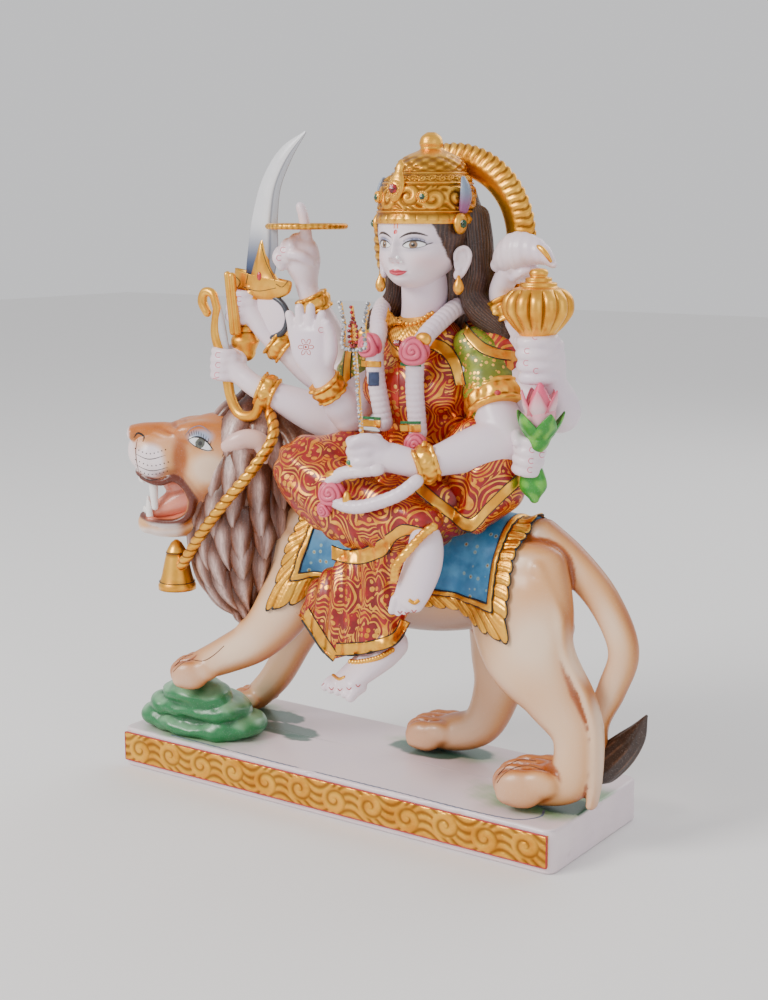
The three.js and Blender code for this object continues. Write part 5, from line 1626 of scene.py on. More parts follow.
sheet, sheet_out = cloth_sheet(CLOTH_ROWS, CLOTH_ROWS, 3.2, CLOTH_SPARE)
keep = slice(SPARE_ROWS, -SPARE_ROWS)
saddle = slab(sheet[keep, keep][:, ::-1], (sheet - sheet_out * 3)[keep, keep][:, ::-1])
# The cloth is dimmed towards its front end: painted shade.
saddle_front_shade = rise(-saddle.points[:, 0], -10, 30) * 0.5
piece("saddle_cloth", saddle, blue_cloth, masks={"hollow": saddle_front_shade})

# %% [markdown]
# ## The goddess's body
# Torso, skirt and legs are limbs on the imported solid's stations, fused into soft skins. The skirt gets its
# folds as waves that run along each leg. Cloth and skin are separate pieces that overlap, as the painted
# areas of the stone do.

# %% Bodice
TORSO = [
    [66, 6, 252, 58, 34], [64, 4, 278, 50, 32], [62, 0, 300, 42, 28], [60, -4, 330, 46, 31],
    [59, -6, 352, 54, 34], [58, -2, 374, 56, 26], [58, -3, 388, 34, 20],
]
BREASTS = [egg((60 + s * 23.5, -25, 349), (21, 17.5, 19), 36, 24) for s in (1, -1)]
bodice = fuse([limb(TORSO, 64)] + BREASTS, 1.9, 5)
gathers = ripple(bodice.points * [1, 1, 0.45], 26, 61) * rise(345 - bodice.points[:, 2], 0, 40)
bodice = pushed(bodice, 0.9 * gathers)
piece("bodice", bodice, red_brocade, masks=in_hollows(bodice, 12, 2.0))

# %% Skirt, folded right leg and hanging left leg
RIGHT_THIGH = [[44, 6, 276, 34, 34], [20, -24, 282, 34, 32], [-15, -61, 284, 28, 27]]
RIGHT_SHIN = [
    [-15, -65, 281, 26.5, 25], [8, -72, 270, 28, 23], [42, -74, 258, 29, 21], [74, -72, 255, 23, 18],
    [94, -72, 256, 18, 16], [104, -72, 256, 13, 13],
]
LEFT_THIGH = [[92, 6, 270, 36, 34], [84, -26, 262, 34, 32], [73, -54, 244, 29, 24]]
LEFT_SHIN = [
    [72, -56, 246, 27, 20], [60, -60, 215, 31, 20], [44, -64, 188, 40, 21], [35, -66, 170, 49, 22],
    [33, -67, 150, 53, 21], [33, -67, 134, 52, 20],
]
OVERSKIRT = [[116, -14, 306, 33, 27], [124, -22, 278, 33, 30], [123, -38, 254, 13, 11]]
HEM_IN_PICTURE = [
    (290, 603), (301, 618), (311, 633), (321, 648), (333, 659), (352, 654), (371, 651), (396, 643),
    (411, 622), (424, 596),
]
UP, BACK = (0, 0, 1), (0, 1, 0)
LEGS = [(RIGHT_THIGH, UP), (RIGHT_SHIN, BACK), (LEFT_THIGH, UP), (LEFT_SHIN, BACK)]
legs = [limb(stations, 48, flat=flat) for stations, flat in LEGS]
skirt = fuse(legs + [egg((70, -30, 258), (46, 34, 30), 36, 24)], 1.9, 6)
P = skirt.points
hang = 1 - rise(P[:, 2], 225, 262)
pleats = np.sin(P[:, 0] * 0.42 + 0.02 * P[:, 2] + 1.6 * ripple(P, 70, 62)) * hang * 1.5
folds = (np.sin((P[:, 0] * 0.35 + P[:, 2] * 0.8 + P[:, 1] * 0.25) * 0.34 + 1.8 * ripple(P, 60, 63))
         * (1 - hang) * 1.1)
skirt = pushed(skirt, pleats + folds)
picture_x, picture_y, deep = pictured(skirt.points)
hem_x, hem_y = np.array(HEM_IN_PICTURE).T
fall = picture_y - np.interp(picture_x, hem_x, hem_y)
raised = np.maximum(fall, 0) * deep / (FOCAL * math.cos(PITCH)) * 1000 * rise(225 - skirt.points[:, 2], 0, 8)
skirt.points[:, 2] += raised
piece("skirt", skirt, red_brocade, masks=in_hollows(skirt, 10, 1.6))
over_skirt = fuse([limb(OVERSKIRT, 48)], 1.7, 6)
P = over_skirt.points
drape = np.sin((P[:, 0] * 0.9 - P[:, 2] * 0.55) * 0.30 + 1.2 * ripple(P, 60, 64)) * 1.3
over_skirt = pushed(over_skirt, drape)
piece("saree_end", over_skirt, red_brocade, masks=in_hollows(over_skirt, 10, 1.6))

# %% [markdown]
# ## Skin
# Arms are two tapering limbs each, from shoulder to elbow and from elbow to wrist. The hands are built from a
# palm, four fingers that bend in three places and a thumb, and everything that belongs to one arm is fused.

# %% Arms and hands
ARMS = {
    "disc": ([(14, 8, 372), (-24, 8, 350), (-49, -16, 424), (-50, -21, 446)], (17, 15, 10.5, 12)),
    "blessing": ([(12, -4, 362), (6, -34, 326), (-3, -54, 352), (-10, -60, 376)], (17, 15, 10.5, 12)),
    "sword": ([(10, 4, 366), (-38, 0, 346), (-78, -26, 382), (-98, -31, 404)], (17, 14.5, 10, 10)),
    "bow": ([(10, 0, 352), (-22, -10, 314), (-84, -41, 344), (-104, -45, 357)], (17, 16.5, 11, 10)),
    "shell": ([(112, 8, 372), (146, 16, 362), (118, 10, 424), (128, 7, 442)], (17, 15, 10.5, 11)),
    "mace": ([(112, 2, 366), (176, 2, 337), (177, -10, 358), (172, -20, 374)], (17, 16.5, 13, 12)),
    "lotus": ([(112, 0, 358), (152, 0, 322), (160, -17, 309), (166, -25, 307)], (17, 15, 13, 11)),
    "front": ([(112, -6, 366), (143, -20, 316), (98, -64, 298), (74, -76, 303)], (19, 18, 12.5, 13)),
}


def between(p, q, share):
    """A place on the way from p to q."""
    return tuple(np.asarray(p) + (np.asarray(q) - np.asarray(p)) * share)


def arm(path, r):
    """Upper arm and forearm; the forearm swells below the elbow and thins to the wrist."""
    shoulder, elbow, wrist, palm = path
    half_way = between(shoulder, elbow, 0.5)
    upper = [(*shoulder, r[0], r[0]), (*half_way, r[0] * 0.96, r[0] * 0.96), (*elbow, r[1], r[1])]
    fore = [(*elbow, r[1] * 0.97, r[1] * 0.97), (*between(elbow, wrist, 0.35), r[1] * 0.98, r[1] * 0.94),
            (*between(elbow, wrist, 0.8), r[2], r[2]), (*wrist, r[2] * 0.86, r[2] * 0.84),
            (*palm, r[3] * 0.9, r[3] * 0.75)]
    return [limb(upper, 32), limb(fore, 32)]


def finger(points, radius):
    """One finger through its joints, thinning to the tip."""
    girth = radius * np.linspace(1.0, 0.80, len(points))
    return limb([(*p, g, g) for p, g in zip(points, girth)], 16, 1.0, flat=(0.21, 0.33, 0.92))


def fist(grip, shaft, wrist, size, side=1):
    """A hand closed round a shaft. u runs along the shaft, w from the wrist to the shaft, v = u x w. Finger
    number k sits at u = 0.41 (1.5 - k) size, and bends round the shaft by the angles of its joints."""
    grip, wrist = np.array(grip, float), np.array(wrist, float)
    u = unit(np.array(shaft, float))
    w = grip - wrist
    w = unit(w - u * (w @ u))
    v = np.cross(u, w) * side
    angles = np.radians([165, 118, 62, 5, -52, -100, -140])
    made = []
    for k in range(4):
        shrink = 1 - 0.06 * abs(k - 1.3)
        along = 0.41 * (1.5 - k) * size
        joints = [grip + u * along + w * math.cos(a) * 0.60 * size * shrink
                  + v * math.sin(a) * 0.50 * size * shrink for a in angles]
        made.append(finger(joints, 0.235 * size))
    thumb = [(0.30, -0.86, -0.25), (0.66, -0.45, -0.52), (0.72, 0.05, -0.62), (0.55, 0.42, -0.58)]
    made.append(finger([grip + size * (a * u + b * w + c * v) for a, b, c in thumb], 0.26 * size))
    palm = grip - w * 0.52 * size
    ends = [palm - u * 0.34 * size, palm + u * 0.30 * size]
    made.append(limb([(*end, 0.50 * size, 0.40 * size) for end in ends], 24, 1.5, flat=w))
    heel = [(*(wrist + (palm - wrist) * 0.35), 0.5 * size, 0.45 * size), (*palm, 0.52 * size, 0.46 * size)]
    made.append(limb(heel, 24, 1.5, flat=u))
    return made


FISTS = {
    "sword": ((-106, -32, 409), (0.2, 0, 1), 17.5, 1), "bow": ((-113, -46, 361.5), (0.1, 0, 1), 16.5, 1),
    "mace": ((170, -22, 379), (0, -0.1, 1), 22, 1), "lotus": ((167, -28, 307), (0.15, 0, 1), 18.5, 1),
    "shell": ((138, 4, 449), (-0.5, 0, 1), 17.5, 1), "front": ((57, -84, 304), (-0.1, 0, 1), 19, -1),
}
skin_of = {}
for name, (path, r) in ARMS.items():
    parts = arm(path, r)
    if name in FISTS:
        grip, shaft, size, side = FISTS[name]
        parts += fist(grip, shaft, path[2], size, side)
    skin_of[name] = parts

# The open hand that blesses, and the hand under the disc
OPEN = skin_of["blessing"]
RAISED = skin_of["disc"]
OPEN.append(limb([(-3, -54, 356, 10, 8.5), (-10, -60, 372, 16, 9), (-13, -62, 384, 17.5, 8),
                  (-13, -63, 393, 16.5, 7)], 28, 1.2))
for k, (x, tip, lean) in enumerate([(-27, 411, -3), (-18.5, 416.5, -1.5), (-9.5, 417, 0.5), (-0.8, 412, 3)]):
    OPEN.append(finger([(x, -62, 388), (x + lean * 0.3, -64, 400), (x + lean, -64.5, tip - 4.5)], 4.7))
OPEN.append(finger([(2, -57, 368), (9, -61, 379), (10.5, -64, 391), (8, -66, 400)], 5.2))
RAISED.append(limb([(-49, -17, 430, 10, 9), (-50, -21, 446, 16.5, 12), (-50, -23, 456, 16, 11)], 28, 1.2))
RAISED.append(finger([(-42, -24, 456), (-43, -25, 470), (-46, -25, 484), (-48.5, -25, 490)], 5.0))
for k, (x, z) in enumerate([(-51, 463), (-59, 459), (-66, 453)]):
    RAISED.append(finger([(x + 4, -18, z - 4), (x, -27, z + 2), (x + 1, -35, z - 4), (x + 4, -33, z - 11)],
                         4.9))
RAISED.append(finger([(-38, -26, 446), (-42, -34, 451), (-50, -37, 452)], 5.2))
skin_shells = {name: fuse(parts, 1.35, 3) for name, parts in skin_of.items()}
for name, shell in skin_shells.items():
    piece(f"arm_{name}", shell, bare_marble)

# %% Neck and feet
NECK = [
    [59, -6, 376, 26, 18], [58, -6, 392, 22, 19], [59, -8, 408, 17.5, 17], [62, -10, 424, 18.5, 19],
    [62, -9, 436, 19, 20],
]
neck = fuse([limb(NECK, 48)], 1.3, 4)
piece("neck", neck, bare_marble)


def foot(path, toes, radius):
    """A foot as a limb with five toes at its end."""
    lying = abs(path[0][2] - path[-1][2]) < 40
    made = [limb(path, 32, 1.5, flat=(0, 0, 1) if lying else (0, 1, 0))]
    made += [finger(t, radius * (1.25 if k == 0 else 1.0)) for k, t in enumerate(toes)]
    return made


LEFT_FOOT = [
    (62, -58, 152, 17, 13), (58, -70, 143, 18, 11.5), (50, -83, 133, 18.5, 9.5), (44, -92, 126, 18, 7.5),
]
LEFT_TOE_REACH = [9.0, 10.0, 10.5, 11.0, 12.5]
left_toes = []
for k in range(5):
    off = (k - 2) * 7.4
    base = np.array([44 + off, -92 - off * 0.10, 124.5])
    ahead = np.array([-0.20, -0.80, -0.50]) * LEFT_TOE_REACH[k]
    left_toes.append([base, base + ahead * 0.6 + [0, 0, 1.0], base + ahead])
RIGHT_FOOT = [
    (102, -72, 250, 11, 10), (108, -78, 241, 13.5, 12.5), (108, -81, 226, 15, 12), (103, -85, 208, 14.5, 9),
    (99, -88, 197, 13, 6.5),
]
right_toes = []
for k in range(5):
    off = (k - 2) * 5.2
    base = np.array([99 + off * 0.88, -88 + off * 0.32, 197.0 + abs(k - 1.4) * 0.8])
    right_toes.append([base, base + [-0.8, -2.0, -5.5], base + [-1.6, -2.6, -9.5 + abs(k - 0.9) * 1.2]])
left_foot = fuse(foot(LEFT_FOOT, left_toes[::-1], 4.1), 1.0, 3)
right_foot = fuse(foot(RIGHT_FOOT, right_toes, 3.1), 0.95, 2)
piece("left_foot", left_foot, bare_marble)
piece("right_foot", right_foot, bare_marble)

# %% [markdown]
# ## Hair, ears, crown and halo

# %% Hair
HAIR = [
    [63, 6, 486, 34, 32], [64, 12, 462, 40.5, 30], [66, 20, 412, 40, 23], [66, 26, 382, 36, 17],
    [63, 32, 328, 19, 8], [63, 31, 312, 8, 5],
]
hair_brush = stone("hair_brush", None, cloud=0.2, strokes=((1.0, 1.0, 0.10), 700.0, 0.7), coat=0.1)
hair = tube(limb_rings(HAIR, 232, 1.6))
turn = np.arctan2(hair.points[:, 1] - 14, hair.points[:, 0] - 64)
strand = np.sin(turn * 58 + 1.3 * ripple(hair.points * [1, 1, 0.3], 30, 71) + 0.06 * hair.points[:, 2])
locks = np.sin(turn * 13 + 2 * ripple(hair.points * [1, 1, 0.4], 60, 79))
hair = pushed(hair, 0.28 * strand + 0.5 * locks)
hair_paint = two_tone(hair, (0.055, 0.022, 0.012), (0.17, 0.075, 0.04), rise(strand, 0.0, 0.9) * 0.8)
piece("hair", hair, hair_brush, paint=hair_paint)

# %% Halo: a ring with waves carved on its outer half
HALO_CENTRE = np.array([61.0, 31.0, 464.0])
HALO_R, HALO_WIDE, HALO_DEEP, HALO_GROOVES = 63.0, 12.6, 7.6, 66


def halo_shell(turns=520, around=36):
    """A ring: round its section by angle b, radius = R + wide cos b and depth = deep sin b. On the outer half
    the surface is pushed by cos(grooves (a + 0.045 sin(2.6 sin b))), so each groove is an S."""
    a = circle(turns)[:, None]
    b = circle(around)[None, :]
    outer = rise(np.cos(b), -0.05, 0.25)
    across = np.sin(b)
    wave = np.cos(HALO_GROOVES * (a + 0.045 * np.sin(across * 2.6)))
    push = 1 + outer * (0.05 * wave - 0.03) + 0.05 * np.exp(-((np.cos(b) + 0.02) / 0.08) ** 2)
    radius = HALO_R + HALO_WIDE * np.cos(b) * push
    deep = HALO_DEEP * np.sin(b) * push
    points = np.stack([radius * np.sin(a), deep + 0 * a, radius * np.cos(a)], axis=-1) + HALO_CENTRE
    # The grooves of the waves are darkened: painted shade.
    dark = (outer * rise(-wave, 0.1, 0.9) * 0.8 + 0 * a).ravel()
    return turned_out(hoop(points)), dark


halo, halo_shade = halo_shell()
piece("halo", halo, smooth_leaf, masks={"hollow": halo_shade})

# %% Crown
CROWN = [
    [63, -9, 477, 37, 45], [63, -9, 489, 35.5, 43.5], [63, -8, 503, 34, 41.5], [63, -7, 511, 30.5, 37],
    [63, -5, 516, 27, 31.5], [63, -4, 523, 25, 28], [63, -3, 529, 18.5, 20], [63, -3, 533, 10, 10.5],
    [63, -4, 538, 9.8, 9.8], [63, -4, 543, 8, 8], [63, -4, 546, 4, 4],
]


def crown_shell(around=336, step=0.52):
    """The crown's skin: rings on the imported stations, pushed out by relief. Up the side run a row of arches
    |sin|, a running scroll, a narrow row of small curls, and a dome with a net of bosses, parted by three
    beads."""
    line = spline(CROWN, int(96 / step))
    turn = circle(around)
    x = line[:, :1] + line[:, 3:4] * np.cos(turn)
    y = line[:, 1:2] + line[:, 4:5] * np.sin(turn)
    z = line[:, 2:3] + 0 * x
    run = turn[None] + 0 * z
    round_share = run / (2 * math.pi)
    low = np.clip(1 - np.abs((z - 480.5) / 4), 0, 1) * (0.35 + 0.65 * np.abs(np.sin(run * 14)) ** 0.5)
    band = (np.exp(-((z - 486) / 0.8) ** 2) + np.exp(-((z - 507.5) / 0.9) ** 2)
            + 0.8 * np.exp(-((z - 515) / 0.8) ** 2))
    middle = (rise(z, 487, 488.5) * (1 - rise(z, 504.5, 506))
              * scroll_height(round_share * 240, z - 496.5, 20.0, 9.2))
    upper = (rise(z, 508.5, 509.5) * (1 - rise(z, 513, 514))
             * scroll_height(round_share * 216, z - 511.2, 8.0, 2.8))
    dome = (rise(z, 516, 517) * (1 - rise(z, 527, 530))
            * (0.5 + 0.5 * np.cos(run * 14) * np.cos((z - 516) * 1.1)) ** 1.5)
    relief = np.clip(low + band + middle + upper + dome * 0.8, 0, 1.2)
    out = np.stack([np.cos(turn) + 0 * z, np.sin(turn) + 0 * z, 0 * z], axis=-1)
    points = np.stack([x, y, z], axis=-1) + out * (relief * 1.5 - 0.6)[..., None]
    carved = rise(z, 478, 480) * (1 - rise(z, 526, 529))
    # Where the relief is low the leaf is darkened: painted shade.
    return tube(points), with_poles((1 - np.clip(relief, 0, 1)) * carved * 0.75)


crown, crown_shade = crown_shell()
piece("crown", crown, fine_leaf, masks={"hollow": crown_shade})
CROWN_LEAF = [
    [62, -52, 495, 4, 2.5], [62, -51, 503, 7.5, 3], [62, -48, 511, 5.6, 3], [62, -46, 516, 3.2, 2.6],
    [62, -44.5, 520, 3.6, 2.8], [62, -43.5, 524, 1.2, 1.2],
]
crown_leaf = fuse([limb(CROWN_LEAF, 28, 1.0)], 0.8, 2)
piece("crown_leaf", crown_leaf, fine_leaf)
PETAL = [
    (36, -14, 487, 2.6, 5.4), (38.4, -14.5, 497, 3.4, 6.6), (38, -15, 505, 2.8, 5.4),
    (36.5, -15.5, 511, 1.4, 2.6),
]
petal_shell = stack(both(lambda s: limb([[63 + s * x, *rest] for x, *rest in PETAL], 28, 0.8)))
share = rise(petal_shell.points[:, 2], 488, 503)[:, None]
petal_paint = np.array([[0.30, 0.09, 0.24]]) * (1 - share) + np.array([[0.22, 0.28, 0.38]]) * share
piece("crown_petals", petal_shell, brushed_marble, paint=petal_paint)
roundels = both(lambda s: egg((63 + s * 37, -20, 477), (4.2, 7.6, 8.2), 28, 16))
piece("ear_roundels", stack(roundels), fine_leaf)

# %% [markdown]
# ## The face
# The face is a calm one of the maker's own, on the proportions of a drawing manual: chin to nose, nose to
# brow and brow to hair are equal, and the eyes stand one eye's width apart. It is one dense grid round the
# head's axis. Each feature is a small hill or dale on that grid, and the paint is worked out from the same
# distances.

# %% Face grid
FACE = [
    [63, -31, 428.5, 5, 5.5], [63, -29, 430.5, 11, 12.5], [63, -26, 435, 18, 21], [63, -22, 441, 23.5, 28],
    [63, -17, 450, 29, 35.5], [63, -13.5, 460, 32, 39.2], [63, -12, 468, 33.3, 40.6],
    [63, -11, 478, 33.6, 41], [63, -10, 488, 33.6, 41],
]
FACE_MIDDLE = 63.0
BROW, EYE_LINE, LIPS = 468.0, 461.0, 441.0
EYE_OFF, EYE_HALF = 13.6, 8.0


def face_grid(around=284, rows=178):
    """Rings of the head with their points drawn together at the front: turn = -90 deg + t - 0.6 sin t."""
    line = spline(FACE, rows)
    t = np.linspace(-math.pi, math.pi, around, endpoint=False)
    turn = -math.pi / 2 + t - 0.6 * np.sin(t)
    x = line[:, :1] + line[:, 3:4] * np.cos(turn)
    y = line[:, 1:2] + line[:, 4:5] * np.sin(turn)
    return np.stack([x, y, line[:, 2:3] + 0 * x], axis=-1)


def hill(a, b, wide, high):
    """A round hill of height 1: exp(-(a / wide)^2 - (b / high)^2)."""
    return np.exp(-(a / wide) ** 2 - (b / high) ** 2)


rings = face_grid()
X, Z = rings[..., 0] - FACE_MIDDLE, rings[..., 2]
AX = np.abs(X)
ahead_only = rise(-rings[..., 1], 10, 25)
eye_x, eye_z = AX - EYE_OFF, Z - EYE_LINE - 0.06 * (AX - EYE_OFF)
CHEEK, SOCKET, LID, BROW_BONE = (1.6, 17, 449, 8.5, 8), (-2.6, EYE_OFF, EYE_LINE, 9, 5.5), 2.3, 0.8
CHIN, CHIN_DIP, MOUTH_HILL = (1.6, 433.5, 7.5, 4.5), (-0.9, 437.2, 7, 1.8), (2.1, LIPS, 8.2, 4.2)
NOSE_TIP, PHILTRUM = (3.6, 451.2, 3.5, 3.0), (-0.5, 445.6, 1.0, 1.7)
WING, NOSTRIL_DIP = (2.0, 4.4, 450.2, 2.1, 2.3), (-1.0, 2.4, 447.9, 1.3, 0.9)
MOUTH_HALF = 8.1


def paired(high, off, up, wide, tall):
    """A hill on each side of the face, `off` mm from its middle."""
    return high * hill(AX - off, Z - up, wide, tall)


def single(high, up, wide, tall):
    """A hill on the middle line of the face."""
    return high * hill(X, Z - up, wide, tall)


lift = paired(*CHEEK) + paired(*SOCKET)
lift += LID * hill(eye_x, eye_z, 6.4, 4.0)
lift += BROW_BONE * hill(AX - 13, Z - BROW - 1.0 + 0.02 * (AX - 13) ** 2, 10, 2.6)
lift += single(*CHIN) + single(*CHIN_DIP) + single(*MOUTH_HILL)
bridge = rise(Z, 449, 453) * (1 - rise(Z, 462, 474))
ridge = 1.3 + 5.6 * np.clip((474 - Z) / 24, 0, 1) ** 0.9
lift += ridge * np.exp(-(X / (2.5 + 1.4 * np.clip((462 - Z) / 14, 0, 1))) ** 2) * bridge
lift += single(*NOSE_TIP) + paired(*WING) + paired(*NOSTRIL_DIP) + single(*PHILTRUM)
cupid = 1.05 * np.exp(-((AX - 1.9) / 1.7) ** 2) - 0.35 * np.exp(-(X / 1.0) ** 2)
corner = np.clip(1 - (AX / MOUTH_HALF) ** 2, 0, 1)
seam_z = LIPS + 0.75 * (AX / MOUTH_HALF) ** 2 - 0.25 * np.exp(-(X / 1.6) ** 2)
upper_z = seam_z + (1.7 + 0.7 * cupid) * corner ** 0.8
lower_z = seam_z - 2.7 * corner ** 0.6
lift += 0.95 * np.exp(-((Z - (seam_z + upper_z) / 2 - 0.1) / 1.25) ** 2) * corner ** 0.5
lift += 1.15 * np.exp(-((Z - (seam_z + lower_z) / 2) / 1.35) ** 2) * corner ** 0.5
lift -= 1.15 * np.exp(-((Z - seam_z) / 0.55) ** 2) * rise(corner, 0.0, 0.15)
lift -= 0.6 * hill(AX - MOUTH_HALF - 0.5, Z - LIPS - 0.7, 1.3, 1.5)
eye_open = np.clip(1 - (eye_x / EYE_HALF) ** 2, 0, 1)
lid_up, lid_low = 3.3 * eye_open ** 0.62, -2.0 * eye_open ** 0.7
inside_eye = (rise(lid_up - eye_z, -0.12, 0.12) * rise(eye_z - lid_low, -0.12, 0.12)
              * (np.abs(eye_x) < EYE_HALF))
lift -= 0.42 * inside_eye
lift += 0.35 * np.exp(-((eye_z - lid_up - 0.5) / 0.6) ** 2) * rise(eye_open, 0, 0.2)
lift -= 0.55 * np.exp(-((eye_z - lid_up - 2.0) / 0.55) ** 2) * rise(eye_open, 0.02, 0.35)
HAIRLINE = [
    (428, 125), (436, 110), (442, 92), (447, 76), (452, 67), (457, 62), (462.6, 57), (470, 51), (476, 46),
    (483, 40), (490, 35),
]
around = np.abs(np.degrees(np.arctan2(X / 33.5, -(rings[..., 1] + 11) / 41)))
line_z, line_turn = np.array(HAIRLINE).T
past_line = around - np.interp(Z, line_z, line_turn) - 0.25 * np.sin(Z * 2.9) - 0.5 * np.sin(Z * 0.8)
hair_share = rise(past_line, -0.6, 2.4)
lift += 1.0 * hair_share + 0.25 * hair_share * np.sin(around * 2.1 + Z * 0.06)
grid_out = unit(rings - np.array([FACE_MIDDLE, -6.0, 0]) - np.stack([0 * X, 0 * X, Z], axis=-1))
face = tube(rings + grid_out * (lift * np.maximum(ahead_only, hair_share))[..., None])

# %% Paint on the face
skin_tone = np.array([0.87, 0.74, 0.80])
iris = np.hypot(eye_x + 0.25, eye_z - 0.5)
lash = (1 - rise(np.abs(eye_z - lid_up - 0.30), 0.45, 0.80)) * (np.abs(eye_x) < EYE_HALF + 0.2)
wing = 1 - rise(np.abs(eye_z - 0.35 * (eye_x - EYE_HALF + 0.4) - 0.1), 0.26, 0.55)
wing = wing * rise(eye_x, EYE_HALF - 1.0, EYE_HALF - 0.5) * (1 - rise(eye_x, EYE_HALF + 2.6, EYE_HALF + 3.4))
low_line = (1 - rise(np.abs(eye_z - lid_low), 0.18, 0.46)) * (np.abs(eye_x) < EYE_HALF)
crease_line = (1 - rise(np.abs(eye_z - lid_up - 1.9), 0.06, 0.30)) * rise(eye_open, 0.05, 0.3)
lashes = rise(np.sin(eye_x * 8.5), 0.55, 0.9) * rise(eye_z - lid_up, 0.3, 0.5)
lashes = lashes * (1 - rise(eye_z - lid_up, 2.0, 2.5)) * rise(eye_open, 0.05, 0.3)
brow_z = BROW + 2.2 - 0.034 * (AX - 13.5) ** 2 + 0.05 * (AX - 13.5)
brow_wide = 0.95 * np.clip(1 - ((AX - 13.0) / 9.6) ** 2, 0, 1) ** 0.5
brows = (1 - rise(np.abs(Z - brow_z) - brow_wide, -0.12, 0.16)) * rise(brow_wide, 0.08, 0.2)
lips_in = rise(upper_z - Z, -0.12, 0.15) * rise(Z - lower_z, -0.12, 0.15) * (AX < MOUTH_HALF)
seam = (1 - rise(np.abs(Z - seam_z), 0.12, 0.40)) * rise(corner, 0.0, 0.1)
forehead_dot = 1 - rise(np.hypot(X, Z - 471.0), 1.6, 1.9)
stem = np.minimum(np.abs(AX - 1.5), AX + 0.25)
mark = (1 - rise(stem, 0.35, 0.62)) * rise(Z, 473.2, 473.6) * (1 - rise(Z, 478.4, 479))
bare = np.repeat(skin_tone[None], X.size, axis=0).reshape(*X.shape, 3)
paint = layered(bare, [(colour, share * ahead_only) for colour, share in [
    ((0.90, 0.45, 0.42), 0.34 * hill(AX - 19, Z - 449.5, 8, 6)),
    ((0.12, 0.17, 0.34), 0.85 * hill(eye_x - 1.0, eye_z - lid_up - 1.0, 8.5, 2.4) * rise(eye_z, -0.5, 1.0)),
    ((0.30, 0.32, 0.45), 0.5 * hill(eye_x, eye_z + 3.0, 7.5, 1.6)),
    ((0.96, 0.95, 0.95), inside_eye),
    ((0.16, 0.09, 0.05), inside_eye * (1 - rise(iris, 2.9, 3.15))),
    ((0.33, 0.20, 0.10), inside_eye * (1 - rise(np.abs(iris - 2.1), 0.1, 0.6)) * 0.8),
    ((0.012, 0.01, 0.01), inside_eye * (1 - rise(iris, 1.1, 1.35))),
    # A small white spot in each eye: painted highlight.
    ((0.95, 0.95, 0.95), hill(eye_x + 0.75, eye_z - 1.4, 0.42, 0.42) * inside_eye * 1.4),
    ((0.015, 0.012, 0.012), lash + wing),
    ((0.05, 0.04, 0.045), low_line * 0.8),
    ((0.25, 0.26, 0.34), crease_line * 0.7),
    ((0.04, 0.035, 0.05), lashes * 0.8),
    ((0.035, 0.02, 0.015), brows),
    ((0.64, 0.02, 0.06), lips_in * 0.95),
    ((0.42, 0.05, 0.08), seam * 0.85),
    ((0.80, 0.38, 0.38), hill(AX - 2.4, Z - 447.9, 1.1, 0.6) * 0.8),
    ((0.62, 0.01, 0.015), forehead_dot),
    ((0.80, 0.14, 0.02), mark),
]])
hair_dark, hair_light = np.array([0.035, 0.014, 0.009]), np.array([0.14, 0.065, 0.035])
cloudy = ripple(rings.reshape(-1, 3), 16, 77).reshape(X.shape)
shine = rise(np.sin(around * 1.05 + 1.5 * cloudy), 0.1, 0.95)[..., None] * 0.6
hair_tone = hair_dark * (1 - shine) + hair_light * shine
paint = paint * (1 - hair_share[..., None]) + hair_tone * hair_share[..., None]
face_paint = np.vstack([paint.reshape(-1, 3), np.repeat(skin_tone[None], 2, axis=0)])
piece("face", face, brushed_marble, paint=np.clip(face_paint, 0, 1))
print("face:", len(face.points), "points")

# %% Ears and ear drops
EAR_ROOT = (95.3, -20.0)
EAR_TURN = 48.0
EAR_BACK = (math.cos(math.radians(EAR_TURN)), math.sin(math.radians(EAR_TURN)))
EAR_OUT = (EAR_BACK[1], -EAR_BACK[0])
EAR_RIM = [
    (1.5, 436.5, 1.2), (5.5, 438.5, 1.3), (9, 444, 1.3), (11.4, 450, 1.1), (11.6, 455, 1.0),
    (8.4, 459, 0.8), (3.6, 458.4, 0.7), (0.4, 455, 0.5), (0.2, 450.5, 0.4),
]
EAR_FOLD = [(7.6, 453.6, 0.8), (8.3, 449.2, 0.8), (6, 444.8, 0.8), (2.9, 443.6, 0.7)]


def ear_place(back, z, out):
    """A place on the left ear: mm back along the ear, the height, and mm out from it."""
    x, y = (EAR_ROOT[k] + EAR_BACK[k] * back + EAR_OUT[k] * out for k in (0, 1))
    return np.array([x, y, z])


def ear(s):
    """An ear as a curled rim round a flat shell, on the side s of the head. It stands away from the head by
    EAR_TURN."""
    parts = [
        limb([(*ear_place(*p), 1.7, 1.7) for p in EAR_RIM], 14, 0.8),
        limb([(*ear_place(*p), 1.1, 1.1) for p in EAR_FOLD], 12, 0.8),
        egg(ear_place(5.2, 448.2, -0.8), (6.0, 2.0, 10.2), 26, 18, EAR_TURN),
        egg(ear_place(2.6, 438.6, 0.6), (3.8, 2.8, 4.4), 20, 12, EAR_TURN),
    ]
    return parts if s > 0 else [mirrored(part, FACE_MIDDLE) for part in parts]


ears = fuse(ear(1) + ear(-1), 0.8, 2)
piece("ears", ears, bare_marble)
DROP = [(0.1, -8), (2.2, -7.4), (3.9, -4.6), (4.2, -2), (3.4, 1), (1.8, 4), (1.0, 6.5), (0.1, 7)]
drops = both(lambda s: lathe(DROP, 28, (63 + s * 36.2, -20.5, 431.5)))
piece("ear_drops", stack(drops), smooth_leaf)

# %% [markdown]
# ## What the hands hold
# All of it is cut from the same marble and gilded or painted: a disc, a curved sword, a bow with arrows, a
# shell, a mace like a ribbed fruit, and a lotus bud.

# %% Disc
DISC_CENTRE, DISC_R = np.array([-43.0, -24.0, 474.0]), 33.5


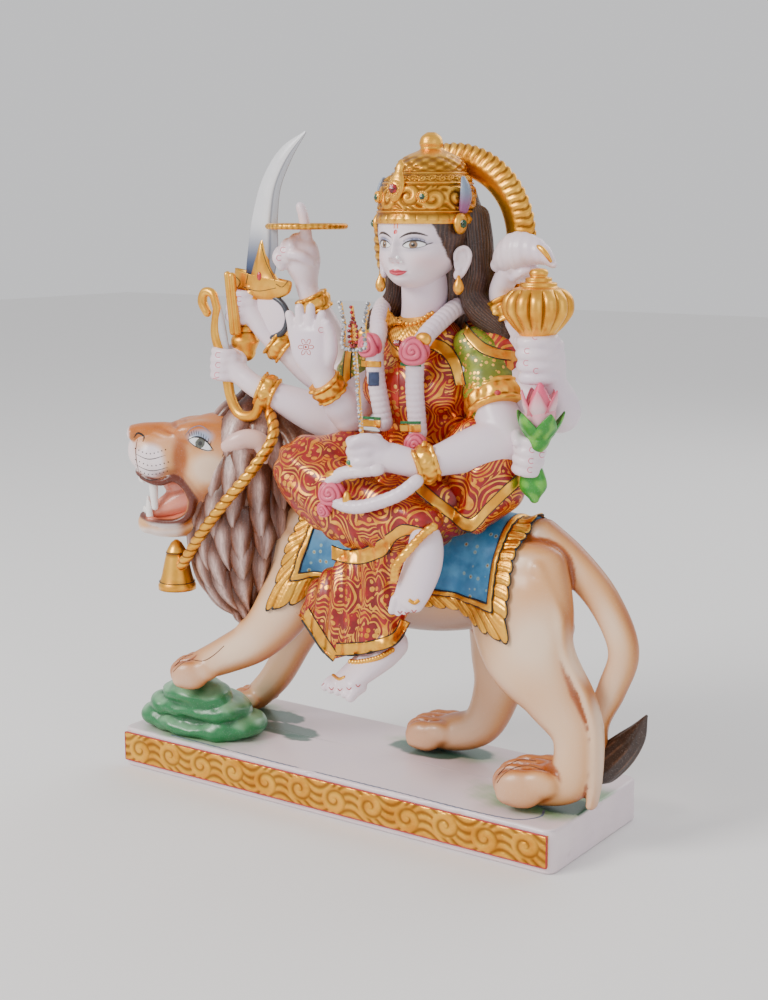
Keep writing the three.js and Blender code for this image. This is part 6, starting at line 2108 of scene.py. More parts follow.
def disc_profile():
    """Radius and height of the disc: a flat plate with a raised, rounded rim and a low step inside it."""
    lean = np.linspace(-90, 90, 13)
    rim = [(DISC_R - 2.6 + 2.6 * math.cos(math.radians(a)), 2.4 * math.sin(math.radians(a)) + 0.3)
           for a in lean]
    below = [(0.1, -1.2), (10, -1.2), (DISC_R - 8, -1.3), (DISC_R - 4, -2.0)]
    above = [(DISC_R - 5.5, 2.0), (DISC_R - 7, 1.3), (DISC_R - 9, 1.2), (9, 1.2), (7.5, 1.9), (6, 1.9),
             (0.1, 1.9)]
    return below + rim + above


disc = lathe(disc_profile(), 140, DISC_CENTRE)
spread = np.arctan2(disc.points[:, 1] - DISC_CENTRE[1], disc.points[:, 0] - DISC_CENTRE[0])
reach = np.hypot(disc.points[:, 1] - DISC_CENTRE[1], disc.points[:, 0] - DISC_CENTRE[0])
notch = (0.5 + 0.5 * np.cos(spread * 40)) * rise(reach, DISC_R - 3, DISC_R - 1)
disc = Shell(disc.points - unit((disc.points - DISC_CENTRE) * [1, 1, 0]) * (0.7 * notch)[:, None],
             disc.quads, disc.tris)
# The notches are darkened: painted shade.
piece("disc", disc, smooth_leaf, masks={"hollow": notch * 0.5})

# %% Sword
SWORD_Y = -31.0
BLADE_ACROSS = 41
GROOVE_AT = -0.52
BLADE = [
    [-87, 418, 11], [-87, 430, 14], [-83, 453, 15.5], [-80, 481, 13], [-73, 508, 10], [-58, 531, 7.0],
    [-38, 548, 0.8],
]


def blade_shell(rows=160):
    """The blade lies in an upright plane, with t from -1 to 1 across it. Half its thickness is (2.2 + 0.06
    half width) (1 - |t|^1.6) less a groove exp(-((t + 0.52) / 0.1)^2), and each edge ends 0.3 mm thick."""
    line = spline([[x, SWORD_Y, z, a] for x, z, a in BLADE], rows)
    along = unit(np.gradient(line[:, :3], axis=0))
    side = unit(np.cross(along, [0.0, 1.0, 0.0]))
    t = np.linspace(-1, 1, BLADE_ACROSS)[None, :, None]
    half = line[:, None, 3:4]
    thick = 0.3 + (2.2 + 0.06 * half) * (1 - np.abs(t) ** 1.6) * np.minimum(half / 8, 1)
    groove = np.exp(-((t - GROOVE_AT) / 0.10) ** 2) * np.minimum(half / 12, 1) ** 2
    middle = line[:, None, :3] + side[:, None] * half * t
    deep = [0, 1, 0] * (thick - groove)
    return slab(middle - deep, middle + deep)


blade = blade_shell()
across_share = np.tile(np.linspace(-1, 1, BLADE_ACROSS), len(blade.points) // BLADE_ACROSS)
blue_share = 1 - rise(blade.points[:, 2], 436, 482)
blade_paint = layered(plain(blade, (0.86, 0.86, 0.89)), [
    # The narrow facet beyond the groove is painted darker grey: painted shade.
    ((0.42, 0.43, 0.47), 1 - rise(across_share, -0.60, -0.50)),
    # A dark line in the groove: painted shade.
    ((0.10, 0.11, 0.15), np.exp(-((across_share - GROOVE_AT) / 0.07) ** 2) * 0.85),
    ((0.01, 0.06, 0.20), blue_share * rise(across_share, -0.8, 0.2)),
    ((0.03, 0.04, 0.09), blue_share * 0.5),
])


def silver_leaf(name):
    """Silver leaf on stone with a blue spray: bright, slightly crumpled."""
    material, tree, shader, place = start_finish(name)
    made = use(tree, leaf_tree, {"Place": place, "Hollow": 0.0, "Dents": 70.0, "Bright": (1, 1, 1, 1)})
    colour = mixed(tree, 0.08, reading(tree, "paint"), (0.4, 0.4, 0.42, 1))
    wire(tree, shader, {"Base Color": colour, "Roughness": made["Roughness"], "Metallic": 0.35})
    bump(tree, shader, made["Height"], 0.25, 0.0006)
    return material


silver = silver_leaf("silver_leaf")
piece("sword_blade", blade, silver, paint=blade_paint)
GRIP = [[-94, 425, 6], [-98, 408, 6.5], [-102, 390, 7], [-103, 380, 12], [-102, 371, 8]]
grip = tube(limb_rings([[x, SWORD_Y, z, a, a] for x, z, a in GRIP], 40, 0.7))
ridges = np.cos((grip.points[:, 2] - 400) * 1.25) * rise(grip.points[:, 2], 384, 388)
grip = pushed(grip, 0.55 * ridges)
# The grooves between the ridges are darkened: painted shade.
piece("sword_grip", grip, smooth_leaf, masks={"hollow": rise(-ridges, 0.1, 1.0) * 0.8})
dark_grey = stone("dark_grey_paint", (0.035, 0.042, 0.055, 1), cloud=0.6)
KNUCKLE = [(-88, 419), (-74, 418), (-62, 411), (-58, 401), (-62, 390), (-82, 381)]
knuckle = limb([[x, SWORD_Y, z, 2.4, 2.6] for x, z in KNUCKLE], 20)
piece("knuckle_guard", knuckle, dark_grey)


def plate_shell(edge, y, thick, rows=14, power=2.2):
    """A rounded plate over a closed edge of x, z points: rings shrink towards the middle and rise as
    thick (1 - s^power)^(1 / power), where s is a ring's share of the full width."""
    edge = np.asarray(edge, float)
    middle = edge.mean(axis=0)
    s = np.sin(np.linspace(0.02, math.pi / 2, rows))
    s = np.concatenate([s, s[::-1][1:]])
    high = thick * np.clip(1 - s**power, 0, 1) ** (1 / power)
    high[rows:] *= -1
    ring = middle + (edge - middle) * s[:, None, None]
    return tube(np.stack([ring[..., 0], y - high[:, None] + 0 * ring[..., 0], ring[..., 1]], axis=-1))


GUARD = [
    [-112, 440], [-113, 429], [-106, 419], [-90, 415], [-72, 415], [-56, 421], [-54, 430], [-63, 429],
    [-70, 434], [-76, 449], [-81, 467], [-89, 449], [-97, 431], [-105, 432], [-112, 440],
]
guard_edge = spline([[x, 0, z] for x, z in GUARD], 120)[:-1, [0, 2]]
guard_shell = plate_shell(guard_edge[::-1], SWORD_Y, 6.5)
piece("sword_guard", guard_shell, smooth_leaf)
web = spline([[x, 0, z] for x, z in KNUCKLE + [(-94, 398), (-88, 419)]], 100)[:-1, [0, 2]]
piece("knuckle_web", plate_shell(web, SWORD_Y, 1.8), bare_marble)

# %% Bow and arrows
BOW_Y = -46.0
BOW_CURL = [(-131, 403, 3.8), (-136, 412, 4.2), (-133, 420, 4.0), (-125, 419, 3.8), (-120, 407, 3.8)]
BOW_LIMB = [
    (-120, 407, 3.8), (-122, 385, 4.4), (-112, 360, 4.8), (-107, 334, 4.4), (-97, 320, 4.6),
    (-81, 322, 4.2), (-76, 336, 3.6),
]
bow = fuse([limb([[x, BOW_Y, z, a, a] for x, z, a in part], 24, 1.2) for part in (BOW_CURL, BOW_LIMB)], 0.9,
           3)
piece("bow", bow, smooth_leaf)
BOW_STICK = [(-123, 416, 4, 2.4), (-118, 397, 4.4, 2.6), (-112, 372, 3.6, 2.2)]
stick = limb([[x, BOW_Y + 1, z, a, b] for x, z, a, b in BOW_STICK], 22)
piece("bow_string", stick, stone("grey_marble", (0.55, 0.56, 0.60, 1), cloud=0.8))
arrows = []
for k in (-1, 0):
    tip, foot_end = (-106 + k * 4, BOW_Y + 3 + k, 434 - k), (-101 + k * 4, BOW_Y + 3 + k, 388)
    arrows.append(limb([(*tip, 2.8, 3.2), (*foot_end, 2.8, 3.2)], 18))
piece("arrows", stack(arrows), smooth_leaf)

# %% Mace
MACE = np.array([169.0, -21.0, 416.0])
MACE_PROFILE = [
    (0.1, -34), (8, -33.5), (11.5, -30), (11.5, -27), (9, -25), (13, -23.5), (13.5, -20), (20, -13),
    (26.3, -4), (27, 2), (25.5, 8), (20, 13.5), (14, 16), (13.6, 18.5), (10, 19.5), (9.8, 22), (6.5, 23),
    (7.2, 25.5), (6.0, 28), (3, 29), (0.1, 29.2),
]


def mace_shell(around=196, lobes=14):
    """A lathe of the profile through a smooth curve, with `lobes` ribs on its belly. There the radius is
    multiplied by 1 - 0.17 (1 - |sin(lobes a / 2)|^0.45)."""
    line = spline([[r, 0, h] for r, h in MACE_PROFILE], 128)
    turn = circle(around)
    belly = rise(line[:, 2], -20, -12) * (1 - rise(line[:, 2], 10, 16))
    rib = np.abs(np.sin(turn * lobes / 2)) ** 0.45
    radius = np.maximum(line[:, :1], 0.1) * (1 - 0.17 * belly[:, None] * (1 - rib[None]))
    points = np.stack([radius * np.cos(turn), radius * np.sin(turn), line[:, 2:3] + 0 * radius],
                      axis=-1) + MACE
    # The second value darkens the sunk parts between the ribs: painted shade.
    return tube(points), with_poles(belly[:, None] * (1 - rib[None]))


mace, mace_shade = mace_shell()
piece("mace", mace, smooth_leaf, masks={"hollow": mace_shade * 0.8})

# %% Shell
SHELL = [
    [120, 3, 446, 6, 6], [126, 2, 450, 11, 10], [138, 0, 456, 15, 13.5], [152, -1, 457, 11.5, 11],
    [164, -3, 453, 7, 7], [172, -4, 447, 2.6, 2.6],
]
conch = tube(limb_rings(SHELL, 90, 0.7))
off = conch.points - np.array([138.0, 0.0, 454.0])
spiral = np.cos(off[:, 0] * 0.9 + np.arctan2(off[:, 1], off[:, 2]))
conch = pushed(conch, 0.22 * spiral * rise(off[:, 0], -20, -6))
piece("conch", conch, bare_marble)
LIP_EDGE = [[158, -7, 461, 1.2], [163, -8.5, 459.5, 2.0], [168, -8.5, 455, 2.0], [171, -7, 450, 1.2]]
piece("conch_lip", limb(LIP_EDGE, 18, 0.9), smooth_leaf)

# %% Lotus bud, its sepals and leaf
BUD = np.array([178.0, -32.0, 336.0])
BUD_CORE = [
    [177, -32, 316, 5, 5], [178, -32, 328, 11, 10.5], [178.5, -32, 342, 11.5, 10.5], [178, -32, 354, 6, 6],
    [178, -32, 361, 2, 2],
]
BUD_PINK, LEAF_GREEN = (0.80, 0.10, 0.20), (0.02, 0.26, 0.015)
bud_core = fuse([limb(BUD_CORE, 40, 1)], 1.0, 2)
bud_paint = two_tone(bud_core, (0.88, 0.50, 0.55), BUD_PINK, rise(bud_core.points[:, 2], 330, 356))
piece("lotus_bud", bud_core, brushed_marble, paint=bud_paint)


PETAL_ACROSS = 13


def petal(foot, lean, spin, long, wide, out, thick=1.0, rows=22):
    """A petal: s runs along it and t across it. Half width = wide sin(pi s^0.75)^0.8, it leans out as
    out sin(pi s / 1.6), and it is cupped by a third of the half width times t^2."""
    s = np.linspace(0.02, 0.99, rows)[:, None]
    t = np.linspace(-1, 1, PETAL_ACROSS)[None]
    half = wide * np.sin(math.pi * s**0.75) ** 0.8
    x = out * np.sin(math.pi * s / 1.6) - half * t**2 / 3 + 0.5
    grid = np.stack([x, half * t, long * s + 0 * t], axis=-1)
    c, n = math.cos(spin), math.sin(spin)
    l, m = math.cos(lean), math.sin(lean)
    tilt = np.array([[l, 0, m], [0, 1, 0], [-m, 0, l]])
    round_ = np.array([[c, -n, 0], [n, c, 0], [0, 0, 1]])
    front, back = (g @ tilt.T @ round_.T + np.asarray(foot) for g in (grid, grid - [thick, 0, 0]))
    return slab(front, back)


def petal_ring(start, reach, low, *form):
    """Five petals round the bud; `reach` mm from its middle, `low` mm under it."""
    turns = np.arange(5) * 2 * math.pi / 5 - start
    lean, *rest = form
    return [petal(BUD + [reach * math.cos(a), reach * math.sin(a), -low], lean, a, *rest) for a in turns]


pink = stack(petal_ring(1.2, 2.5, 12, 0.16, 35, 8.5, 6.5))
petal_side = np.abs(np.tile(np.linspace(-1, 1, PETAL_ACROSS), len(pink.points) // PETAL_ACROSS))
pink_paint = two_tone(pink, (0.90, 0.62, 0.64), BUD_PINK, rise(pink.points[:, 2], 338, 362) * 0.8)
pink_paint = over(pink_paint, (0.74, 0.06, 0.14), rise(petal_side, 0.5, 1.0) * 0.85)
piece("lotus_petals", pink, brushed_marble, paint=pink_paint)
BUD_STEM = [[172, -29, 312, 5], [177, -32, 318, 8], [178, -32, 323, 9.5]]
green = stack(petal_ring(0.6, 3, 20, 0.34, 29, 9, 7) + [limb(BUD_STEM, 24, 1)])
green_paint = two_tone(green, LEAF_GREEN, (0.14, 0.46, 0.04), rise(ripple(green.points, 9, 81), -0.2, 0.7))
piece("lotus_sepals", green, brushed_marble, paint=green_paint)
LOTUS_LEAF = [
    [169, -27, 302, 6, 5], [170, -27, 292, 10, 6.5], [171, -27, 282, 11, 7], [172, -27, 274, 4, 3.5],
]
leaf_part = fuse([limb(LOTUS_LEAF, 32, 1)], 1.0, 3)
leaf_paint = two_tone(leaf_part, LEAF_GREEN, (0.12, 0.44, 0.04),
                      rise(ripple(leaf_part.points, 10, 82), -0.2, 0.7))
piece("lotus_leaf", leaf_part, brushed_marble, paint=leaf_paint)

# %% [markdown]
# ## Sleeves, cape and jewellery

# %% Sleeves and cape
SLEEVE = [[44, -2, 384, 15, 19], [58, -4, 368, 21, 23], [67, -9, 344, 22.5, 23.5]]
sleeves = fuse([limb([[58 + s * x, y, z, a, b] for x, y, z, a, b in SLEEVE], 40) for s in (1, -0.9)], 1.5, 4)
creases = np.sin(sleeves.points[:, 2] * 0.42 + 1.4 * ripple(sleeves.points, 40, 91)) * 0.5
sleeves = pushed(sleeves, creases)
piece("sleeves", sleeves, green_cloth, masks=in_hollows(sleeves, 10, 2))
CAPE = [[92, 16, 398, 12, 12], [112, 10, 388, 16, 14], [128, 2, 372, 14, 17], [133, -4, 357, 9, 14]]
cape = fuse([limb(CAPE, 36)], 1.5, 4)
piece("cape", cape, striped_cape, masks=in_hollows(cape, 8, 1))

# %% Bracelets, armlets and anklets
def cuff(centre, axis, radius, width, lozenges=11, seed=1):
    """A gold cuff: a lathe whose profile has a raised middle and rolled edges. Its middle is beaten into
    lozenges, 0.6 cos(n turn) cos(pi h / w) high, and dented by 0.5 mm of noise. `axis` is its direction."""
    w = width / 2
    half = [(1.3, 0.35), (0.5, 0.6), (1.5, 0.75), (1.3, 0.92), (0, 1), (-0.4 * radius, 1)]
    profile = [(r, -h) for r, h in half[::-1]] + [(1.8, 0)] + half
    line = spline([[radius + r, 0, w * h] for r, h in profile], 36)
    turn = circle(92)
    outer = rise(line[:, :1], radius - 1, radius)
    ring = line[:, :1] + 0.6 * np.cos(turn[None] * lozenges) * np.cos(math.pi * line[:, 2:3] / w) * outer
    made = np.stack([ring * np.cos(turn), ring * np.sin(turn), line[:, 2:3] + 0 * ring], axis=-1)
    made = tube(made * (1 + 0.5 / radius * ripple(made.reshape(-1, 3), 7, seed).reshape(ring.shape)
                        * outer)[..., None])
    z = unit(np.asarray(axis, float))
    x = unit(np.cross([0.0, 0.31, 0.95], z))
    y = np.cross(z, x)
    return Shell(made.points @ np.stack([x, y, z]) + np.asarray(centre, float), made.quads, made.tris)


BRACELETS = {
    "disc": (0.76, 12.4, 15), "blessing": (0.80, 12.2, 15), "sword": (0.80, 12, 15),
    "bow": (0.78, 12.8, 15), "shell": (0.74, 12.6, 18), "front": (0.92, 13, 17),
}
cuffs = []
for name, (share, radius, width) in BRACELETS.items():
    _, elbow, wrist, _ = ARMS[name][0]
    cuffs.append(cuff(between(elbow, wrist, share + 0.08), np.subtract(wrist, elbow), radius, width,
                      seed=len(cuffs)))
bracelets = stack(cuffs)
piece("bracelets", bracelets, smooth_leaf, masks=in_hollows(bracelets, 3, 3))
armlet = cuff((127.6, -9.2, 342.5), (0.55, -0.45, -1.0), 23.8, 19, 15)
piece("armlet", armlet, smooth_leaf, masks=in_hollows(armlet, 3, 3))
anklet_rope, _ = twisted([(119, -84, 256), (114, -90, 251), (105, -94, 240), (94, -97, 225), (91, -95, 215)],
                         3.2, 9.0)
piece("anklets", anklet_rope, smooth_leaf)

# %% Garland strings, roses and collar
def string_of(path, radius, disks):
    """A garland: flower disks packed side by side. At s of its length and a round it the radius is
    multiplied by 0.93 + 0.07 |cos(pi disks s)|^0.6 + 0.025 cos(14 a + 3 disks s)."""
    rings = limb_rings([[*p, radius, radius] for p in path], 36, 0.72, flat=(0.3, 0.2, 0.9))
    s = np.linspace(0, 1, len(rings))[:, None]
    turn = circle(36)[None]
    grow = (0.93 + 0.07 * np.abs(np.cos(math.pi * disks * s)) ** 0.6
            + 0.025 * np.cos(turn * 14 + disks * 3 * s))
    return tube(swollen(rings, grow))


STRING_RIGHT = [
    (16, 12, 414), (20, -6, 412), (27, -22, 404), (37, -38, 393), (40, -47, 380), (41, -47, 360),
    (45, -42, 324),
]
STRING_LEFT = [
    (88, 12, 416), (87, -6, 412), (85, -22, 404), (82, -39, 393), (79, -47, 380), (77, -47, 358),
    (77, -42, 318),
]
LOOP = [
    (70, -86, 295), (56, -91, 293), (40, -93, 289), (31, -94, 280), (36, -96, 270), (54, -97, 266),
    (75, -94, 271), (92, -88, 279), (101, -80, 288),
]
garlands = stack([string_of(STRING_RIGHT, 7.2, 30), string_of(STRING_LEFT, 7.2, 31),
                  string_of(LOOP, 5.2, 24)])
piece("garlands", garlands, bare_marble)


def rose(centre, radius, facing, around=76, rows=50):
    """A carved rose is a ball cut by a spiral. With r the share of the ball's radius from its middle and a
    the turn, the ridge is |cos(pi (2.6 r + a / 2 pi) + 0.5 sin 3a)|^0.7, and it adds 0.16 of the radius."""
    z = unit(np.asarray(facing, float))
    x = unit(np.cross([0.0, 0.2, 1.0], z))
    lean = np.linspace(0.02, math.pi * 0.97, rows)[:, None]
    a = circle(around)[None]
    r = np.sin(np.minimum(lean, math.pi / 2)) + 0.35 * np.maximum(lean - math.pi / 2, 0)
    ridge = np.abs(np.cos(math.pi * (2.6 * r + a / (2 * math.pi)) + 0.5 * np.sin(3 * a) * r)) ** 0.7
    size = radius * (0.86 + 0.16 * ridge)
    wide = size * np.sin(lean)
    ball = np.stack([wide * np.cos(a), wide * np.sin(a), size * np.cos(lean) * 0.8], axis=-1)
    shell = tube(ball[::-1] @ np.stack([x, np.cross(z, x), z]) + np.asarray(centre, float))
    return shell, with_poles((1 - ridge)[::-1])


ROSES = [
    ((38.5, -52, 384), 10.5, (-0.1, -1, 0.15)), ((80, -52, 381.5), 12, (0.4, -1, 0.15)),
    ((82, -53, 311), 9, (0.4, -1, 0)), ((34, -96, 274), 10.5, (0.3, -1, 0.2)),
    ((27, -96, 261), 6.5, (0, -1, -0.1)),
]
made = [rose(*r) for r in ROSES]
roses = stack([shell for shell, _ in made])
rose_shade = np.concatenate([dark for _, dark in made])
# The grooves between the petals are painted dark red: painted shade.
rose_paint = two_tone(roses, (0.76, 0.12, 0.20), (0.40, 0.01, 0.05), rise(rose_shade, 0.25, 0.9))
piece("roses", roses, brushed_marble, paint=rose_paint)

COLLAR = [[58, -14, 398, 25, 12], [59, -27, 390, 21, 10], [59, -35, 380, 12, 7.5]]
collar = fuse([limb(COLLAR, 40)], 1.2, 3)
piece("collar", collar, fine_leaf, masks=in_hollows(collar, 8, 2))

# %% [markdown]
# ## Gold borders and small brushwork
# The cloth is edged with gold, and each edge has a black line. A border is drawn in the picture as two
# lines. Rays between them find its places on the cloth, and a thin closed sheet is laid there. A ray that
# misses takes its row's mean distance, or its neighbours' where a whole row misses.

# %% Sheets laid between two lines
def between_lines(tree, edge_a, edge_b, across=9, count=70):
    """Places on a shell between two lines of the picture, and the normals there, facing the camera."""
    a = spline([[x, y, 0] for x, y in edge_a], count)[:, :2]
    b = spline([[x, y, 0] for x, y in edge_b], count)[:, :2]
    t = np.linspace(0, 1, across)[None, :, None]
    pixels = (a[:, None] * (1 - t) + b[:, None] * t).reshape(-1, 2)
    rays = [sight(p) for p in pixels]
    hits = [tree.ray_cast(EYE * 1000, ray) for ray in rays]
    far = np.array([h[3] if h[0] is not None else np.nan for h in hits]).reshape(count, across)
    seen = ~np.isnan(far)
    rows_seen = np.flatnonzero(seen.any(axis=1))
    row_far = np.interp(np.arange(count), rows_seen, np.nanmedian(far[rows_seen], axis=1))[:, None]
    far = np.where(seen & (np.abs(far - row_far) < 9), far, row_far)
    grid = np.array(EYE) * 1000 + np.array(rays).reshape(count, across, 3) * far[..., None]
    flat = open_sheet(grid)
    grid = soften(flat, flat.points, 2).reshape(count, across, 3)
    facing = unit(np.cross(np.gradient(grid, axis=1), np.gradient(grid, axis=0)))
    if (facing @ np.array(towards)).mean() < 0:
        grid, facing = grid[:, ::-1], -facing[:, ::-1]
    return grid, facing


def stroke(tree, pixels, width, lift=0.22, count=16):
    """A brush line under a line of the picture, in a list; the list is empty where the shell isn't under
    it."""
    points, facing = laid(tree, pixels, count)
    return [ribbon(points, facing, width, lift, dip=0.3)] if len(points) > 4 else []


def sheet_on(tree, edges, lift, deep, across=9, count=70):
    """A closed sheet between two lines of the picture, from `lift` above the shell to `deep` inside it."""
    grid, facing = between_lines(tree, *edges, across, count)
    return slab(grid + facing * lift, grid - facing * deep)


edge_lines = []
BORDER_LIFT = 0.7


def border(tree, edge_a, edge_b):
    """A gold sheet between two lines, a little domed, with a black line laid along both edges."""
    grid, facing = between_lines(tree, edge_a, edge_b)
    t = np.linspace(-1, 1, grid.shape[1])[None, :, None]
    for k in (0, -1):
        edge_lines.append(ribbon(grid[:, k], facing[:, k], 0.42, BORDER_LIFT + 0.25, dip=0.8))
    return slab(grid + facing * BORDER_LIFT * (1 - 0.5 * t**4), grid - facing * 1.2)


cloth_tree_all = tree_of(stack([bodice, skirt, over_skirt, sleeves, cape]))
collar_tree = tree_of(stack([bodice, neck, collar]))
garland_tree = tree_of(garlands)
print("search trees ready")

# %% Borders of the saree, the blouse and the cape
HEM_LEFT = (
    [(309, 607), (318, 622), (328, 638), (337, 652)], [(301, 620), (311, 635), (321, 650), (333, 662)],
)
HEM_LOW = (
    [(336, 643), (352, 642), (367, 641), (393, 632), (400, 619)],
    [(334, 656), (352, 656), (371, 653), (396, 645), (411, 623)],
)
LAP_EDGE = (
    [(331, 544), (344, 549), (360, 548), (374, 542), (390, 531), (402, 524), (424, 528)],
    [(331, 560), (344, 563.5), (360, 565), (375, 561), (386, 556), (397, 540), (424, 532)],
)
PALLU = (
    [(411, 489), (430, 505), (450, 520), (470, 533), (490, 514), (510, 495), (528, 479)],
    [(421, 480), (436, 494), (452, 506), (470, 518), (487, 502), (502, 487), (517, 474)],
)
BLOUSE_RIGHT = (
    [(431, 337), (446, 342), (459, 357), (467, 385)], [(428, 349), (439, 354), (449, 366), (455, 386)],
)
BLOUSE_LEFT = (
    [(346, 347), (343, 370), (343, 392), (345, 412)], [(353, 347), (351, 370), (352, 392), (353, 412)],
)
CAPE_EDGE = (
    [(457, 320), (466, 339), (480, 353), (496, 359), (511, 361)],
    [(461, 312), (470, 328), (484, 342), (498, 348), (512, 350)],
)
EDGES = [HEM_LEFT, HEM_LOW, LAP_EDGE, PALLU, BLOUSE_RIGHT, BLOUSE_LEFT, CAPE_EDGE]
piece("cloth_borders", stack([border(cloth_tree_all, *edges) for edges in EDGES]), smooth_leaf)

STRIP = ([(382, 352), (382, 380), (383, 405), (388, 432)], [(400, 352), (400, 380), (400, 405), (402, 432)])
strip_cloth = brocade("strip_brocade", (0.62, 0.03, 0.01, 1), (1.0, 0.62, 0.16, 1), cells=80.0, pitch=0.0026,
                      fill=0.62)
gold_strip = sheet_on(cloth_tree_all, STRIP, 0.6, 1)
piece("gold_strip", gold_strip, strip_cloth, masks={"hollow": np.zeros(len(gold_strip.points))})

# %% [markdown]
# The necklace lies on the neck and chest. Its top edge is a row of small scallops, and its sheet is
# hammered: a field of low bosses of about 3 mm.

# %% Necklace
NECK_TOP = [(388, 306), (392, 315), (400, 322), (410, 325), (420, 322), (432, 313)]
NECK_LOW = [(384, 329), (390, 341), (397, 350), (406, 355), (416, 346), (430, 329)]
grid, facing = between_lines(collar_tree, NECK_TOP, NECK_LOW, 34, 90)
run, fall = np.linspace(0, 1, len(grid))[:, None], np.linspace(0, 1, grid.shape[1])[None]
bosses = 0.5 + 0.5 * np.cos(run * 92) * np.cos(fall * 30 + 1.2 * np.sin(run * 30))
height = (0.7 + 0.55 * bosses) * np.sin(math.pi * np.clip(fall, 0.03, 0.97)) ** 0.3
necklace = slab(grid + facing * height[..., None], grid - facing * 1.5)
# The hollows between the bosses are darkened: painted shade.
boss_shade = np.concatenate([(0.6 - 0.6 * bosses).ravel(), np.zeros(bosses.size)])
piece("necklace", necklace, fine_leaf, masks={"hollow": boss_shade})
rim, rim_facing = laid(collar_tree, NECK_TOP, 15)
piece("necklace_rim", bead_row(rim + rim_facing * 0.8, 1.9, 12, 8), fine_leaf)
edge_lines.append(ribbon(*laid(collar_tree, [(x, y - 2.3) for x, y in NECK_TOP], 70), 0.32, 0.7, dip=0.8))
edge_lines.append(ribbon(*laid(collar_tree, NECK_LOW, 70), 0.32, 1.0, dip=0.8))

# %% Ends of the garland strings, and the blue label between them
END_BANDS = [
    ([(362, 419), (381, 420)], [(362, 427), (381, 428)]),
    ([(400, 424), (421, 424)], [(400, 432), (421, 433)]),
    ([(361, 360), (381, 361)], [(361, 367), (381, 368)]),
]
GREEN_ENDS = [
    ([(362, 416), (381, 417)], [(362, 419), (381, 420)]),
    ([(400, 421), (421, 421)], [(400, 424), (421, 424)]),
    ([(400, 362), (421, 363)], [(400, 366), (421, 367)]),
]
LABEL = [([(369, 371), (379, 371)], [(369, 387), (379, 387)])]


def bands(pairs, lift):
    """Closed sheets on the garlands, one for each pair of lines."""
    return stack([sheet_on(garland_tree, edges, lift, 1.2, 7, 30) for edges in pairs])


green_line = line_paint("green_line", (0.02, 0.20, 0.06, 1))
piece("garland_caps", bands(END_BANDS, 0.8), smooth_leaf)
piece("garland_green_ends", bands(GREEN_ENDS, 0.6), green_line)
piece("garland_label", bands(LABEL, 0.9), line_paint("slate_blue_line", (0.035, 0.055, 0.13, 1)))
CAPS = [
    ((49, -97, 270), (3.4, 4, 8)), ((95, -60, 309), (3, 4, 7)), ((30, -49, 392), (6, 4, 5)),
    ((86, -49, 391), (7, 4.5, 5.5)),
]
rose_caps = [egg((35, -93.5, 288), (8.5, 4.5, 4.0), 24, 14)] + [egg(*cap, 20, 12) for cap in CAPS]
piece("rose_caps", stack(rose_caps), smooth_leaf)

# %% [markdown]
# ## The saddle cloth's border
# Its loops run round the cloth at a distance from the edge, so they are read from the sheet by length along
# and across. The outer loop swings in scallops, and at each corner it runs out to a leaf's tip.

# %% Gold border round the saddle cloth
def on_sheet(across, round_):
    """Places on the spare-width sheet, from mm across (0 at its middle) and mm round the back (0 on top)."""
    rows, cols, _ = sheet.shape
    i = np.clip((0.5 + round_ / (CLOTH_ROUND + 2 * CLOTH_SPARE)) * (rows - 1), 0, rows - 1.001)
    j = np.clip((0.5 + across / (CLOTH_ACROSS + 2 * CLOTH_SPARE)) * (cols - 1), 0, cols - 1.001)
    i0, j0 = i.astype(int), j.astype(int)
    fi, fj = (i - i0)[..., None], (j - j0)[..., None]
    near_row, far_row = (1 - fi) * (1 - fj), fi * (1 - fj)

    def read(g):
        """A value of the grid g between its four nearest places."""
        return (g[i0, j0] * near_row + g[i0 + 1, j0] * far_row + g[i0, j0 + 1] * (1 - fi) * fj
                + g[i0 + 1, j0 + 1] * fi * fj)

    return read(sheet), unit(read(sheet_out))


BORDER_WIDE, SCALLOPS, LEAF_TIP = 18.5, 76, 9.0
BAR_START = 0.74
LOOP_COUNT = 1064
half_across, half_round = CLOTH_ACROSS / 2, CLOTH_ROUND / 2
edge = outline(half_across, half_round, 6, LOOP_COUNT)
middle_way = unit(edge * [1 / half_across, 1 / half_round])
from_corner = np.abs(edge) - [half_across, half_round]
corner_share = np.exp(-(from_corner[:, 0] ** 2 + from_corner[:, 1] ** 2) / 30)
phase = np.arange(LOOP_COUNT) / LOOP_COUNT * math.pi * SCALLOPS
swing = np.abs(np.sin(phase)) ** 0.6
outward = 3.0 * swing - 1.4 + LEAF_TIP * 0.6 * corner_share


def loop(inset, lift):
    """One loop of the border: `inset` 0 is the scalloped outside and 1 the inner edge."""
    inwards = BORDER_WIDE * inset
    flat = outline(half_across - inwards, half_round - inwards, max(6 - 5 * inset, 1), LOOP_COUNT)
    flat = flat + middle_way * (outward * (1 - inset))[:, None]
    points, out = on_sheet(flat[:, 0], flat[:, 1])
    return points + out * np.reshape(lift, (-1, 1))


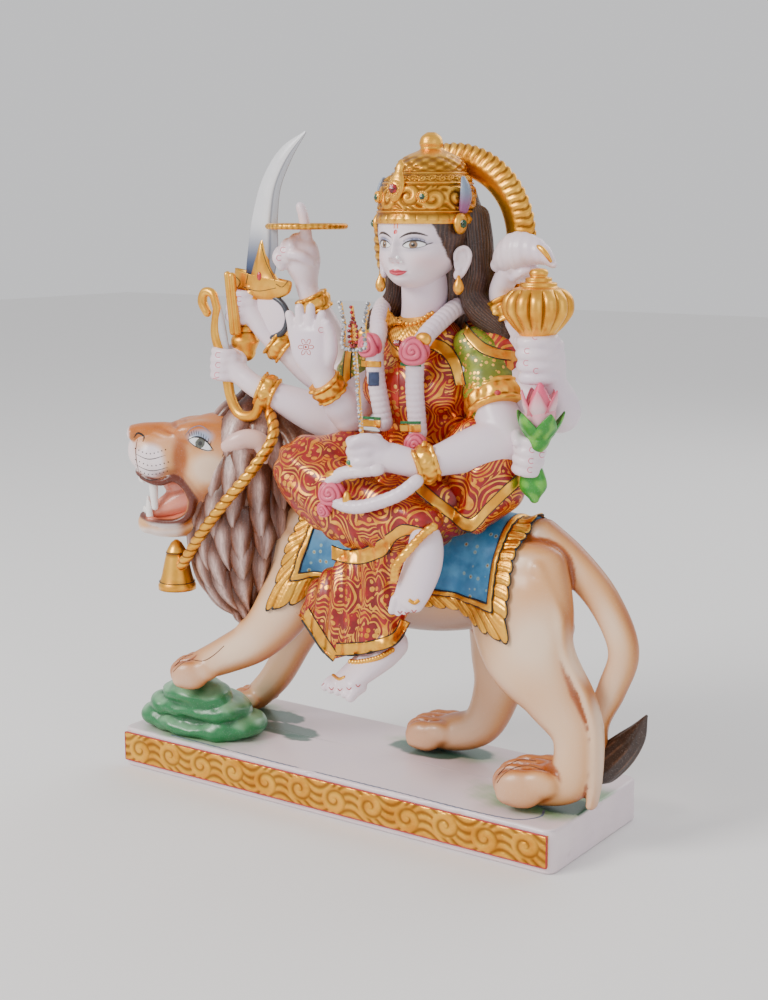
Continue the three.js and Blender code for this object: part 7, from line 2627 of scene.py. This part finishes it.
def border_section(count=26):
    """Insets and lifts across the border. Leaves lie on its outer part: with p the leaf's own turn, slanted
    by the inset, the height is 0.5 + 1.3 |sin p|^0.8 less a vein, and inside them runs a plain bar."""
    inset = np.linspace(0, 1, count)
    lifts = []
    for i in inset:
        curl = np.abs(np.sin(phase + 1.9 * (i / BAR_START) ** 1.5))
        leaf_high = 0.5 + 1.3 * curl ** 0.8 - 0.45 * np.exp(-((curl - 0.86) / 0.10) ** 2)
        bar = rise(i, BAR_START, BAR_START + 0.04) * (1 - rise(i, 0.95, 1.0) * 0.5)
        ditch = rise(i, BAR_START - 0.10, BAR_START - 0.03)
        lifts.append((leaf_high * (1 - ditch) + 0.35 * ditch) * (1 - bar) + 1.6 * bar)
    lifts[0] = lifts[0] * 0.5
    edge_low = np.full(LOOP_COUNT, -0.8)
    return [(0.0, edge_low)] + list(zip(inset, lifts)) + [(1.0, edge_low)]


def ring_of(section):
    """A closed band from loops round the cloth."""
    return turned_out(hoop(np.stack([loop(inset, lift) for inset, lift in section])))


section = border_section()
saddle_border = ring_of(section)
# The low parts of the border are darkened: painted shade.
border_shade = np.concatenate([1 - rise(lift, 0.4, 1.3) for _, lift in section]) * 0.7
piece("saddle_border", saddle_border, fine_leaf, masks={"hollow": border_shade})
black_rings = []
for i, high in ((0.0, 0.8), (BAR_START, 1.1), (1.0, 1.3)):
    outer_edge, inner_edge = i - 0.022, i + 0.024
    black_rings.append(ring_of([(outer_edge, -0.5), (outer_edge, high), (inner_edge, high),
                                (inner_edge, -0.5)]))
piece("saddle_lines", stack(black_rings), black_line)

# %% [markdown]
# ## Tresses, nails and marks
# Dark hair falls behind each ear and over the shoulder. The nails are small pink hooks of a fine brush. On
# the open palm is a plain mark: a ring of petals round a dot.

# %% Tresses
TRESS = [
    [94, 10, 482, 9, 17], [96, 12, 462, 9, 18], [99, 8, 440, 9, 17], [98, 5, 422, 9, 16],
    [106, 4, 409, 11, 13], [120, 2, 399, 9, 7], [131, 1, 392, 2.4, 2.4],
]
tress_rings = limb_rings(TRESS, 130, 1.25)
tress = tube(tress_rings)
turn = with_poles(np.tile(circle(130), len(tress_rings)))
strand = np.sin(turn * 31 + 1.6 * ripple(tress.points * [1, 1, 0.4], 24, 78))
tress = pushed(tress, 0.3 * strand)
both_tresses = stack([tress, mirrored(tress, FACE_MIDDLE)])
tress_paint = two_tone(both_tresses, (0.045, 0.018, 0.010), (0.16, 0.075, 0.04),
                       np.tile(rise(strand, 0.0, 0.9) * 0.7, 2))
piece("tresses", both_tresses, hair_brush, paint=tress_paint)

# %% Brown lines between the toes of the lion
PAW_LINES = [
    [(497, 783), (503, 775), (514, 768), (530, 766), (545, 771)],
    [(498, 775), (507, 766), (520, 760), (536, 761)],
    [(173, 672), (180, 665), (190, 660), (203, 661), (214, 655), (224, 646)],
    [(175, 666), (183, 658), (193, 654)],
]
paw_lines = sum([stroke(lion_tree, line, 0.42, 0.3, 24) for line in PAW_LINES], [])
piece("paw_lines", stack(paw_lines), line_paint("toe_brown_line", (0.13, 0.035, 0.01, 1)))

# %% Nails and the palm's mark
hand_tree = {name: tree_of(shell) for name, shell in skin_shells.items()}
NAILS = {
    "disc": [(283, 250), (279, 258)], "blessing": [(321, 330)],
    "sword": [(240, 288), (239, 299), (238, 309), (237, 318)],
    "bow": [(218, 355), (218, 365), (217, 375), (214, 381)],
    "mace": [(535, 337), (527, 351), (526, 363), (536, 371)],
    "lotus": [(532, 450), (542, 455), (531, 461), (530, 470), (538, 479)],
    "shell": [(519, 246), (517, 255), (520, 264)],
}
HOOK = [(2.4, -2.2), (-1.0, -2.6), (-2.6, 0.2), (-0.6, 2.6), (2.2, 2.0)]
nails = []
for name, places in NAILS.items():
    for x, y in places:
        nails += stroke(hand_tree[name], [(x + a, y + b) for a, b in HOOK], 0.30)
piece("nail_strokes", stack(nails), rose_line)

MARK, MARK_R = (306, 347), 6.5
PETAL_TURNS = [(0.55, -0.35), (0.95, -0.25), (1.2, 0), (0.95, 0.25), (0.55, 0.35)]
palm = hand_tree["blessing"]
ring = np.linspace(0, 2 * math.pi, 13)


def round_mark(wide, high, a):
    """A place on an ellipse round the middle of the palm's mark."""
    return MARK[0] + wide * math.cos(a), MARK[1] + high * math.sin(a)


mark = stroke(palm, [round_mark(2.6, 2.9, a) for a in ring], 0.32, count=30)
for a in ring[:-1:2]:
    mark += stroke(palm, [round_mark(MARK_R * r, MARK_R * 1.15 * r, a + w) for r, w in PETAL_TURNS], 0.28)
dot_place, _ = laid(palm, [(MARK[0] - 0.6, MARK[1]), (MARK[0] + 0.6, MARK[1])], 4)
mark.append(bead_row(dot_place[1:2], 0.9, 12, 8))
piece("palm_mark", stack(mark), line_paint("orange_red_line", (0.62, 0.07, 0.02, 1)))

# %% Toe nails, toe rings and the anklet under the hem
foot_tree = tree_of(stack([left_foot, right_foot]))
TOE_NAILS = [
    (322, 684), (331.5, 688.5), (340, 689.5), (349, 688.5), (358, 685.5), (400, 612), (407, 613),
    (414, 611),
]
toe_nails = []
for x, y in TOE_NAILS:
    toe_nails += stroke(foot_tree, [(x - 2.4, y - 1), (x, y + 1.2), (x + 2.4, y - 1)], 0.42, 0.3)
print("toe nails:", len(toe_nails), "of", len(TOE_NAILS))
piece("toe_nails", stack(toe_nails), red_line)
hem_beads, _ = laid(foot_tree, [(340, 657), (352, 662), (366, 661), (380, 657), (392, 650)], 20)
piece("left_anklet", bead_row(hem_beads, 2.3, 12, 8), smooth_leaf)
toe_rings = stroke(foot_tree, [(333, 675), (339, 679), (345, 677)], 1.4, 1.2)
toe_rings += stroke(foot_tree, [(409, 600), (414.5, 603), (419, 600)], 1.6, 1.3)
piece("toe_rings", stack(toe_rings), smooth_leaf)

# %% Armlet stone, finger ring, nose pin and the drop on the sword's collar
armlet_tree = tree_of(armlet)
stone_place, stone_facing = laid(armlet_tree, [(497, 393), (499, 393)], 4)
red_drops = [bead_row(stone_place[1:2] + stone_facing[1:2] * 0.5, np.array([2.6, 2.6, 2.2]), 16, 10)]
red_drops.append(egg((-82, SWORD_Y - 6.3, 434), (2.2, 1.4, 3.6), 18, 12))
piece("red_drops", stack(red_drops), stone("red_enamel", (0.50, 0.008, 0.02, 1), cloud=0.6, coat=0.9))
finger_ring = cuff((50, -90, 298), (0.55, -0.1, 0.9), 4.4, 3.0, 5)
piece("finger_ring", finger_ring, smooth_leaf)
ring_stone = egg((50, -95.5, 299.5), (2.4, 1.6, 2.0), 18, 12)
piece("green_enamel_stone", ring_stone, stone("green_enamel", (0.01, 0.16, 0.05, 1), cloud=0.6, coat=0.9))
face_tree = tree_of(face)
pin_place, pin_facing = laid(face_tree, [(400.8, 261.5), (402.2, 261.5)], 4)
piece("nose_pin", bead_row(pin_place[1:2] + pin_facing[1:2] * 0.4, 1.0, 14, 8), white_marble)

# %% Lines on the sword's guard and the bow
gear_tree = tree_of(stack([guard_shell, bow]))
GEAR_LINES = [
    [(259, 240), (251, 262), (246, 284)], [(260, 240), (266, 262), (275, 281)],
    [(243, 287), (258, 291), (276, 288)], [(234, 275), (240, 282), (236, 290)],
    [(288, 281), (282, 287), (276, 284)],
]
for path in GEAR_LINES:
    edge_lines += stroke(gear_tree, path, 0.30, 0.4, 40)
piece("black_edges", stack(edge_lines), black_line)

# %% [markdown]
# ## Stones and trident
# The glued stones and the trident keep their imported meshes. The stones get deep glass whose facets are
# painted lighter and darker as painted reflections, and the trident gets gold wire set with rows of small
# clear stones, red round its middle prong. Gold seats hold the crown's stones.

# %% Finishes for the carried-over solids
def glass_stone(name, colour):
    """Cut glass: facets are flat cells, each given its own brightness as a painted reflection, under a thin
    coat.
    """
    material, tree, shader, place = start_finish(name)
    cells = voronoi(tree, place, 520.0)
    # Each facet's brightness: painted reflection.
    bright = ramp(tree, put(tree, "ShaderNodeSeparateColor", {0: cells["Color"]}).outputs[0], 0.2, 0.95)
    deep = tuple(c * 0.35 for c in colour[:3]) + (1,)
    pale = tuple(min(c * 1.5 + 0.01, 1) for c in colour[:3]) + (1,)
    coat = {"Coat Weight": 0.35, "Coat Roughness": 0.03, "Specular IOR Level": 0.45}
    wire(tree, shader, {"Base Color": mixed(tree, bright, deep, pale), "Roughness": 0.08, **coat})
    bump(tree, shader, cells["Distance"], 0.35, 0.0008)
    return material


RED_GLASS = glass_stone("red_cut_glass", (0.34, 0.001, 0.006, 1))
GREEN_GLASS = glass_stone("green_cut_glass", (0.001, 0.055, 0.016, 1))


def trident_finish():
    """Gold wire set with clear stones: each small cell has a domed clear stone in a gold rim. In the red
    zone, a ball round the middle prong's foot, the stones are red."""
    material, tree, shader, place = start_finish("jewelled_wire")
    cells = voronoi(tree, place, 420.0, 0.25)
    far = cells["Distance"]
    gem = ramp(tree, maths(tree, "SUBTRACT", 0.36, far), -0.04, 0.04)
    sparkle = put(tree, "ShaderNodeSeparateColor", {0: cells["Color"]}).outputs[1]
    clear = mixed(tree, sparkle, (0.42, 0.43, 0.46, 1), (0.95, 0.95, 0.98, 1))
    offset = vector(tree, "SUBTRACT", place, tuple(v / 1000 for v in RED_MIDDLE))
    away = vector(tree, "LENGTH", vector(tree, "MULTIPLY", offset, (2.0, 1.0, 0.42)), result="Value")
    red = maths(tree, "SUBTRACT", 1.0, ramp(tree, away, 0.0072, 0.0082))
    gems = mixed(tree, red, clear, (0.40, 0.005, 0.015, 1))
    gold = use(tree, leaf_tree, {"Place": place, "Hollow": 0.0, "Dents": 500.0})
    wire(tree, shader, {
        "Base Color": mixed(tree, gem, gold["Colour"], gems),
        "Metallic": maths(tree, "MULTIPLY_ADD", gem, -0.9, 0.95),
        "Roughness": maths(tree, "MULTIPLY_ADD", gem, -0.18, 0.28),
        "Coat Weight": 0.6,
    })
    bump(tree, shader, maths(tree, "SUBTRACT", 1.0, far), 0.7, 0.0008)
    return material


RED_MIDDLE = (50.5, -88.0, 400.0)
TRIDENT_NECK = np.array([50.5, -88.0, 384.0])
TRIDENT_FOOT = np.array([56.0, -84.0, 300.0])
STONE_PITCH, STONE_R, STONE_PROUD = 3.3, 1.7, 1.8
SIDE_PRONG = [(0, 0), (10, 2), (9, 18), (13, 35)]
FINISH_OF = {"trident": trident_finish(), "crown_stone_front": RED_GLASS, "collar_stone": RED_GLASS}
FINISH_OF.update({f"{place}_stone_{side}": GREEN_GLASS for place in ("crown", "ear")
                  for side in ("left", "right")})
for name, finish in FINISH_OF.items():
    for held in bpy.data.objects[name].material_slots:
        held.material = finish
print("finished solids:", list(FINISH_OF))

# %% Stones glued along the trident
def prong_stones(path):
    """Stones at even steps along a path of (across, up) from the trident's neck, on its front."""
    stations = [[x, 0, z] for x, z in path]
    length = np.linalg.norm(np.diff(spline(stations, 200), axis=0), axis=1).sum()
    at_even = spline(stations, int(length / STONE_PITCH) + 1)
    return at_even + TRIDENT_NECK - [0, STONE_PROUD, 0]


shaft_share = np.linspace(0.04, 0.80, 20)[:, None]
shaft_stones = TRIDENT_NECK + (TRIDENT_FOOT - TRIDENT_NECK) * shaft_share - [0, STONE_PROUD, 0]
clear_places = [prong_stones(SIDE_PRONG), prong_stones([(-x, z) for x, z in SIDE_PRONG])]
clear_stones = [bead_row(np.vstack(clear_places), STONE_R, 8, 5), bead_row(shaft_stones, 1.25, 8, 5)]
piece("trident_clear_stones", stack(clear_stones), glass_stone("clear_cut_glass", (0.50, 0.51, 0.54, 1)))
lozenge = circle(14)
red_places = np.stack([-0.5 + 3.8 * np.sin(lozenge), 0 * lozenge - STONE_PROUD, 12 + 9.5 * np.cos(lozenge)],
                      axis=-1)
tip_places = prong_stones([(-1.2, 24), (-1.8, 28), (-2.4, 32)])
red_stones = [bead_row(red_places + TRIDENT_NECK, 1.5, 8, 5), bead_row(tip_places, 1.4, 8, 5)]
piece("trident_red_stones", stack(red_stones), RED_GLASS)

# %% Gold seats under the stones
SEATS = [
    ((62, -52.0, 503), (6.6, 3.2, 6.6)), ((82.4, -45.5, 497), (4.6, 3.8, 4.6)),
    ((43.6, -45.5, 497), (4.6, 3.8, 4.6)),
]
spin = circle(14)[:, None]
seats = []
for place, (wide, deep, high) in SEATS:
    seats.append(egg(place, (wide, deep, high), 28, 16))
    away = unit(np.array([place[0] - FACE_MIDDLE, place[1] + 6, 0.0]))
    beside = np.array([-away[1], away[0], 0.0])
    round_it = np.cos(spin) * beside * wide * 0.78 + np.sin(spin) * [0, 0, high * 0.78]
    seats.append(bead_row(place + away * deep * 0.6 + round_it, 0.9, 8, 6))
piece("stone_seats", stack(seats), fine_leaf)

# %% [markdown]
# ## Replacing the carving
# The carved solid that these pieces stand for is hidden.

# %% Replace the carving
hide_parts(CARVING)
